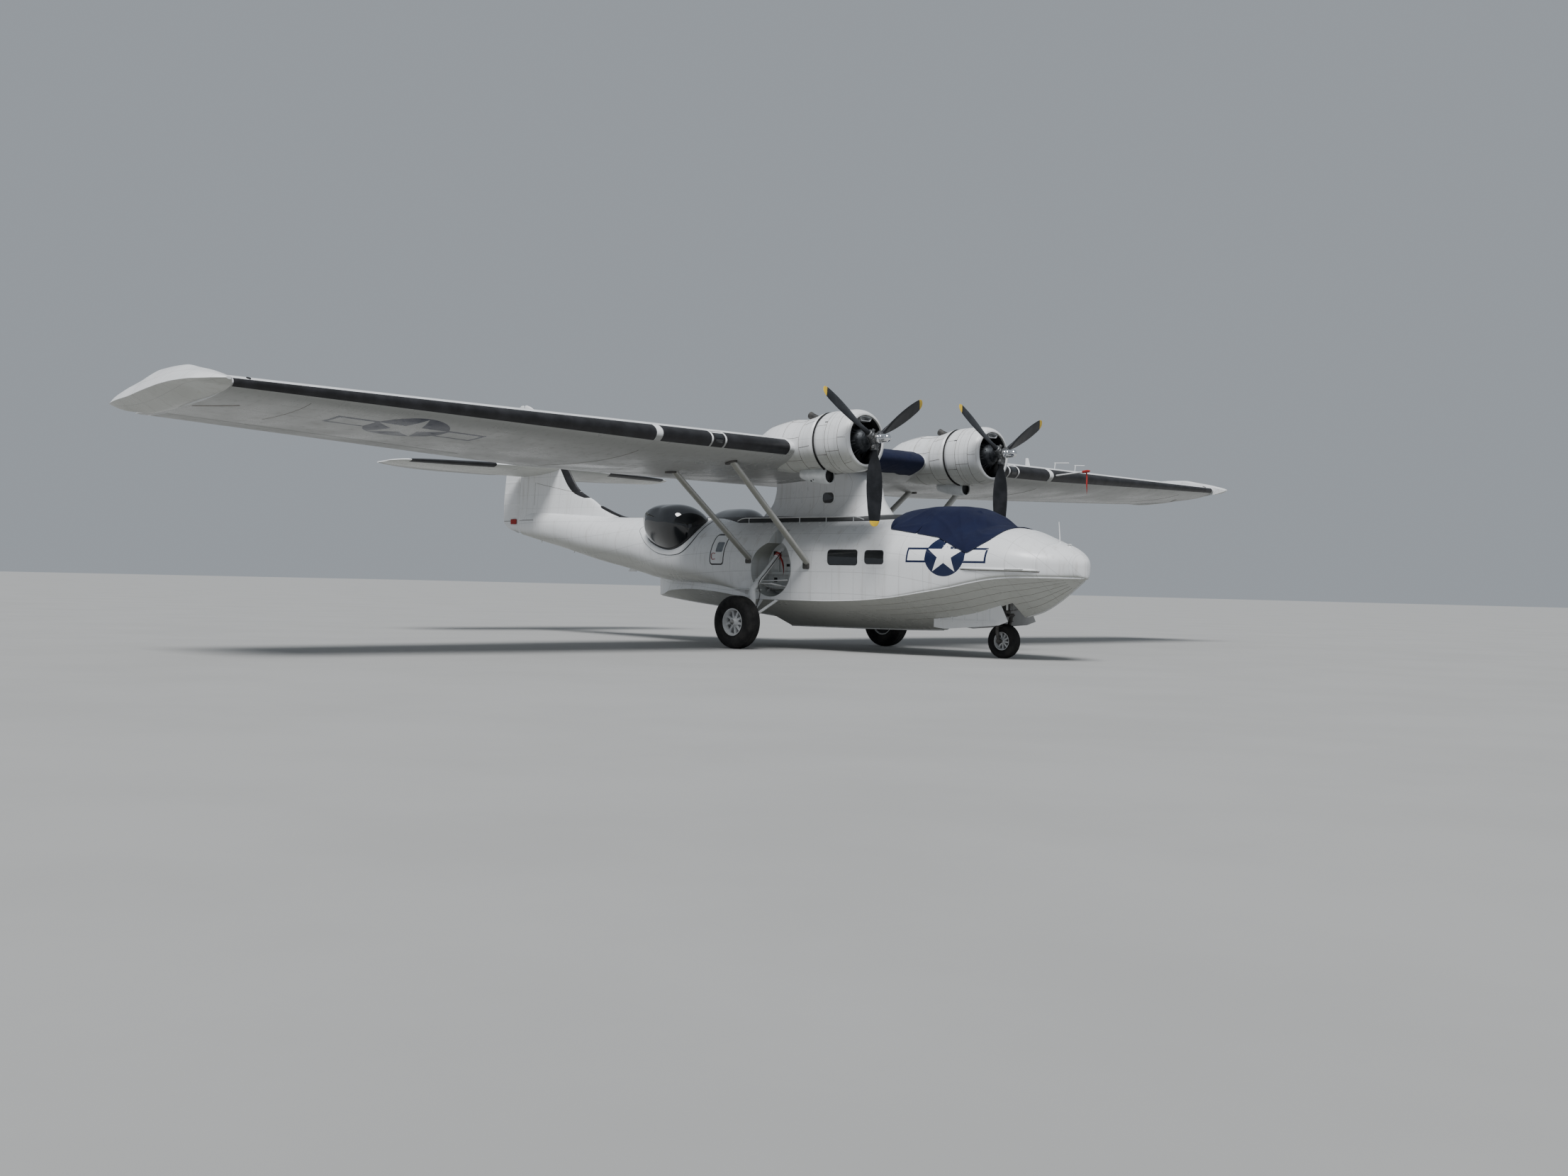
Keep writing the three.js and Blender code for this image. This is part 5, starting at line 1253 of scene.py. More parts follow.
def around_edge(side, y, skin, more=0.0):
    """The wing's leading edge from the boot's upper edge round the nose to its lower edge."""
    upper, lower = [np.interp(y, [r[0] for r in BOOT_ROWS], [r[k] for r in BOOT_ROWS]) + more for k in (1, 2)]
    s = np.linspace(0, 1, 12)[None] ** 2
    over = wing_point(side * y[:, None], upper[:, None] * s[:, ::-1], 1, skin)
    under = wing_point(side * y[:, None], lower[:, None] * s[:, 1:], -1, skin)
    return np.concatenate([over, under], axis=1)


def boot_strip(name, side, start, end, skin, more=0.0, count=40):
    """A strip round the leading edge between two distances from the middle."""
    y = np.linspace(start, end, count)
    return shell(name, around_edge(side, y, skin, more), around_edge(side, y, -0.003, more))


for name, side in SIDES.items():
    boots = [boot_strip("boot", side, *band, 0.003) for band in BOOT_BANDS]
    dress(f"wing_boots_{name}", boots, BOOT)
    tapes = [boot_strip("tape", side, *band, 0.0042, 0.002, 6) for band in TAPE_BANDS]
    tapes.append(boot_strip("end", side, 2.86, 2.925, 0.0036, 0.006, 6))
    y, f = np.linspace(4.78, 5.15, 12)[:, None], np.linspace(0.019, 0.027, 4)[None]
    lids = [wing_point(side * y, f, 1, skin) for skin in (0.0042, -0.002)]
    tapes.append(shell("lid", *lids))
    dress(f"boot_tapes_{name}", tapes, MARK_WHITE)
    lamp_y = np.linspace(4.87, 5.06, 12)
    outer, inner = around_edge(side, lamp_y, 0.0052)[:, 4:17], around_edge(side, lamp_y, 0.001)[:, 4:17]
    wear(shell(f"landing_light_{name}", outer, inner), GLASS)


# %% Tail boots
def edge_boot(name, rows, rear, at, place, depth):
    """A boot round a leading edge, a depth in metres back."""
    layers = [tail_faces(rows, rear, at, place, skin, depth) for skin in (0.003, -0.003)]
    outer, inner = (np.concatenate([one[:, ::-1], other[:, 1:]], axis=1) for one, other in layers)
    wear(shell(name, outer, inner), BOOT)


boot_z = np.linspace(3.57, 5.86, 40)
depth = np.interp(boot_z, (3.57, 3.66, 4.4, 5.86), (0.19, 0.3, 0.26, 0.16))
edge_boot("fin_boot", FIN_ROWS, FIN_REAR, boot_z, in_fin, depth[:, None])
for name, side in SIDES.items():
    y = np.linspace(1.92, 4.25, 36)
    edge_boot(f"tailplane_boot_{name}", TAILPLANE_ROWS, TAILPLANE_REAR, y, in_tailplane(side), 0.13)

# %% [markdown]
# ## Walkways, rails and strips
# A dark non-slip walkway runs along the deck and up the foot of the fin. Thin strips cover the keel and the
# chines, and a rubbing strake with a cleat guards the bow where boats come alongside.

# %% Deck walkway
def deck_grid(rows, x, half, lift):
    """The top of the hull, a quarter ellipse each side, between two distances from the middle."""
    beam, middle, top = through(rows, x)[:, -3:].T[:, :, None]
    y = half[:, None] * np.linspace(-1, 1, 17)[None]
    z = middle + (top - middle) * np.sqrt(np.clip(1 - (y / beam) ** 2, 0, 1)) + lift
    return points_at(x[:, None], y, z)


fore_x, aft_x = np.linspace(5.1, MAIN_STEP, 24), np.linspace(MAIN_STEP, -3.0, 24)
dorsal_x = np.linspace(-3.3, -5.3, 20)
fore_half = np.interp(fore_x, (1.38, 4.4, 5.1), (0.86, 0.84, 0.7))
aft_half = np.interp(aft_x, (-3.0, -2.4, -0.6, 0.4, 1.38), (0.12, 0.2, 0.4, 0.84, 0.86))
dorsal_half = np.interp(dorsal_x, (-5.3, -4.0, -3.3), (0.05, 0.13, 0.12))
walk = []
for rows, x, half in ((FORE_ROWS, fore_x, fore_half), (AFTER_ROWS, aft_x, aft_half),
                      (BOOM_ROWS, dorsal_x, dorsal_half)):
    walk.append(shell("walk", *[deck_grid(rows, x, half, up) for up in (0.003, -0.01)]))
dress("deck_walkway", walk, DECK)

# %% Rails and strips
RAIL = {"y": 0.9, "ends": 2.86, "top": 2.925, "foot": 2.8}
# x of the rail's ends and bends, and of its posts
RAIL_BENDS, POSTS = (0.43, 0.6, 4.1, 4.3), np.linspace(0.8, 4.0, 5)
# x of the strake's ends, x and z of the line that it follows
STRAKE_X, STRAKE_LINE = (7.3, 8.85), ((7.22, 9.26), (1.835, 1.8))

rails = []
for side in SIDES.values():
    x = np.linspace(RAIL_BENDS[0], RAIL_BENDS[-1], 30)
    z = np.interp(x, RAIL_BENDS, (RAIL["ends"], RAIL["top"], RAIL["top"], RAIL["ends"]))
    rails.append(rod("rail", points_at(x, side * RAIL["y"], z), 0.012))
    for x in POSTS:
        heights = np.array([RAIL["foot"], RAIL["ends"], RAIL["top"]])
        rails.append(rod("post", points_at(x, side * RAIL["y"], heights), 0.01))
dress("deck_rails", rails, SMALL_WHITE)
strips = []
for rows, start, end in ((FORE_ROWS, 9.36, MAIN_STEP + 0.01), (AFTER_ROWS, MAIN_STEP - 0.02, -3.1)):
    x = np.linspace(start, end, 60)
    keel, chine_y, chine_z = through(rows, x)[:, :3].T
    for side in SIDES.values():
        edge = points_at(x, side * (chine_y + 0.004), chine_z - 0.004)
        strips.append(rod("chine", edge, np.interp(x, (-3.1, -2.4), (0.005, 0.008)), 8))
    middle = points_at(x, 0, keel - 0.002)
    ahead, behind = x > NOSE_WELL["fore"] + 0.03, x < NOSE_WELL["aft"] - 0.03
    strips += [rod("keel", middle[part], 0.014, 8) for part in (ahead, behind) if part.any()]
dress("keel_and_chine_strips", strips, SMALL_WHITE)

# %% Rubbing strakes and bow fittings
bow_bits = []
for side in SIDES.values():
    x = np.linspace(*STRAKE_X, 34)
    z = np.interp(x, *STRAKE_LINE)
    y = side_y(FORE_ROWS, x, z)
    size = 0.026 * np.minimum(1, np.minimum(x - STRAKE_X[0] + 0.03, STRAKE_X[1] + 0.03 - x) * 6)
    bow_bits.append(rod("strake", points_at(x, side * (y + 0.012), z), size, 10))
    horns = np.array([(8.23, 0.0), (8.27, 0.05), (8.36, 0.062), (8.46, 0.062), (8.55, 0.05), (8.59, 0.0)])
    y = side_y(FORE_ROWS, horns[:, 0], np.full(6, 1.83)) + horns[:, 1]
    bow_bits.append(rod("cleat", bend_through(points_at(horns[:, 0], side * y, 1.83), 24), 0.014, 10))
cone = [(0, 2.2), (0.075, 2.2), (0.06, 2.26), (0.03, 2.335), (0.045, 2.345), (0.045, 2.36), (0, 2.36)]
bow_bits.append(turned("mooring_post", cone, (8.99, 0, 0), "z", 24, crease=40))
dress("bow_fittings", bow_bits, SMALL_WHITE)
# a dark line just below each rubbing strake is the strake's painted shadow
strake_shadows = []
for side in SIDES.values():
    x = np.linspace(STRAKE_X[0] + 0.02, STRAKE_X[1] - 0.02, 34)
    z = np.interp(x, *STRAKE_LINE) - 0.03
    strake_shadows.append(rod("joint", points_at(x, side * (side_y(FORE_ROWS, x, z) + 0.001), z), 0.007, 8))
dress("strake_painted_shadows", strake_shadows, SEAM_AND_SHADOW_LINE)
mast_path = bend_through([(8.76, 0, 2.33), (8.75, 0, 2.5), (8.73, 0, 2.7), (8.72, 0, 2.81)], 14)
mast = [rod("mast_rod", mast_path, np.linspace(0.014, 0.008, 14))]
foot = [(0, 2.3), (0.05, 2.3), (0.045, 2.36), (0.02, 2.4), (0, 2.4)]
mast.append(turned("mast_foot", foot, (8.757, 0, 0), "z", 20))
dress("bow_mast_rod", mast, SMALL_WHITE, stands_for="bow_mast")

# %% [markdown]
# ## Windows and the cabin hatch

# %% Hull windows
# low corner, high corner, radius of the corners, shear
WINDOWS = [((3.87, 1.875), (4.69, 2.175), 0.06, -0.12), ((4.92, 1.905), (5.4, 2.165), 0.05, -0.12)]
for name, side in SIDES.items():
    place = on_hull(FORE_ROWS, side)
    panes, seals, frames = [], [], []
    for low, high, radius, shear in WINDOWS:
        edge = rounded(low, high, radius, shear=shear)
        grown = rounded(np.subtract(low, 0.02), np.add(high, 0.02), radius + 0.02, shear=shear)
        outer = rounded(np.subtract(low, 0.1), np.add(high, 0.1), radius + 0.1, shear=shear)
        panes.append(plaque("pane", edge, place, 0.004, 0.008))
        seals.append(plaque("seal", grown, place, 0.003, 0.008))
        frames.append(plaque("frame", outer, place, 0.0018, 0.008))
    dress(f"window_panes_{name}", panes, GLASS)
    dress(f"window_seals_{name}", seals, SEAL)
    dress(f"window_frames_{name}", frames, SMALL_WHITE)
    place = on_pylon(side)
    port = rounded((2.67, 3.26), (3.02, 3.5), 0.1, 0.04)
    wear(plaque(f"pylon_pane_{name}", port, place, 0.004, 0.01), GLASS)
    around = rounded((2.64, 3.23), (3.05, 3.53), 0.13, 0.04)
    band = rim(f"pylon_window_band_{name}", around, port, place, 0.008, 0.016)
    wear(band, SMALL_WHITE)

# %% Cabin hatch
starboard = on_hull(AFTER_ROWS, -1)
hatch_low, hatch_high = (HATCH["aft"], HATCH["low"]), (HATCH["fore"], HATCH["high"])
recess = plaque("hatch_recess", rounded(hatch_low, hatch_high, 0.1), starboard, 0.05, 0.05 + HATCH["recess"])
combine(after_hull, [recess], crease=25)
after_hull.data.materials.clear()
after_hull.data.materials.append(WHITE)
edge = rounded(np.add(hatch_low, HATCH["gap"]), np.subtract(hatch_high, HATCH["gap"]), 0.09)
leaf = plaque("hatch_leaf", edge, starboard, 0.0, 0.036, rings=8)
wear(leaf, WHITE, "cabin_hatch", "cabin_hatch")
inner = rounded(np.add(hatch_low, HATCH["seal"]), np.subtract(hatch_high, HATCH["seal"]), 0.066)
wear(rim("hatch_border", edge, inner, starboard, 0.0015, 0.004), SEAL, "cabin_hatch")
peephole = rounded((0.305, 2.13), (0.54, 2.36), 0.04, 0.04)
wear(plaque("hatch_pane", peephole, starboard, 0.002, 0.006), PANE_GREY, "cabin_hatch")
handle = [(0.32, 0, 1.97), (0.23, 0, 1.96), (0.185, 0, 2.03), (0.21, 0, 2.1), (0.31, 0, 2.1)]
handle = bend_through(handle, 26)
handle[:, 1] = -side_y(AFTER_ROWS, handle[:, 0], handle[:, 2]) - 0.006
wear(rod("hatch_handle", handle, 0.007), RED, "cabin_hatch")

# %% [markdown]
# ## Landing gear
# Each main wheel stands on a lever that folds up against the hull: a knuckle that carries the axle, a shock
# strut that leans inwards to the top of the well, and two braces to a cross tube in the well. The wheels are
# cast, with nine windows each.

# %% Bolts and bars
def bolts(centre, radius, count, size, height, side):
    """A ring of hexagonal bolt heads about an axis along y; they stand out to the side."""
    angle = (np.arange(count) + 0.5) * 2 * np.pi / count
    places = points_at(centre[0] + radius * np.sin(angle), centre[1], centre[2] + radius * np.cos(angle))
    low, high = side * height * 0.8, side * height
    profile = [(0, 0), (size, 0), (size, low), (size * 0.8, high), (0, high)]
    return [turned("bolt", profile, place, "y", 6, 20) for place in places]


def bars(rows, side, x=0.0):
    """Bars from rows of start, end, both radii and the sides' count; x is from a place and y outwards."""
    return [bar("bar", *((x + a, side * b, c) for a, b, c in (start, end)), *size)
            for start, end, *size in rows]


# %% Wheels and tyres
MAIN_WHEEL = {"x": 2.11, "y": 2.51, "z": 0.57834, "radius": 0.578, "rim": 0.299, "half": 0.149,
              "bore": 0.0428}
NOSE_WHEEL = {"x": 7.43, "y": 0.0, "z": 0.35692, "radius": 0.3565, "rim": 0.189, "half": 0.0925,
              "bore": 0.0308}
WHEEL_WINDOWS = 9


def tyre_profile(radius, rim, half):
    """Radius and half width from bead to bead: bulging walls, round shoulders, two grooves in the tread."""
    tall, deep = radius - rim, 0.016 * radius
    wall = [(0, 0.74), (0.03, 0.79), (0.1, 0.78), (0.14, 0.8), (0.33, 0.94), (0.52, 1.0), (0.7, 0.97),
            (0.84, 0.87), (0.93, 0.73), (0.98, 0.57), (0.99, 0.42)]
    wall = bend_through(np.array([(rim + a * tall, b * half) for a, b in wall]), 36)
    tread = [(radius - deep, 0.34 * half), (radius - deep, 0.29 * half), (radius, 0.25 * half), (radius, 0)]
    one = np.concatenate([wall, tread])
    return np.concatenate([one, one[-2::-1] * (1, -1)])


def wheel_profile(rim, half, bore, side):
    """Radius and distance along the axle: hub, dished web, and a rim whose lips turn out."""
    lip, hub = rim * 0.94, rim * 0.3
    points = [
        (bore, -1), (hub * 0.8, -1), (hub * 0.95, -0.8), (hub * 1.05, -0.3), (lip * 0.9, -0.2),
        (lip * 0.96, -0.45), (lip * 0.985, -0.9), (lip, -1), (rim, -1), (rim, 1), (lip, 1),
        (lip * 0.985, 0.95), (lip * 0.96, 0.66), (lip * 0.9, 0.4), (hub * 1.15, 0.5), (hub * 0.95, 0.88),
        (hub * 0.8, 1), (bore, 1),
    ]
    return [(r, side * half * along) for r, along in points]


def window_tool(wheel, side, t):
    """A prism through the web; its outline widens outwards and has round corners."""
    inner, outer = wheel["rim"] * 0.39, wheel["rim"] * 0.83
    middle = (inner + outer) / 2
    outline = [(inner, -0.11), (inner, 0.11), (middle, 0.2), (outer, 0.2), (outer, -0.2), (middle, -0.2)]
    r, a = bend_through(np.array(outline + outline[:1]), 25)[:-1].T
    ring = points_at(wheel["x"] + r * np.sin(t + a), side * wheel["y"], wheel["z"] + r * np.cos(t + a))
    return surface("window", np.stack([ring - (0, 0.3, 0), ring + (0, 0.3, 0)]), ends=CLOSED)


def wheel_pieces(wheel, side, body, rim_node, tyre_node):
    """The casting with its windows, bolts and hub cap, a brake drum behind the web, and the tyre."""
    rim, half = wheel["rim"], wheel["half"]
    centre = (wheel["x"], side * wheel["y"], wheel["z"])
    casting = turned("disc", wheel_profile(rim, half, wheel["bore"], side), centre, "y", 72, 30)
    tools = [window_tool(wheel, side, t) for t in round_angles(WHEEL_WINDOWS)]
    combine(casting, tools, crease=30)
    face = (centre[0], side * (wheel["y"] + half * 0.42), centre[2])
    casting = [casting, *bolts(face, rim * 0.86, 18, 0.007, 0.008, side)]
    dress(f"{rim_node}_casting", casting, WHEEL_GREY, body, rim_node, crease=30)
    hub, out = rim * 0.185, half + 0.0004
    cap = [(0, 0), (hub, 0), (hub, 0.008), (hub * 0.82, 0.016), (hub * 0.4, 0.026), (0, 0.028)]
    cap = [(r, side * (out + along)) for r, along in cap]
    wear(turned(f"{rim_node}_cap", cap, centre, "y", 36, 30), STEEL, body)
    drum = [(rim * r, side * half * along) for r, along in DRUM]
    wear(turned(f"{rim_node}_brake_drum", drum, centre, "y", 48, 30), DARK, body)
    profile = tyre_profile(wheel["radius"], rim + 0.0009, half / 0.745)
    wear(turned(f"{tyre_node}_rubber", profile, centre, "y", 96, 28), TYRE, body, tyre_node)


# radius and distance along the axle, as parts of the rim's radius and half width
DRUM = [(0.385, -0.93), (0.85, -0.93), (0.85, -0.34), (0.385, -0.34), (0.385, -0.93)]
for name, side in SIDES.items():
    wheel_pieces(MAIN_WHEEL, side, f"main_wheel_{name}", f"main_wheel_{name}", f"main_tyre_{name}")
wheel_pieces(NOSE_WHEEL, -1, "nose_wheel", "nose_wheel", "nose_tyre")

# %% [markdown]
# A thin grey shell lines each main well. It has the shape of the space that was cut out, a little smaller,
# and it ends at the hull's skin. Ribs, a shelf and dark holes stand on its floor.

# %% Well liners
LINER = {"play": 0.001, "sheet": 0.004}

well_part = (bow_at > WELL["x"] - 0.8) & (bow_at < WELL["x"] + 0.8)
for name, side in SIDES.items():
    liner, space = (well_solid(f"well_{part}_{name}", side, less) for part, less in
                    (("liner", LINER["play"]), ("air", LINER["play"] + LINER["sheet"])))
    liner, inside = (combine(pocket, [slot], "UNION", 30) for pocket, slot in (liner, space))
    combine(liner, [inside], crease=30)
    hull = surface(f"hull_copy_{name}", hull_grid(FORE_ROWS, bow_at[well_part], -0.0008), ends=CLOSED)
    combine(liner, [hull], "INTERSECT", 30)
    liner.name = f"well_liner_{name}"
    wear(liner, WELL_GREY)

# %% Inside the wells
FLOOR = WELL["floor"] + LINER["play"] + LINER["sheet"] + 0.0005
# low x, low z, high x, high z, how far each stiffener stands out
STIFFENERS = [(1.7, 2.0, 2.64, 2.03, 0.05), (1.6, 1.66, 2.74, 1.69, 0.06), (2.36, 1.7, 2.39, 1.99, 0.04),
              (1.66, 1.36, 2.68, 1.385, 0.22), (1.93, 1.7, 1.95, 1.99, 0.03), (2.1, 2.31, 2.3, 2.33, 0.09)]
# x, z, half width, half height
OPENINGS = [(1.8, 2.11, 0.062, 0.055), (2.55, 1.86, 0.045, 0.045), (2.2, 1.85, 0.05, 0.03),
            (1.82, 1.52, 0.05, 0.05)]

for name, side in SIDES.items():
    ribs = []
    for x, z, x_end, z_end, out in STIFFENERS:
        edge = FLOOR + out
        ribs.append(block("rib", *corners(side, (x, FLOOR, z), (x_end, edge, z_end)), 0.004))
        ribs.append(box("flange", *corners(side, (x, edge, z - 0.02), (x_end, edge + 0.003, z_end + 0.01))))
    dress(f"well_ribs_{name}", ribs, WELL_GREY, crease=30)
    # dark plates stand for holes in the well's walls; their black is painted shade of the space behind
    holes = []
    for x, z, half_x, half_z in OPENINGS:
        low, high = (x - half_x, FLOOR, z - half_z), (x + half_x, FLOOR + 0.003, z + half_z)
        holes.append(box("hole", *corners(side, low, high)))
    dress(f"well_holes_{name}", holes, DARK)

# %% [markdown]
# The leg's own pieces. The knuckle is a casting that tapers from the axle up to the shock strut. A flat
# fairing plate on it closes the bottom of the well when the wheel is up.

# %% Main legs
# start and end, both radii, sides; x is from the wheel's middle, y outwards
LEG_BARS = [
    ((0, 1.985, 0.575), (0, 2.21, 0.579), 0.092, 0.085, 28),
    ((0, 2.09, 0.6), (0, 2.07, 1.16), 0.085, 0.098, 28),
    ((0, 2.072, 1.1), (0, 2.045, 1.36), 0.096, 0.066, 28),
    ((-0.42, 1.1, 1.33), (0.42, 1.1, 1.33), 0.045, 0.045, 20),
    ((-0.3, 1.46, 1.485), (0.5, 1.46, 1.515), 0.017, 0.017, 14),
    ((-0.17, 1.62, 1.43), (0.17, 1.62, 1.43), 0.022, 0.022, 14),
    *(((k * 0.06, 2.07, 0.7), (k * 0.36, 1.13, 1.33), 0.036, 0.033, 20) for k in (-1, 1)),
    *(((k * 0.16, 1.62, 1.43), (k * 0.36, 1.13, 1.33), 0.02, 0.02, 14) for k in (-1, 1)),
]
# the same, as shares of the shock strut's line
STRUT_BARS = [
    (0, 0.17, 0.07, 0.062, 28), (0.16, 0.8, 0.054, 0.054, 28), (0.87, 0.99, 0.046, 0.046, 24),
    (0.16, 0.19, 0.072, 0.072, 28), (0.24, 0.255, 0.062, 0.062, 28), (0.76, 0.81, 0.068, 0.068, 28),
    (0.86, 0.89, 0.062, 0.062, 28),
]
STRUT_FOOT, STRUT_TOP = (2.05, 1.315), (1.09, 2.235)


def on_leg(share, side):
    """A point on the shock strut's line, from its foot (0) to its top (1)."""
    y, z = (a + (b - a) * share for a, b in zip(STRUT_FOOT, STRUT_TOP))
    return MAIN_WHEEL["x"], side * y, z


for name, side in SIDES.items():
    x = MAIN_WHEEL["x"]
    white = bars(LEG_BARS, side, x)
    white += [bar("strut", on_leg(low, side), on_leg(high, side), *size) for low, high, *size in STRUT_BARS]
    dress(f"main_leg_{name}_castings", white, SMALL_WHITE, stands_for=f"main_leg_{name}", crease=30)
    bright = [bar("piston", on_leg(0.79, side), on_leg(0.88, side), 0.038, sides=28)]
    bright.append(bar("axle", (x, side * 2.2, MAIN_WHEEL["z"]), (x, side * 2.638, MAIN_WHEEL["z"]), 0.0415))
    dress(f"main_leg_{name}_bright", bright, OLEO)

# %% Fairing plates and hoses
# x, y and z of the corners of the flat, the upright and the lower plate, with each one's thickness
PLATES = [
    ([(1.36, 2.02, 1.3), (2.02, 2.17, 1.285), (2.2, 2.08, 1.28), (2.2, 1.86, 1.285), (1.62, 1.8, 1.3)],
     (0, 0, 0.012)),
    ([(1.5, 1.9, 1.31), (1.62, 1.9, 1.45), (1.72, 1.9, 1.5), (1.96, 1.9, 1.51), (2.03, 1.9, 1.31)],
     (0, 0.012, 0)),
    ([(1.4, 1.96, 1.296), (2.16, 1.96, 1.28), (2.05, 1.96, 1.13), (1.92, 1.96, 1.17)], (0, 0.01, 0)),
]
# x from the wheel's middle, y outwards, z
BRAKE_HOSE = [(0.09, 2.06, 0.72), (0.13, 2.03, 0.95), (0.11, 1.93, 1.2), (0.1, 1.96, 1.45),
              (0.075, 1.7, 1.69), (0.07, 1.22, 2.15)]


def plate(name, outline, thickness):
    """A flat plate with an outline and a thickness in one direction."""
    ring = np.array(outline)
    return surface(name, np.stack([ring, ring + np.array(thickness)]), ends=CLOSED, crease=20)


for name, side in SIDES.items():
    flip = np.array((1, side, 1))
    pieces = [plate("plate", outline * flip, thickness * flip) for outline, thickness in PLATES]
    dress(f"leg_plates_{name}", pieces, SMALL_WHITE)
    hose = bend_through((np.array(BRAKE_HOSE) + (MAIN_WHEEL["x"], 0, 0)) * flip, 40)
    wear(rod(f"brake_hose_{name}", hose, 0.009, 8), HOSE)

# %% [markdown]
# The nose wheel hangs in a fork that turns under a fixed leg. The fork, its towing lug and the leg are dark,
# and the two doors that stand open beside them are white. The box that it folds into has a roof with frames.

# %% Nose fork and leg
STEER_X = 7.46
FORK_BOSS = [(0, 0.141), (0.05, 0.141), (0.054, 0.15), (0.054, 0.205), (0.042, 0.222), (0, 0.224)]
LEG_PROFILE = [(0.0625, 0.931), (0.092, 0.931), (0.0975, 0.942), (0.0975, 0.99), (0.088, 1.0), (0.088, 1.42),
               (0.0975, 1.44), (0.0975, 1.497), (0.0625, 1.497)]
# start and end, both radii, sides; x is from the steering axis, y outwards
NOSE_BRACES = [((-0.1, 0.07, 1.05), (-0.71, 0.24, 1.46), 0.03, 0.03, 20),
               ((-0.02, 0.1, 1.2), (-0.03, 0.39, 1.47), 0.026, 0.026, 20)]

axle_x, axle_z = NOSE_WHEEL["x"], NOSE_WHEEL["z"]
fork = [bar("tube", (STEER_X, 0, 0.86), (STEER_X, 0, 1.398), 0.0575, sides=32)]
fork.append(block("crown", (STEER_X - 0.074, -0.234, 0.852), (STEER_X + 0.074, 0.234, 0.928), 0.022))
fork.append(block("tow_lug", (STEER_X + 0.06, -0.039, 0.872), (STEER_X + 0.129, 0.039, 0.91), 0.012))
for side in (-1, 1):
    arm = [(axle_x, side * 0.182, axle_z), (axle_x - 0.03, side * 0.205, 0.62), (STEER_X, side * 0.2, 0.9)]
    fork.append(rod("arm", bend_through(arm, 14), np.linspace(0.034, 0.043, 14), 20, 40))
    fork.append(turned("boss", [(r, side * a) for r, a in FORK_BOSS], (axle_x, 0, axle_z), "y", 32, 30))
    for z in (0.66, 0.76):
        web = corners(side, (STEER_X - 0.03, 0.178, z), (STEER_X + 0.05, 0.202, z + 0.012))
        fork.append(block("web", *web, 0.003))
dress("nose_fork_castings", fork, FITTING, "nose_fork", "nose_fork", crease=35)
wear(bar("nose_axle", (axle_x, -0.1405, axle_z), (axle_x, 0.1405, axle_z), 0.0298), STEEL,
     "nose_fork")
leg = [turned("barrel", LEG_PROFILE, (STEER_X, 0, 0), "z", 40, 25)]
leg += bars(NOSE_BRACES, -1, STEER_X) + bars(NOSE_BRACES, 1, STEER_X)
dress("nose_leg_castings", leg, FITTING, stands_for="nose_leg", crease=30)

# %% Nose doors
# x and z round the door's outline, starting at its lower rear corner
NOSE_DOOR = [(5.96, 0.6), (6.25, 0.57), (7.0, 0.63), (7.65, 0.69), (7.87, 0.77), (7.75, 1.0), (7.58, 1.29),
             (6.8, 1.295), (5.96, 1.295), (5.96, 0.95)]

for name, side in SIDES.items():
    skin = plate(f"nose_door_{name}_skin", [(x, side * 0.481, z) for x, z in NOSE_DOOR], (0, side * 0.007, 0))
    wear(skin, SMALL_WHITE, stands_for=f"nose_door_{name}")
    ribs = []
    for x in 6.1 + 0.32 * np.arange(5):
        ribs.append(block("rib", *corners(side, (x, 0.4885, 0.72), (x + 0.035, 0.4985, 1.25)), 0.003))
    for z in (0.74, 1.22):
        ribs.append(box("rail", *corners(side, (6.05, 0.499, z), (7.58, 0.5, z + 0.03))))
    dress(f"nose_door_{name}_ribs", ribs, SMALL_WHITE)

# %% Nose well
NOSE_PLAY = 0.002
aft, fore, half, top = (NOSE_WELL[key] for key in ("aft", "fore", "half", "top"))
roof = (aft + NOSE_PLAY, NOSE_PLAY - half, top - 0.006), (fore - NOSE_PLAY, half - NOSE_PLAY, top - 0.0015)
walls = [box("roof", *roof)]
for x in aft + 0.16 + 0.24 * np.arange(8):
    if abs(x - STEER_X) > 0.16:
        walls.append(block("frame", (x, -half + 0.01, top - 0.05), (x + 0.03, half - 0.01, top - 0.0065),
                           0.003))
    for side in (-1, 1):
        post = corners(side, (x, half - 0.035, 1.0), (x + 0.03, half - 0.002, top - 0.052))
        walls.append(block("post", *post, 0.003))
dress("nose_well_structure", walls, WELL_GREY)

# %% [markdown]
# ## Engines and propellers
# Each engine is a two-row radial: a nose case, seven finned cylinders in each row with push rods, and a light
# intake duct in the top of the cowl's mouth. A near-black shell lines the cowl and a near-black screen stands
# behind the cylinders, as painted shade of the cowl's depths. The hub clamps three broad blades, and a long
# polished dome stands in front of it.

# %% Engines
CASE_PROFILE = [(0, -0.081), (0.066, -0.081), (0.072, -0.11), (0.078, -0.135), (0.13, -0.15), (0.152, -0.165),
                (0.165, -0.215), (0.205, -0.255), (0.235, -0.3), (0.248, -0.375), (0.285, -0.43),
                (0.298, -0.52), (0.298, -1.04), (0.25, -1.08), (0.25, -1.136), (0, -1.136)]
LINING = [(0.5015, -0.238), (0.4955, -0.29), (0.5025, -0.4), (0.5575, -0.62), (0.5875, -0.9), (0.5725, -1.13),
          (0.5695, -1.13), (0.5845, -0.9), (0.5545, -0.62), (0.4995, -0.4), (0.4925, -0.29), (0.4985, -0.238)]
SCREEN = [(0.302, -1.0), (0.572, -1.0), (0.572, -1.004), (0.302, -1.004)]
CYLINDERS = {"count": 7, "foot": 0.27, "neck": 0.42, "head": 0.488, "fins": 13, "head_fins": 8}
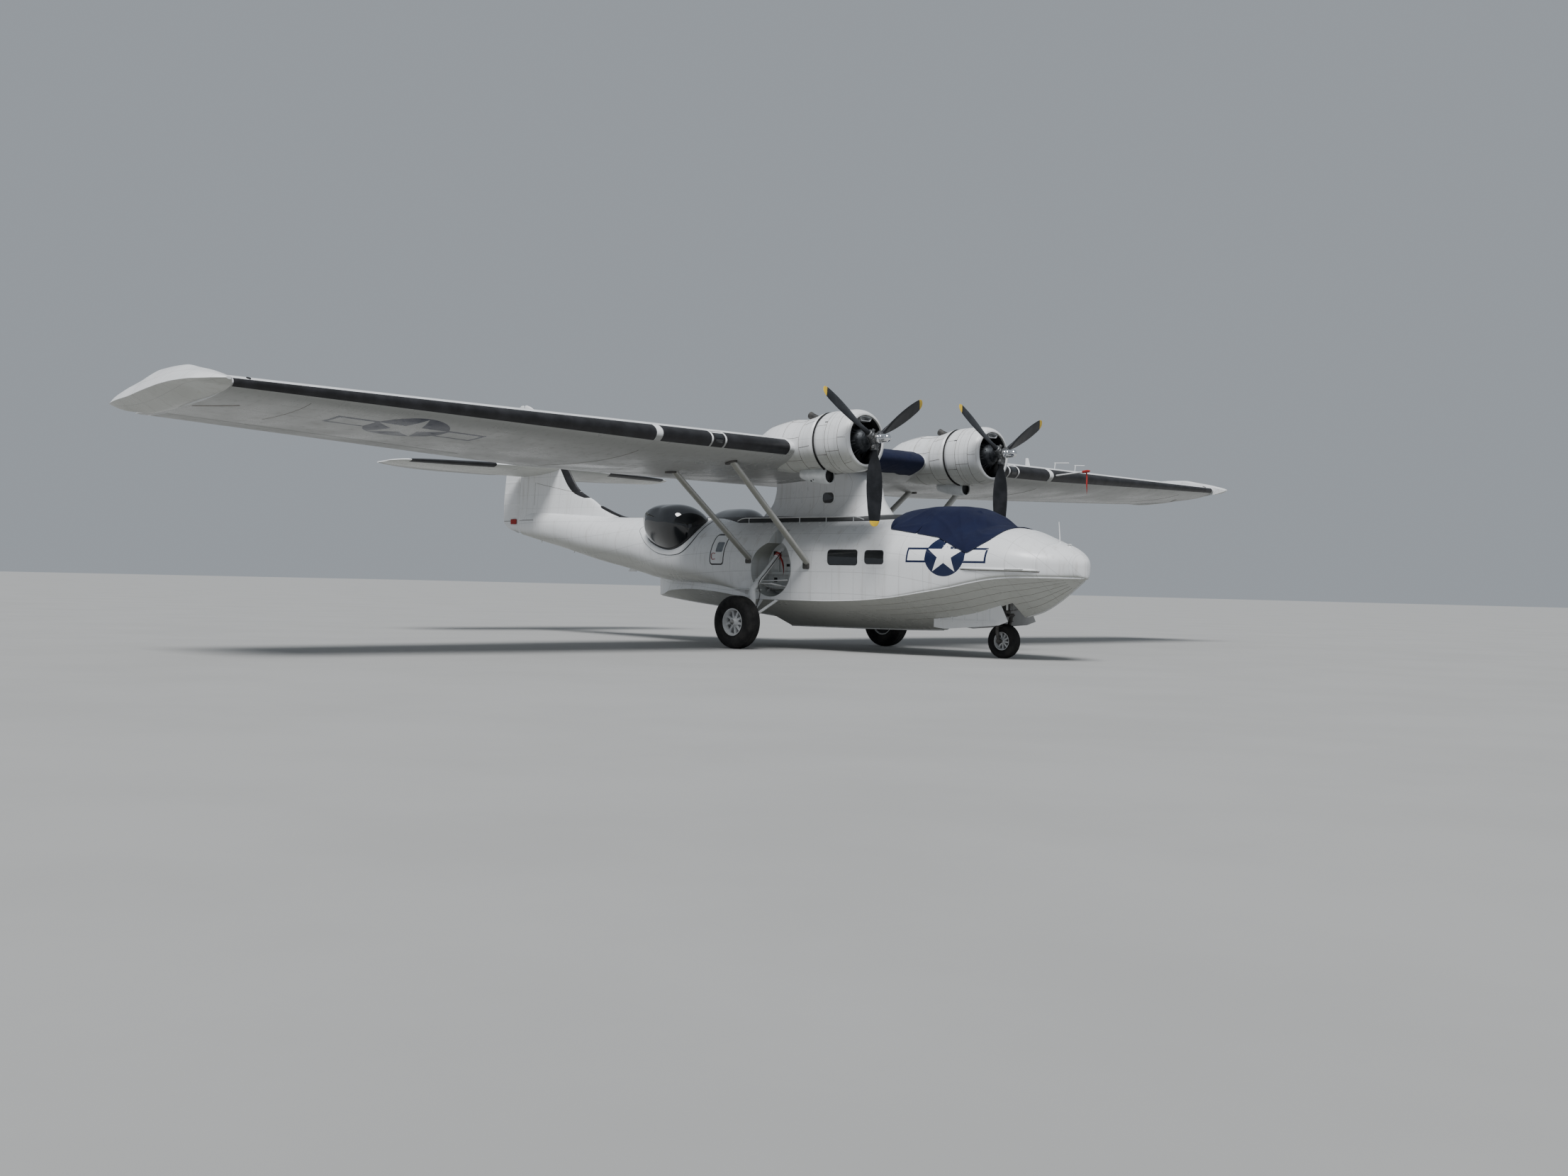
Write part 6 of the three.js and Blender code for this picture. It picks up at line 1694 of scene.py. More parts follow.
# low and high corner of a rocker cover; start, end, both radii and sides of a push rod and a plug
ROCKER = ((-0.03, 0.02, 0.455), (0.075, 0.07, 0.487))
PUSH_ROD = ((0.285, 0.028, 0.215), (0.07, 0.048, 0.462), 0.011, 0.011, 8)
PLUG = ((0.05, 0, 0.44), (0.115, 0, 0.452), 0.012, 0.012, 8)
NUT = [(0, 0), (0.009, 0), (0.009, 0.014), (0, 0.016)]
CASE_NUTS = {"count": 14, "radius": 0.224, "along": -0.283}
# distance along the thrust line, share of a cylinder's pitch that the row is turned by
CYLINDER_ROWS = [(-0.6, 0.0), (-0.86, 0.5)]
INTAKE = {"front": -0.232, "back": -0.4, "low": 0.385, "high": 0.492, "low_half": 0.135, "high_half": 0.19,
          "wall": 0.014}


def fins(foot, top, count, inner, outer, web):
    """Radius and height of a stack of thin fins; the web between two takes that share of their pitch."""
    z, pitch = np.linspace(foot, top, count, retstep=True)
    rise = np.array((0, web, 0.66, 0.9)) * pitch
    radius, height = np.broadcast_arrays((inner, inner, outer, outer), z[:-1, None] + rise)
    return np.column_stack((radius.ravel(), height.ravel()))


def cylinder_profile():
    """Radius and height: a barrel with thin fins, then a head with closer, wider fins."""
    c = CYLINDERS
    barrel = fins(c["foot"], c["neck"], c["fins"], 0.055, 0.073, 0.62)
    head = fins(c["neck"], c["head"], c["head_fins"], 0.068, 0.086, 0.6)
    return np.concatenate([[(0, barrel[0, 1])], barrel, head, [(0, head[-1, 1])]])


def about_thrust(piece, side, angle, along=0.0):
    """Turns a piece made about the origin, z outwards, by an angle about the thrust line and seats it."""
    move = Matrix.Translation((SHIFT + PROPELLER["x"], side * PROPELLER["y"], PROPELLER["z"]))
    move = move @ Matrix.Rotation(PROPELLER["tilt"], 4, "Y") @ Matrix.Translation((along, 0, 0))
    piece.data.transform(move @ Matrix.Rotation(angle, 4, "X") @ Matrix.Translation((-SHIFT, 0, 0)))
    return piece


def trapezoid(along, grow):
    """The intake's outline at a place along the thrust line, wider than its bore by grow."""
    c = INTAKE
    low, high = c["low"] - grow, c["high"] + grow
    points = [(-c["low_half"] - grow, low), (c["low_half"] + grow, low), (c["high_half"] + grow, high - 0.03)]
    points += [(0.1, high), (-0.1, high), (-c["high_half"] - grow, high - 0.03)]
    return np.array([(along, y, z) for y, z in points])


def intake(name, side):
    """A duct with thin walls: out at the front and back inside."""
    front, back, wall = INTAKE["front"], INTAKE["back"], INTAKE["wall"]
    rings = [(back, 0), (front - 0.004, 0), (front, -0.003), (front, -wall + 0.003), (front - 0.004, -wall),
             (back + 0.03, -wall)]
    grid = np.stack([thrust(trapezoid(along, grow), side) for along, grow in rings])
    return surface(name, grid, ends=CLOSED, crease=30)


def engine(name, side):
    """All of one engine in three finishes."""
    cast, finned = [on_thrust("crankcase", CASE_PROFILE, side, 48, crease=30)], []
    for along, turned_by in CYLINDER_ROWS:
        for k in range(CYLINDERS["count"]):
            angle = -(k + turned_by) * 2 * np.pi / CYLINDERS["count"]
            one = turned("cylinder", cylinder_profile(), (0, 0, 0), "z", 24, 25)
            finned.append(about_thrust(one, side, angle, along))
            if along != CYLINDER_ROWS[0][0]:
                continue
            for lean in (-1, 1):
                for piece in (block("rocker", *corners(lean, *ROCKER)), *bars([PUSH_ROD], lean)):
                    cast.append(about_thrust(piece, side, angle, along))
            finned.append(about_thrust(*bars([PLUG], 1), side, angle, along))
    nuts = CASE_NUTS
    for k in range(nuts["count"]):
        nut = turned("nut", NUT, (0, 0, nuts["radius"]), "x", 6, 20)
        cast.append(about_thrust(nut, side, (k + 0.5) * 2 * np.pi / nuts["count"], nuts["along"]))
    # the lining and the screen behind the cylinders are near black: painted shade deep in the cowl
    dark = [on_thrust("lining", LINING, side, 72, crease=30), on_thrust("screen", SCREEN, side, 64)]
    dress(f"engine_castings_{name}", cast, CAST, "airframe", f"engine_{name}", crease=28)
    dress(f"engine_cylinders_{name}", finned, FIN_METAL, crease=28)
    dress(f"engine_shade_screens_{name}", dark, COWL_INSIDE, crease=28)
    wear(intake(f"intake_duct_{name}", side), INTAKE_GREY)


# near black: the painted shade inside the cowl; the oil cooler's core takes it too
COWL_INSIDE = worn("cowl_inside", (0.012, 0.013, 0.015), (0.028, 0.029, 0.03), 0.6, 0.0, 6.0)
INTAKE_GREY = worn("intake_paint", (0.55, 0.56, 0.57), (0.4, 0.41, 0.42), 0.42, 0.0, 9.0)
for name, side in SIDES.items():
    engine(name, side)

# %% Propellers
# radius, chord, thickness, pitch in degrees
BLADE_ROWS = [
    (0.1, 0.108, 0.108, 40), (0.22, 0.112, 0.106, 40), (0.3, 0.13, 0.1, 40), (0.42, 0.196, 0.078, 39),
    (0.55, 0.262, 0.058, 37), (0.8, 0.332, 0.042, 32), (1.05, 0.35, 0.032, 28), (1.3, 0.332, 0.024, 24),
    (1.5, 0.298, 0.019, 22), (1.62, 0.264, 0.015, 20), (1.7, 0.222, 0.012, 20), (1.752, 0.168, 0.01, 19),
    (1.78, 0.1, 0.008, 19), (1.789, 0.03, 0.005, 19),
]
TIP_YELLOW, BLADE_ROUND = 1.675, 1.74
BLADE_PHASE = {"right": 0.0, "left": -0.035}
HUB_PROFILE = [(0.0, -0.0795), (0.088, -0.0795), (0.098, -0.074), (0.106, -0.05), (0.118, -0.035),
               (0.12, 0.03), (0.112, 0.05), (0.1, 0.062), (0.097, 0.085), (0.103, 0.092), (0.103, 0.108),
               (0.096, 0.118), (0.0, 0.118)]
CLAMP_PROFILE = [(0.0, 0.04), (0.078, 0.04), (0.078, 0.13), (0.084, 0.135), (0.084, 0.158), (0.078, 0.163),
                 (0.078, 0.19), (0.086, 0.195), (0.086, 0.222), (0.08, 0.228), (0.066, 0.232), (0.0, 0.232)]
# the counterweight's start, end, radii and sides, and its arm's low and high corner
WEIGHT = ((0.03, 0.062, 0.155), (0.062, 0.128, 0.172), 0.034, 0.034, 20)
WEIGHT_ARM = ((0.0, 0.03, 0.13), (0.05, 0.1, 0.2))
DOME_PROFILE = [(0.0, 0.1205), (0.094, 0.1205), (0.0985, 0.124), (0.0985, 0.15), (0.092, 0.156),
                (0.088, 0.165), (0.0875, 0.205), (0.091, 0.21), (0.091, 0.222), (0.0875, 0.228), (0.087, 0.3),
                (0.084, 0.345), (0.074, 0.378), (0.055, 0.402), (0.03, 0.413), (0.0, 0.4165)]


def blade_part(name, low, high):
    """Part of a blade between two radii: sections blunt in front, each set at the pitch there."""
    at = np.linspace(low, high, 46)
    if high > BLADE_ROUND:
        t = np.linspace(0.15, np.pi / 2, 10)
        at = np.concatenate([np.linspace(low, BLADE_ROUND, 8),
                             BLADE_ROUND + (high - BLADE_ROUND) * np.sin(t)])
    chord, thick, pitch = through(BLADE_ROWS, at).T[:, :, None]
    t = round_angles(28)
    across = np.cos(t) * chord / 2
    deep = np.sin(t) * (1 + 0.3 * np.cos(t) * (chord > 0.15)) * thick / 2
    turn = np.radians(pitch)
    x = across * np.sin(turn) + deep * np.cos(turn)
    y = -across * np.cos(turn) + deep * np.sin(turn)
    return surface(name, points_at(x, y, at[:, None]), ends=CLOSED, crease=40)


def propeller(name, side):
    """Hub with clamps and counterweights, three black blades and their yellow tips."""
    body = f"propeller_{name}"
    hub, black, yellow = [on_thrust("hub", HUB_PROFILE, side, 48, crease=30)], [], []
    for k in range(3):
        angle = math.pi + BLADE_PHASE[name] + k * 2 * math.pi / 3
        parts = [turned("clamp", CLAMP_PROFILE, (0, 0, 0), "z", 32, 28), *bars([WEIGHT], 1)]
        parts.append(block("weight_arm", *WEIGHT_ARM, 0.012))
        parts += bars([((x, 0.085, z), (x, -0.085, z), 0.012, 0.012, 8) for z in (0.08, 0.13)
                       for x in (0.055, -0.055)], 1)
        hub += [about_thrust(piece, side, angle) for piece in parts]
        black.append(about_thrust(blade_part("blade", 0.2, TIP_YELLOW), side, angle))
        yellow.append(about_thrust(blade_part("tip", TIP_YELLOW + 0.0002, BLADE_ROWS[-1][0]), side, angle))
    dress(f"propeller_hub_{name}", hub, HUB_GREY, body, f"propeller_{name}", crease=30)
    dress(f"propeller_blades_{name}", black, BLADE_BLACK, body)
    dress(f"propeller_tips_{name}", yellow, BLADE_YELLOW, body)
    dome = on_thrust(f"dome_shell_{name}", DOME_PROFILE, side, 64, crease=28)
    wear(dome, CHROME, body, f"propeller_dome_{name}")


for name, side in SIDES.items():
    propeller(name, side)

# %% [markdown]
# ## Observation blisters
# A big dark glazed dome bulges out of each side behind the wing; its near-black colour is painted shade of
# the inside. Its sill is a closed curve on the hull, and every point of the dome lies on a quarter ellipse
# from the sill up to one pole. A white band and a thin black seal lie round the sill.

# %% Sill curves
# x, z round the sill, from its rear corner along the bottom, and round the band's outer edge
SILL = [(-2.6, 2.64), (-2.48, 2.5), (-2.31, 2.38), (-1.885, 2.24), (-1.43, 2.18), (-1.04, 2.27),
        (-0.79, 2.48), (-0.73, 2.74), (-0.86, 2.9), (-1.2, 2.945), (-1.65, 2.95), (-2.08, 2.93), (-2.4, 2.84)]
BAND = [(-3.0, 2.71), (-2.76, 2.51), (-2.44, 2.31), (-1.95, 2.12), (-1.41, 2.06), (-0.95, 2.13),
        (-0.67, 2.38), (-0.6, 2.74), (-0.7, 2.94), (-1.15, 2.985), (-1.65, 2.99), (-2.15, 2.98), (-2.7, 2.9)]
BLISTER = {"centre": (-1.6, 0.95, 2.6), "out": (0, 0.7, 0.714), "height": 0.79}


def closed_curve(points, count=96, fine=24):
    """A smooth loop through the points: a curve that overlaps itself, without its ends."""
    points = np.array(points[-3:] + points + points[:4])
    steps = (len(points) - 1) * fine
    run = bend_through(points, steps + 1)
    return run[np.linspace(3 * fine, steps - 3 * fine, count + 1).astype(int)[:-1]]


def blister(name, side):
    """The dome as rings from the sill to the pole, with a flat floor inside the hull."""
    place = on_hull(AFTER_ROWS, side)
    base = place(closed_curve(SILL), 0.001)
    centre = np.array(BLISTER["centre"]) * (1, side, 1)
    out = np.array(BLISTER["out"]) * (1, side, 1) * BLISTER["height"]
    t = np.linspace(np.pi / 2, 0, 30)[:, None, None]
    dome = centre + (base - centre) * np.sin(t) ** 0.94 + out * np.cos(t) ** 0.96
    dome[-1] = dome[-1].mean(axis=0)
    inside = base + (0, -side * 0.012, -0.004)
    return surface(f"blister_dome_{name}", np.concatenate([inside[None], dome]), ends=(True, False)), dome


for name, side in SIDES.items():
    glass, dome = blister(name, side)
    wear(glass, GLASS, "airframe", f"blister_{name}")
    wear(rod(f"blister_frames_{name}", np.concatenate([dome[1], dome[1, :1]]), 0.011, 10), SEAL)
    place = on_hull(AFTER_ROWS, side)
    inner, outer = closed_curve(SILL), closed_curve(BAND)
    inner = inner + (inner - inner.mean(axis=0)) * 0.005
    line = outer + (outer - outer.mean(axis=0)) * 0.022
    wear(rim(f"blister_band_{name}", outer, inner, place, 0.014, 0.02), SMALL_WHITE)
    black = outer + (outer - outer.mean(axis=0)) * 0.002
    wear(rim(f"blister_seal_{name}", line, black, place, 0.006, 0.012), SEAL)

# %% [markdown]
# ## Canvas covers
# A navy canvas cover is tied over the cockpit, and another over the leading edge between the engines. Each is
# one sheet. The cockpit's sheet lies taut: at every station it is the shortest way round the roof and the
# hull, like a string pulled round both, so it bridges the hollow between them. Long soft folds run to its
# corners.

# %% The cockpit's section
ROOF_ROWS = [(4.9, 0.56, 3.01), (5.4, 0.82, 3.085), (6.05, 0.9, 3.13), (6.55, 0.88, 3.115), (7.0, 0.8, 2.975),
             (7.28, 0.7, 2.8), (7.45, 0.6, 2.69)]
ROOF_BASE, ROOF_POWER = 2.3, 0.62
COVER = {"over_roof": 0.016, "over_hull": 0.01, "cloth": 0.003}
# x and z of the lower edge, from the rear seam to the front corner
COVER_EDGE = [(5.0, 2.93), (5.12, 2.8), (5.27, 2.64), (5.6, 2.6), (6.1, 2.53), (6.6, 2.46), (7.0, 2.305),
              (7.3, 2.185), (7.42, 2.14), (7.5, 2.19), (7.62, 2.29), (7.75, 2.4), (7.8, 2.49), (7.825, 2.56)]
COVER_AFT, COVER_FORE = 5.0, 7.82


def roof_line(x, count):
    """Half the roof's section at x, as (y, z) from the side up to the middle."""
    half, top = through(ROOF_ROWS, [x])[0] + COVER["over_roof"]
    t = np.linspace(0, np.pi / 2, count)
    across, up = np.cos(t) ** ROOF_POWER, np.sin(t) ** ROOF_POWER
    return np.stack([across * half, ROOF_BASE + (top - ROOF_BASE) * up], axis=1)


def hull_line(x, low):
    """Half the hull's section above a height, as (y, z) from the side up to the middle."""
    ring = hull_grid(FORE_ROWS, [x], COVER["over_hull"])[0]
    ring = ring[: len(ring) // 2 + 1, 1:]
    run = ring[ring[:, 1] > 1.6]
    z = np.concatenate([[low], run[run[:, 1] > low + 0.002, 1]])
    y = np.interp(z, run[:, 1], run[:, 0])
    return np.stack([y, z], axis=1)


def taut(points):
    """The outer way round a set of points, from the lowest to the one in the middle plane."""
    points = points[np.lexsort((-points[:, 0], points[:, 1]))]
    kept = []
    for point in points:
        while len(kept) > 1:
            (ay, az), (by, bz) = kept[-2], kept[-1]
            if (by - ay) * (point[1] - az) - (bz - az) * (point[0] - ay) > 0:
                break
            kept.pop()
        kept.append(point)
    return np.array(kept)


def cover_section(x, count):
    """The sheet at x, evenly spaced from the port edge over the middle to the starboard edge."""
    edge = np.interp(x, *np.array(COVER_EDGE).T)
    parts = [hull_line(x, edge)]
    if x < ROOF_ROWS[-1][0] + 0.05:
        parts.append(roof_line(x, 60))
    points = np.concatenate(parts)
    points = points[points[:, 1] > edge - 0.001]
    top = points[:, 1].max()
    half = taut(np.concatenate([points, [(0, top)]]))
    run = run_of(half)
    even = np.linspace(0, run[-1], count)
    half = np.stack([np.interp(even, run, half[:, k]) for k in (0, 1)], axis=1)
    whole = np.concatenate([half, half[-2::-1] * (-1, 1)])
    return np.column_stack([np.full(len(whole), x), whole])


# %% Folds
# x and share of the girth at both ends, depth and half width of each long fold
COVER_FOLDS = [
    (7.42, 0.0, 6.55, 0.34, 0.016, 0.05), (7.42, 0.0, 7.05, 0.34, 0.014, 0.045),
    (7.42, 0.0, 6.05, 0.22, 0.012, 0.05), (7.76, 0.1, 7.0, 0.3, 0.018, 0.05),
    (5.27, 0.02, 5.95, 0.3, 0.014, 0.06), (5.3, 0.02, 6.3, 0.12, 0.01, 0.05),
    (7.55, 0.22, 7.05, 0.43, 0.012, 0.04), (6.1, 0.05, 6.3, 0.3, 0.008, 0.06),
]


def folds(x, share, table):
    """Depth of the folds: each is a soft ridge along a line, widest in the middle and gone at its ends."""
    total = np.zeros_like(x)
    for x_a, s_a, x_b, s_b, depth, width in table:
        across = np.array((x_b - x_a, (s_b - s_a) * 3))
        length = np.linalg.norm(across)
        u = ((x - x_a) * across[0] + (share - s_a) * 3 * across[1]) / length**2
        away = ((x - x_a) * across[1] - (share - s_a) * 3 * across[0]) / length
        ends = np.clip(u, 0, 1) * np.clip(1.15 - u, 0, 1) * 3.2
        total += depth * ends * np.exp(-((away / width) ** 2))
    return total


def ripples(a, b, seed_table):
    """Small even waves in several directions; each row holds two wave numbers, a shift and a height."""
    return sum(height * np.sin(p * a + q * b + shift) for p, q, shift, height in seed_table)


RIPPLES = [(9.0, 4.0, 0.3, 0.0016), (4.2, -7.5, 1.7, 0.0018), (15.0, 11.0, 2.9, 0.0009),
           (-21.0, 17.0, 0.9, 0.0006)]


def outwards(grid):
    """Unit normals of an open grid."""
    normal = np.cross(np.gradient(grid, axis=0), np.gradient(grid, axis=1))
    return normal / np.maximum(np.linalg.norm(normal, axis=2), 1e-9)[..., None]


def sheet_area(grid):
    """The area of a grid's cells."""
    one = np.cross(grid[1:, :-1] - grid[:-1, :-1], grid[:-1, 1:] - grid[:-1, :-1])
    two = np.cross(grid[:-1, 1:] - grid[1:, 1:], grid[1:, :-1] - grid[1:, 1:])
    return (np.linalg.norm(one, axis=2).sum() + np.linalg.norm(two, axis=2).sum()) / 2


def cloth(name, grid, thickness, offset=1.0):
    """A sheet with a little thickness, by default on the outer side of its grid."""
    piece = surface(name, grid, wrap=False, crease=60, closed=False)
    thick = piece.modifiers.new("thickness", "SOLIDIFY")
    thick.thickness, thick.offset = thickness, offset
    return piece


def hem_of(name, grid, radius=0.007):
    """A rolled hem all round a sheet."""
    loop = np.concatenate([grid[:, 0], grid[-1, 1:], grid[-2::-1, -1], grid[0, -2:0:-1], grid[:1, 0]])
    return wear(rod(name, loop, radius, 8, 60), STITCH)


# %% Cockpit cover
stations = COVER_AFT + (COVER_FORE - COVER_AFT) * np.linspace(0, 1, 96)
grid = np.stack([cover_section(x, 70) for x in stations])
share = 0.5 - np.abs(np.linspace(-0.5, 0.5, grid.shape[1]))[None]
x, y, z = np.moveaxis(grid, 2, 0)
depth = folds(x, share + 0 * x, COVER_FOLDS) + 0.006 + ripples(x, y + z, RIPPLES)
normal = outwards(grid)
normal *= np.sign(normal[:, grid.shape[1] // 2, 2].mean())
knob = np.exp(-(((x - 6.93) / 0.05) ** 2 + ((y + 0.25) / 0.05) ** 2)) * 0.035
grid = grid + normal * (np.maximum(depth, 0.002) + knob)[..., None]
cockpit_sheet = cloth("cockpit_canvas", grid, COVER["cloth"])
wear(cockpit_sheet, CANVAS, "airframe", "cockpit_cover")
hem = hem_of("cockpit_canvas_hem", grid)
girths = [round(float(run_of(row)[-1]), 3) for row in (grid[0], grid[48], grid[82], grid[-1])]
print("cockpit sheet", round(sheet_area(grid), 3), "m2, girths", girths)

# %% Leading-edge cover
WING_COVER = {"half": 1.485, "depth": 0.088}
WING_FOLDS = [(-1.45, 0.02, -0.95, 0.3, 0.01, 0.05), (1.45, 0.05, 0.8, 0.35, 0.012, 0.06),
              (0.2, 0.0, 0.5, 0.3, 0.006, 0.05), (-0.5, 0.98, -0.2, 0.7, 0.007, 0.05),
              (1.3, 0.95, 1.0, 0.6, 0.01, 0.05)]
y = np.linspace(-WING_COVER["half"], WING_COVER["half"], 90)[:, None]
turn = np.linspace(-1, 1, 44)[None]
f = WING_COVER["depth"] * turn**2 * (1 + 0.06 * np.sin(5.0 * y + 1.0) + 0.04 * np.sin(13.0 * y))
above = np.where(turn < 0, -1.0, 1.0) + 0 * y
grid = wing_point(y + 0 * turn, f, above, 0.006)
wave = folds(grid[:, :, 1], (turn + 1) / 2 + 0 * y, WING_FOLDS) + 0.004
wave += ripples(grid[:, :, 1], grid[:, :, 0] * 3, RIPPLES)
away = grid - wing_point(y + 0 * turn, np.full_like(f, 0.09), above * 0.0, 0.0)
away /= np.linalg.norm(away, axis=2)[..., None]
grid = grid + away * np.maximum(wave, 0.001)[..., None]
wing_sheet = cloth("leading_edge_canvas", grid, COVER["cloth"])
wear(wing_sheet, CANVAS, "airframe", "wing_cover")
hem = hem_of("leading_edge_canvas_hem", grid, 0.006)
print("wing sheet", round(sheet_area(grid), 3), "m2, girth", round(float(run_of(grid[45])[-1]), 3))

# %% [markdown]
# ## Cowl details
# Dark lines show where the cowl's rings and panels meet. Each line is a thin strip on the skin.

# %% Cowl seams
# distance along the thrust line, width of the line
COWL_RINGS = [(-0.455, 0.009), (-0.8, 0.01), (-0.7, 0.004)]
# start and end along the thrust line, angles in degrees from the top towards outboard
COWL_LINES = [(-0.455, -0.27, (35, 88, 140, 200, 268, 325)), (-0.8, -0.455, (20, 112, 180, 250)),
              (-1.125, -0.8, (62, 118, 175, 240, 300))]
LATCH_ALONG, LATCH_ANGLES = -0.84, (55, 118, 175, 300, 240)


def cowl_radius(along):
    """The cowl's outer radius at places along the thrust line, from the same smooth run as its skin."""
    profile = np.array(COWL_PROFILE)
    run = run_of(profile)
    radius, place = through(np.column_stack([run, profile]), np.linspace(0, run[-1], 60)).T
    front = np.argmax(place)
    return np.interp(along, place[: front + 1], radius[: front + 1])


def cowl_strip(name, start, end, angle, width, side):
    """A thin strip on the cowl along the thrust line."""
    along = np.linspace(start, end, 12)
    r = cowl_radius(along)[:, None] + np.array((-0.002, 0.0012, 0.0012, -0.002))
    t = math.radians(angle) * side + np.array((-1, -0.8, 0.8, 1)) * width / 1.3
    points = points_at(along[:, None], r * np.sin(t), r * np.cos(t))
    return surface(name, thrust(points, side), ends=CLOSED, crease=20)


for name, side in SIDES.items():
    lines = []
    for along, width in COWL_RINGS:
        r = float(cowl_radius(along))
        low, high, aft, fore = r - 0.002, r + 0.0012, along - width / 2, along + width / 2
        section = [(low, aft), (high, aft), (high, fore), (low, fore)]
        lines.append(on_thrust("ring", section, side, 96))
    for start, end, angles in COWL_LINES:
        lines += [cowl_strip("line", start, end, a, 0.009, side) for a in angles]
    dress(f"cowl_lines_{name}", lines, SEAM_AND_SHADOW_LINE)
    # a near-black ring fills the gap at the cowl's rear: painted shade of the gap
    near, far = COWL_REAR - 0.0004, COWL_REAR - 0.006
    gap = [(0.596, far), (0.646, far), (0.646, near), (0.596, near)]
    wear(on_thrust(f"cowl_gap_{name}", gap, side, 96), DARK)
    latches = []
    r = float(cowl_radius(LATCH_ALONG))
    for angle in LATCH_ANGLES:
        latch = block("latch", (-0.035, -0.009, r - 0.003), (0.035, 0.009, r + 0.01), 0.003)
        latches.append(about_thrust(latch, side, -math.radians(angle) * side, LATCH_ALONG))
    dress(f"cowl_latches_{name}", latches, STEEL)

# %% Nacelle seams and oil cooler cores
# x of the rings; then start x, end x and angles of the lines, in degrees from the top towards outboard
NACELLE_RINGS = [4.1, 3.58]
NACELLE_LINES = [(4.4, 4.11, (48, 100, 150, 212, 262, 310)), (4.09, 3.59, (30, 78, 128, 232, 282, 330)),
                 (3.57, 2.95, (25, 112, 248, 335))]
# radius and distance outwards of the dark holes in the oil cooler's side
COOLER_HOLE = [(0, 0.15), (0.019, 0.15), (0.019, 0.1755), (0, 0.1755)]


def nacelle_skin(x, angle, side):
    """Points on the nacelle at places x and angles in radians."""
    half, bottom, top = through(NACELLE_ROWS, x).T
    y = side * (PROPELLER["y"] + half * np.sin(angle))
    return points_at(x, y, (top + bottom) / 2 + (top - bottom) / 2 * np.cos(angle))


for name, side in SIDES.items():
    lines = []
    for x in NACELLE_RINGS:
        angle = np.linspace(0, 2 * np.pi, 97)
        lines.append(rod("ring", nacelle_skin(np.full(97, x), angle, side), 0.0042, 6))
    for start, end, angles in NACELLE_LINES:
        x = np.linspace(start, end, 14)
        lines += [rod("line", nacelle_skin(x, math.radians(a), side), 0.0038, 6) for a in angles]
    dress(f"nacelle_lines_{name}", lines, SEAM_AND_SHADOW_LINE)
    c = OIL_COOLER
    edge, lip = c["bore"] - 0.001, c["bore"] - 0.004
    core = [(0, -0.075), (edge, -0.075), (edge, -0.012), (lip, -0.012), (lip, -0.07), (0, -0.07)]
    place = (c["x"], side * c["y"], c["z"])
    wear(turned(f"oil_cooler_core_{name}", core, place, "x", 36, 20), COWL_INSIDE)
    # dark plugs stand for holes in the duct's side; their black is painted shade
    holes = []
    for back, angle in ((0.22, 118), (0.33, 128), (0.42, 140)):
        t = math.radians(angle) * side
        hole = turned("hole", COOLER_HOLE, (0, 0, 0), "z", 18, 30)
        move = Matrix.Translation((SHIFT + c["x"] - back, side * c["y"], c["z"] + 0.03))
        hole.data.transform(move @ Matrix.Rotation(-t, 4, "X") @ Matrix.Translation((-SHIFT, 0, 0)))
        holes.append(hole)
    dress(f"oil_cooler_holes_{name}", holes, DARK)

# %% Strut fittings
# x, z of the bracket's low and high corner on the hull
FOOT_BRACKETS = [(3.17, 1.765, 3.34, 1.93), (1.4, 1.875, 1.55, 1.985)]
for name, side in SIDES.items():
    fittings = []
    for x, z, x_high, z_high in FOOT_BRACKETS:
        outline = rounded((x, z), (x_high, z_high), 0.03, 0.03)
        fittings.append(plaque("foot", outline, on_hull(FORE_ROWS, side), 0.035, 0.04))
    for *_, x, y, _ in STRUT_ROWS:
        outline = disc((x, side * y), (0.15, 0.1), 36)
        fittings.append(plaque("top", outline, on_wing(-1), 0.03, 0.034))
    dress(f"strut_fittings_{name}", fittings, FITTING)

# %% [markdown]
# ## Small details
# Seams on the bow's bottom, slots and joints below the wing, the pressure tube with its red cover and ribbon,
# aerials, lamps and tie-down eyes.

# %% Bottom laps of the bow
LAP_SHARES = (0.18, 0.34, 0.5, 0.66, 0.82)
laps = []
for share in LAP_SHARES:
    x = np.linspace(5.6 - 1.2 * share, 9.12, 46)
    keel, chine_y, chine_z = through(FORE_ROWS, x).T[:3]
    y, z = share * chine_y, keel + share * (chine_z - keel)
    open_part = (y > NOSE_WELL["half"] + 0.03) | (x > NOSE_WELL["fore"] + 0.1)
    laps += [rod("lap", points_at(x, side * y, z)[open_part], 0.0032, 6) for side in (-1, 1)]
dress("bow_laps", laps, SEAM_AND_SHADOW_LINE)

# %% Below the wing
# x and y of the ends of the slot for the float's strut, and of both joints across the wing
SLOT = np.array([(2.205, 15.16), (2.72, 14.6)])
WING_JOINTS = [((3.36, 13.68), (1.78, 13.68)), ((3.45, 6.62), (0.3, 6.62))]

under = []
for name, side in SIDES.items():
    place = on_wing(-1)
    slot_a, slot_b = SLOT
    run = (slot_b - slot_a) / np.linalg.norm(slot_b - slot_a)
    wide = np.array((-run[1], run[0])) * 0.028
    outline = np.array([slot_a - wide, slot_b - wide, slot_b + wide, slot_a + wide])
    outline = refined(outline * (1, side), 0.08)
    under.append(plaque(f"float_strut_slot_{name}", outline, place, 0.0015, 0.004))
    for start, end in WING_JOINTS:
        under.append(rod("joint", place(np.linspace(start, end, 24) * (1, side), 0.0), 0.0035, 6))
dress("wing_slots", under, SEAM_AND_SHADOW_LINE)

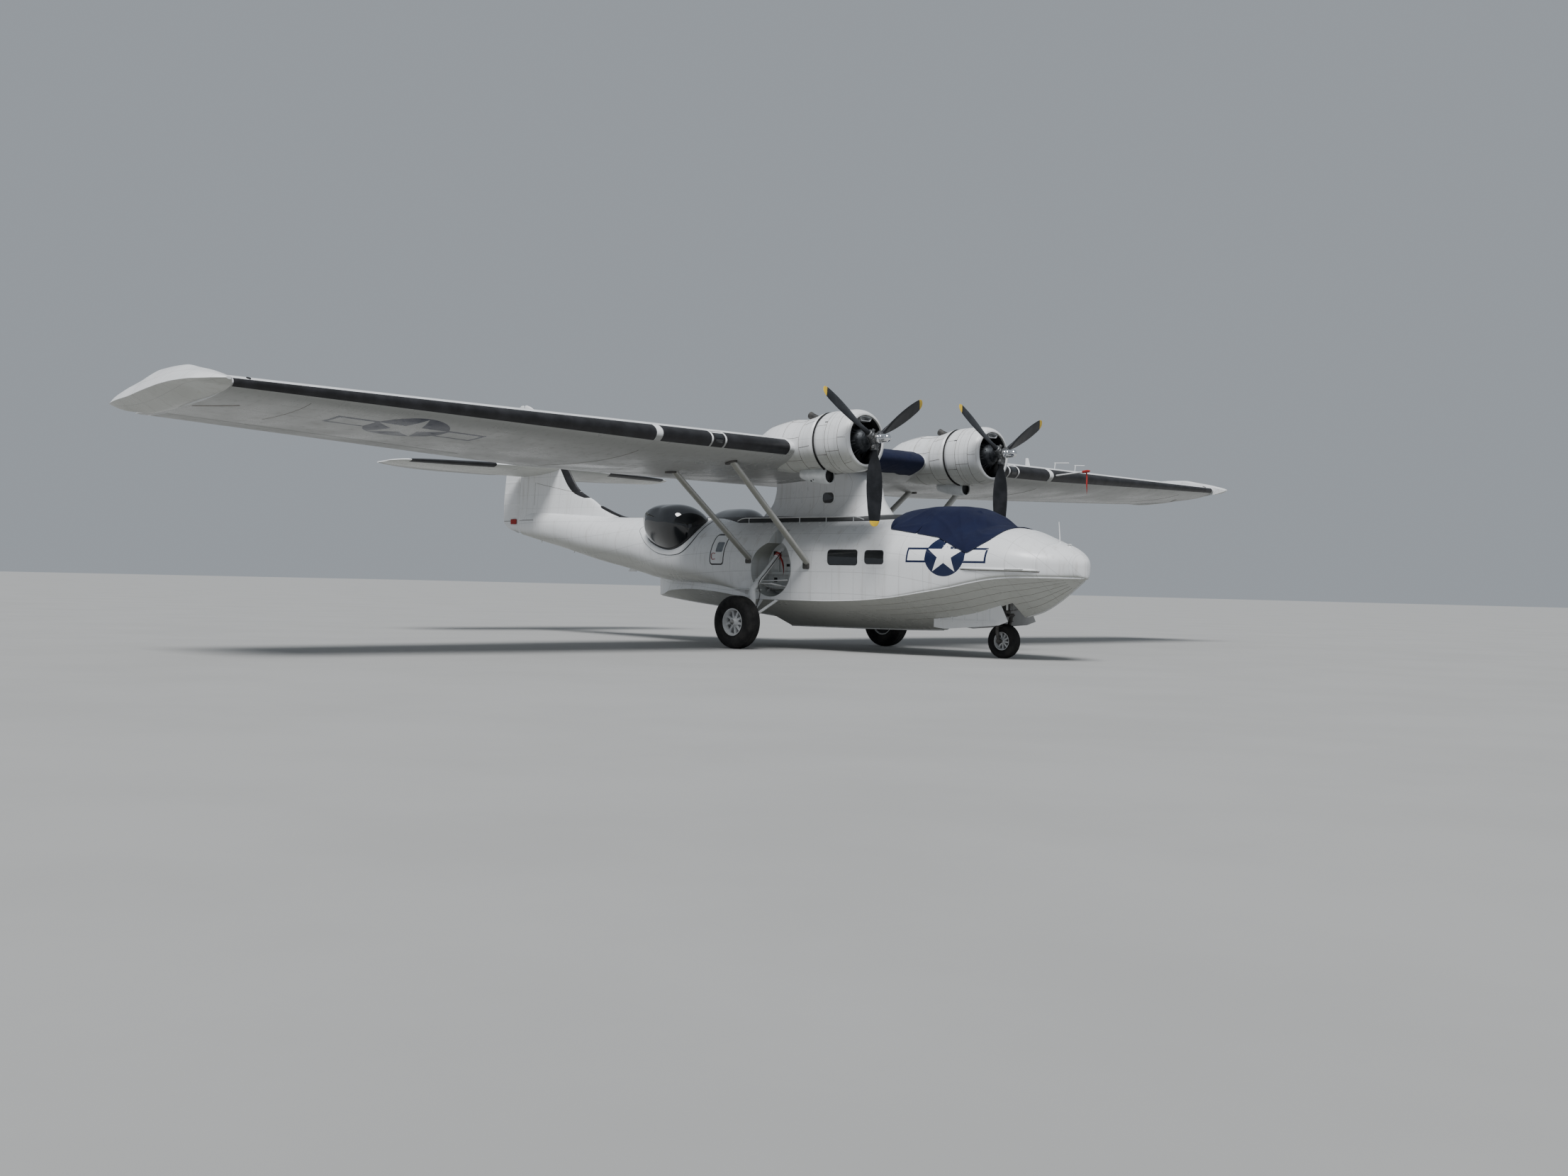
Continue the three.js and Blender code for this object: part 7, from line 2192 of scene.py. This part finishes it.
# %% Pressure tube
PITOT = [(3.85, 6.75, 4.285), (4.96, 6.75, 4.385)]
tube = bar("pitot_tube", PITOT[0], (4.8, 6.75, 4.3706), 0.022, 0.017, 24)
wear(tube, SMALL_WHITE, "airframe", "pitot_boom")
sleeve = rod("pitot_cover", np.linspace((4.745, 6.75, 4.3656), PITOT[1], 9),
             [0.03, 0.035, 0.034, 0.036, 0.038, 0.037, 0.034, 0.028, 0.013], 20)
wear(sleeve, RED)

# %% Warning ribbons
def ribbon(name, top, length, width, sway, twist, turn=0.0):
    """A red ribbon that hangs from a point, as a sheet: it sways a little and twists on its way down."""
    down = np.linspace(0, 1, 30)[:, None]
    across = (np.linspace(-0.5, 0.5, 5) * width)[None]
    angle = turn + twist * down
    x = top[0] + sway * np.sin(down * 2.4) + across * np.cos(angle)
    y = top[1] + across * np.sin(angle) + 0.006 * np.sin(down * 9)
    piece = cloth(name, points_at(x, y, top[2] - length * down), 0.0012, -1.0)
    return wear(piece, RED)


# how far each hangs down, its width and its length laid flat
RIBBON = {"pitot": (0.55, 0.04, 0.57), "gear": (0.42, 0.045, 0.457)}
drop, width, length = RIBBON["pitot"]
ribbon("pitot_ribbon", (4.86, 6.75, 4.338), drop, width, 0.02, 2.2)
drop, width, length = RIBBON["gear"]
for name, side in SIDES.items():
    x, y, z = on_leg(0.8, side)
    hung = ribbon(f"gear_ribbon_{name}", (x + 0.085, y, z - 0.03), drop, width, 0.11, 1.6, 0.8)
    lock = [bar("ring", on_leg(share, side), on_leg(share + 0.015, side), 0.078, sides=24)
            for share in (0.775, 0.825)]
    lock.append(bar(f"lock_pin_{name}", (x - 0.03, y, z - 0.02), (x + 0.1, y, z - 0.02), 0.012, sides=12))
    dress(f"gear_lock_{name}", lock, RED)

# %% Aerials, lamps and eyes
def fin_aerial(name, x, y, base, height, chord, rake):
    """A thin blade aerial that stands on a skin and leans back."""
    t = round_angles(20)
    rings = []
    for share in (0, 0.5, 0.93, 1.0):
        size = chord * (1 - 0.45 * share) * (0.8 if share == 1 else 1)
        aside = 0.008 * (1 - 0.4 * share) * np.sin(t)
        rings.append(points_at(x - rake * share + size / 2 * np.cos(t), y + aside, base + height * share))
    return surface(name, np.stack(rings), ends=CLOSED)


def wing_top(x, y):
    """Height of the wing's upper skin."""
    return float(on_wing(1)(np.array([[x, y]]), 0.0)[0, 2])


aerials = [fin_aerial("wing_aerial", 3.2, 6.6, wing_top(3.2, 6.6) - 0.004, 0.21, 0.15, 0.03)]
for y, reach in ((7.78, 0.44), (8.7, 0.3)):
    z = wing_top(3.2, y)
    aerials.append(bar(f"wing_post_{y}", (3.2, y, z - 0.006), (3.22, y, z + 0.16), 0.013, sides=10))
    aerials.append(bar(f"wing_rod_{y}", (3.19, y, z + 0.165), (3.2 + reach, y, z + 0.15), 0.01, sides=10))
aerials.append(fin_aerial("tail_skeg", -4.28, 0.0, 1.66, 0.08, 0.3, -0.02))
for x in (-8.0, -6.6, -4.1):
    bottom = through(BOOM_ROWS, [x])[0, 0]
    aerials.append(bar(f"eye_{x}", (x, 0, bottom + 0.01), (x - 0.02, 0, bottom - 0.045), 0.014, sides=10))
dress("aerials", aerials, SMALL_WHITE)
lamp = [(0, 0), (0.055, 0), (0.055, 0.03), (0.05, 0.07), (0.03, 0.1), (0, 0.11)]
wear(turned("beacon", lamp, (-3.4, 0, 3.022), "z", 28, 40), RED)
for name, side in SIDES.items():
    outline = disc((wing_at(15.0)[0] - 0.1, side * 14.86), (0.05, 0.035), 20)
    wear(plaque(f"tip_lamps_{name}", outline, on_wing(1), 0.012, 0.014), DARK)

# %% Tail seams
RUDDER_RIB = 2.99


def boom_side(x, z, lift):
    """Distance of the boom's side from the middle plane."""
    bottom, beam, middle, top = through(BOOM_ROWS, x).T
    reach = np.where(z < middle, middle - bottom, top - middle)
    return (beam + lift) * np.sqrt(np.clip(1 - ((z - middle) / reach) ** 2, 0.0004, 1))


def on_fin(x, z, side):
    """Points on the fin's side."""
    nose, half = through(FIN_ROWS, z).T
    f = np.clip((nose - x) / (nose - FIN_REAR), 0, 1)
    return points_at(x, side * (half * tail_thickness(f) + 0.0002), z)


for side in (-1, 1):
    x = np.linspace(-8.12, -8.84, 16)
    foot = rod("foot", points_at(x, side * boom_side(x, 3.0, 0.001), 3.0), 0.007, 8)
    post = rod("post", on_fin(-8.2, np.linspace(3.4, 4.02, 12), side), 0.003, 6)
    x = np.linspace(-6.55, -8.15, 20)
    waist = rod("waist", on_fin(x, 3.7 + (x + 6.44) / (-8.17 + 6.44) * 0.3, side), 0.004, 6)
    dress(f"tail_lines_{side}", [foot, post, waist], SEAM_AND_SHADOW_LINE)
    x = np.linspace(-9.05, -9.7, 10)
    tail_x, tail_r = through(RUDDER_ROWS, [RUDDER_RIB])[0]
    y = tail_r * (1 - (RUDDER_HINGE - x) / (RUDDER_HINGE - tail_x)) ** 1.08 + 0.005
    rib = rod(f"rudder_rib_line_{side}", points_at(x, side * y, RUDDER_RIB), 0.006, 8)
    wear(rib, SEAM_AND_SHADOW_LINE, "rudder")
plates = [block(f"rudder_lock_{side}", (-9.3, side * 0.092 - 0.008, 2.9), (-9.04, side * 0.092 + 0.008, 3.04),
                0.01)
          for side in (-1, 1)]
dress("rudder_lock", plates, RED, "rudder")
ridge = bend_through([(-5.6, 0, 3.345), (-5.28, 0, 3.235), (-4.92, 0, 3.115), (-4.54, 0, 3.025),
                      (-4.05, 0, 2.985), (-3.61, 0, 2.985)], 60)
ridge_size = np.interp(ridge[:, 0], (-5.6, -5.5, -4.6, -3.61), (0.008, 0.04, 0.034, 0.02))
wear(rod("ridge_strip", ridge, ridge_size, 14), BOOT)

# %% [markdown]
# ## Nodes kept from the frame

# %% Finishes of the kept nodes
START = {
    "engine_": CAST, "propeller_dome": CHROME, "propeller_": BLADE_BLACK, "cockpit_cover": CANVAS,
    "wing_cover": CANVAS, "blister": GLASS, "main_tyre": TYRE, "nose_tyre": TYRE, "main_wheel": WHEEL_GREY,
    "nose_wheel": WHEEL_GREY,
}
for node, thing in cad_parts.items():
    thing.data.materials.clear()
    thing.data.materials.append(next((kept for start, kept in START.items() if node.startswith(start)),
                                     WHITE))

# %% Floor
FLOOR_HALF = 400
floor_mesh = bpy.data.meshes.new("floor")
floor_corners = [(x * FLOOR_HALF, y * FLOOR_HALF, 0) for x, y in ((-1, -1), (1, -1), (1, 1), (-1, 1))]
floor_mesh.from_pydata(floor_corners, [], [[0, 1, 2, 3]])
floor = placed("floor", floor_mesh)
pale = worn("pale_floor", (0.37, 0.37, 0.365), (0.35, 0.35, 0.345), 0.9, scale=0.3, shine=0.2)
floor_mesh.materials.append(pale)
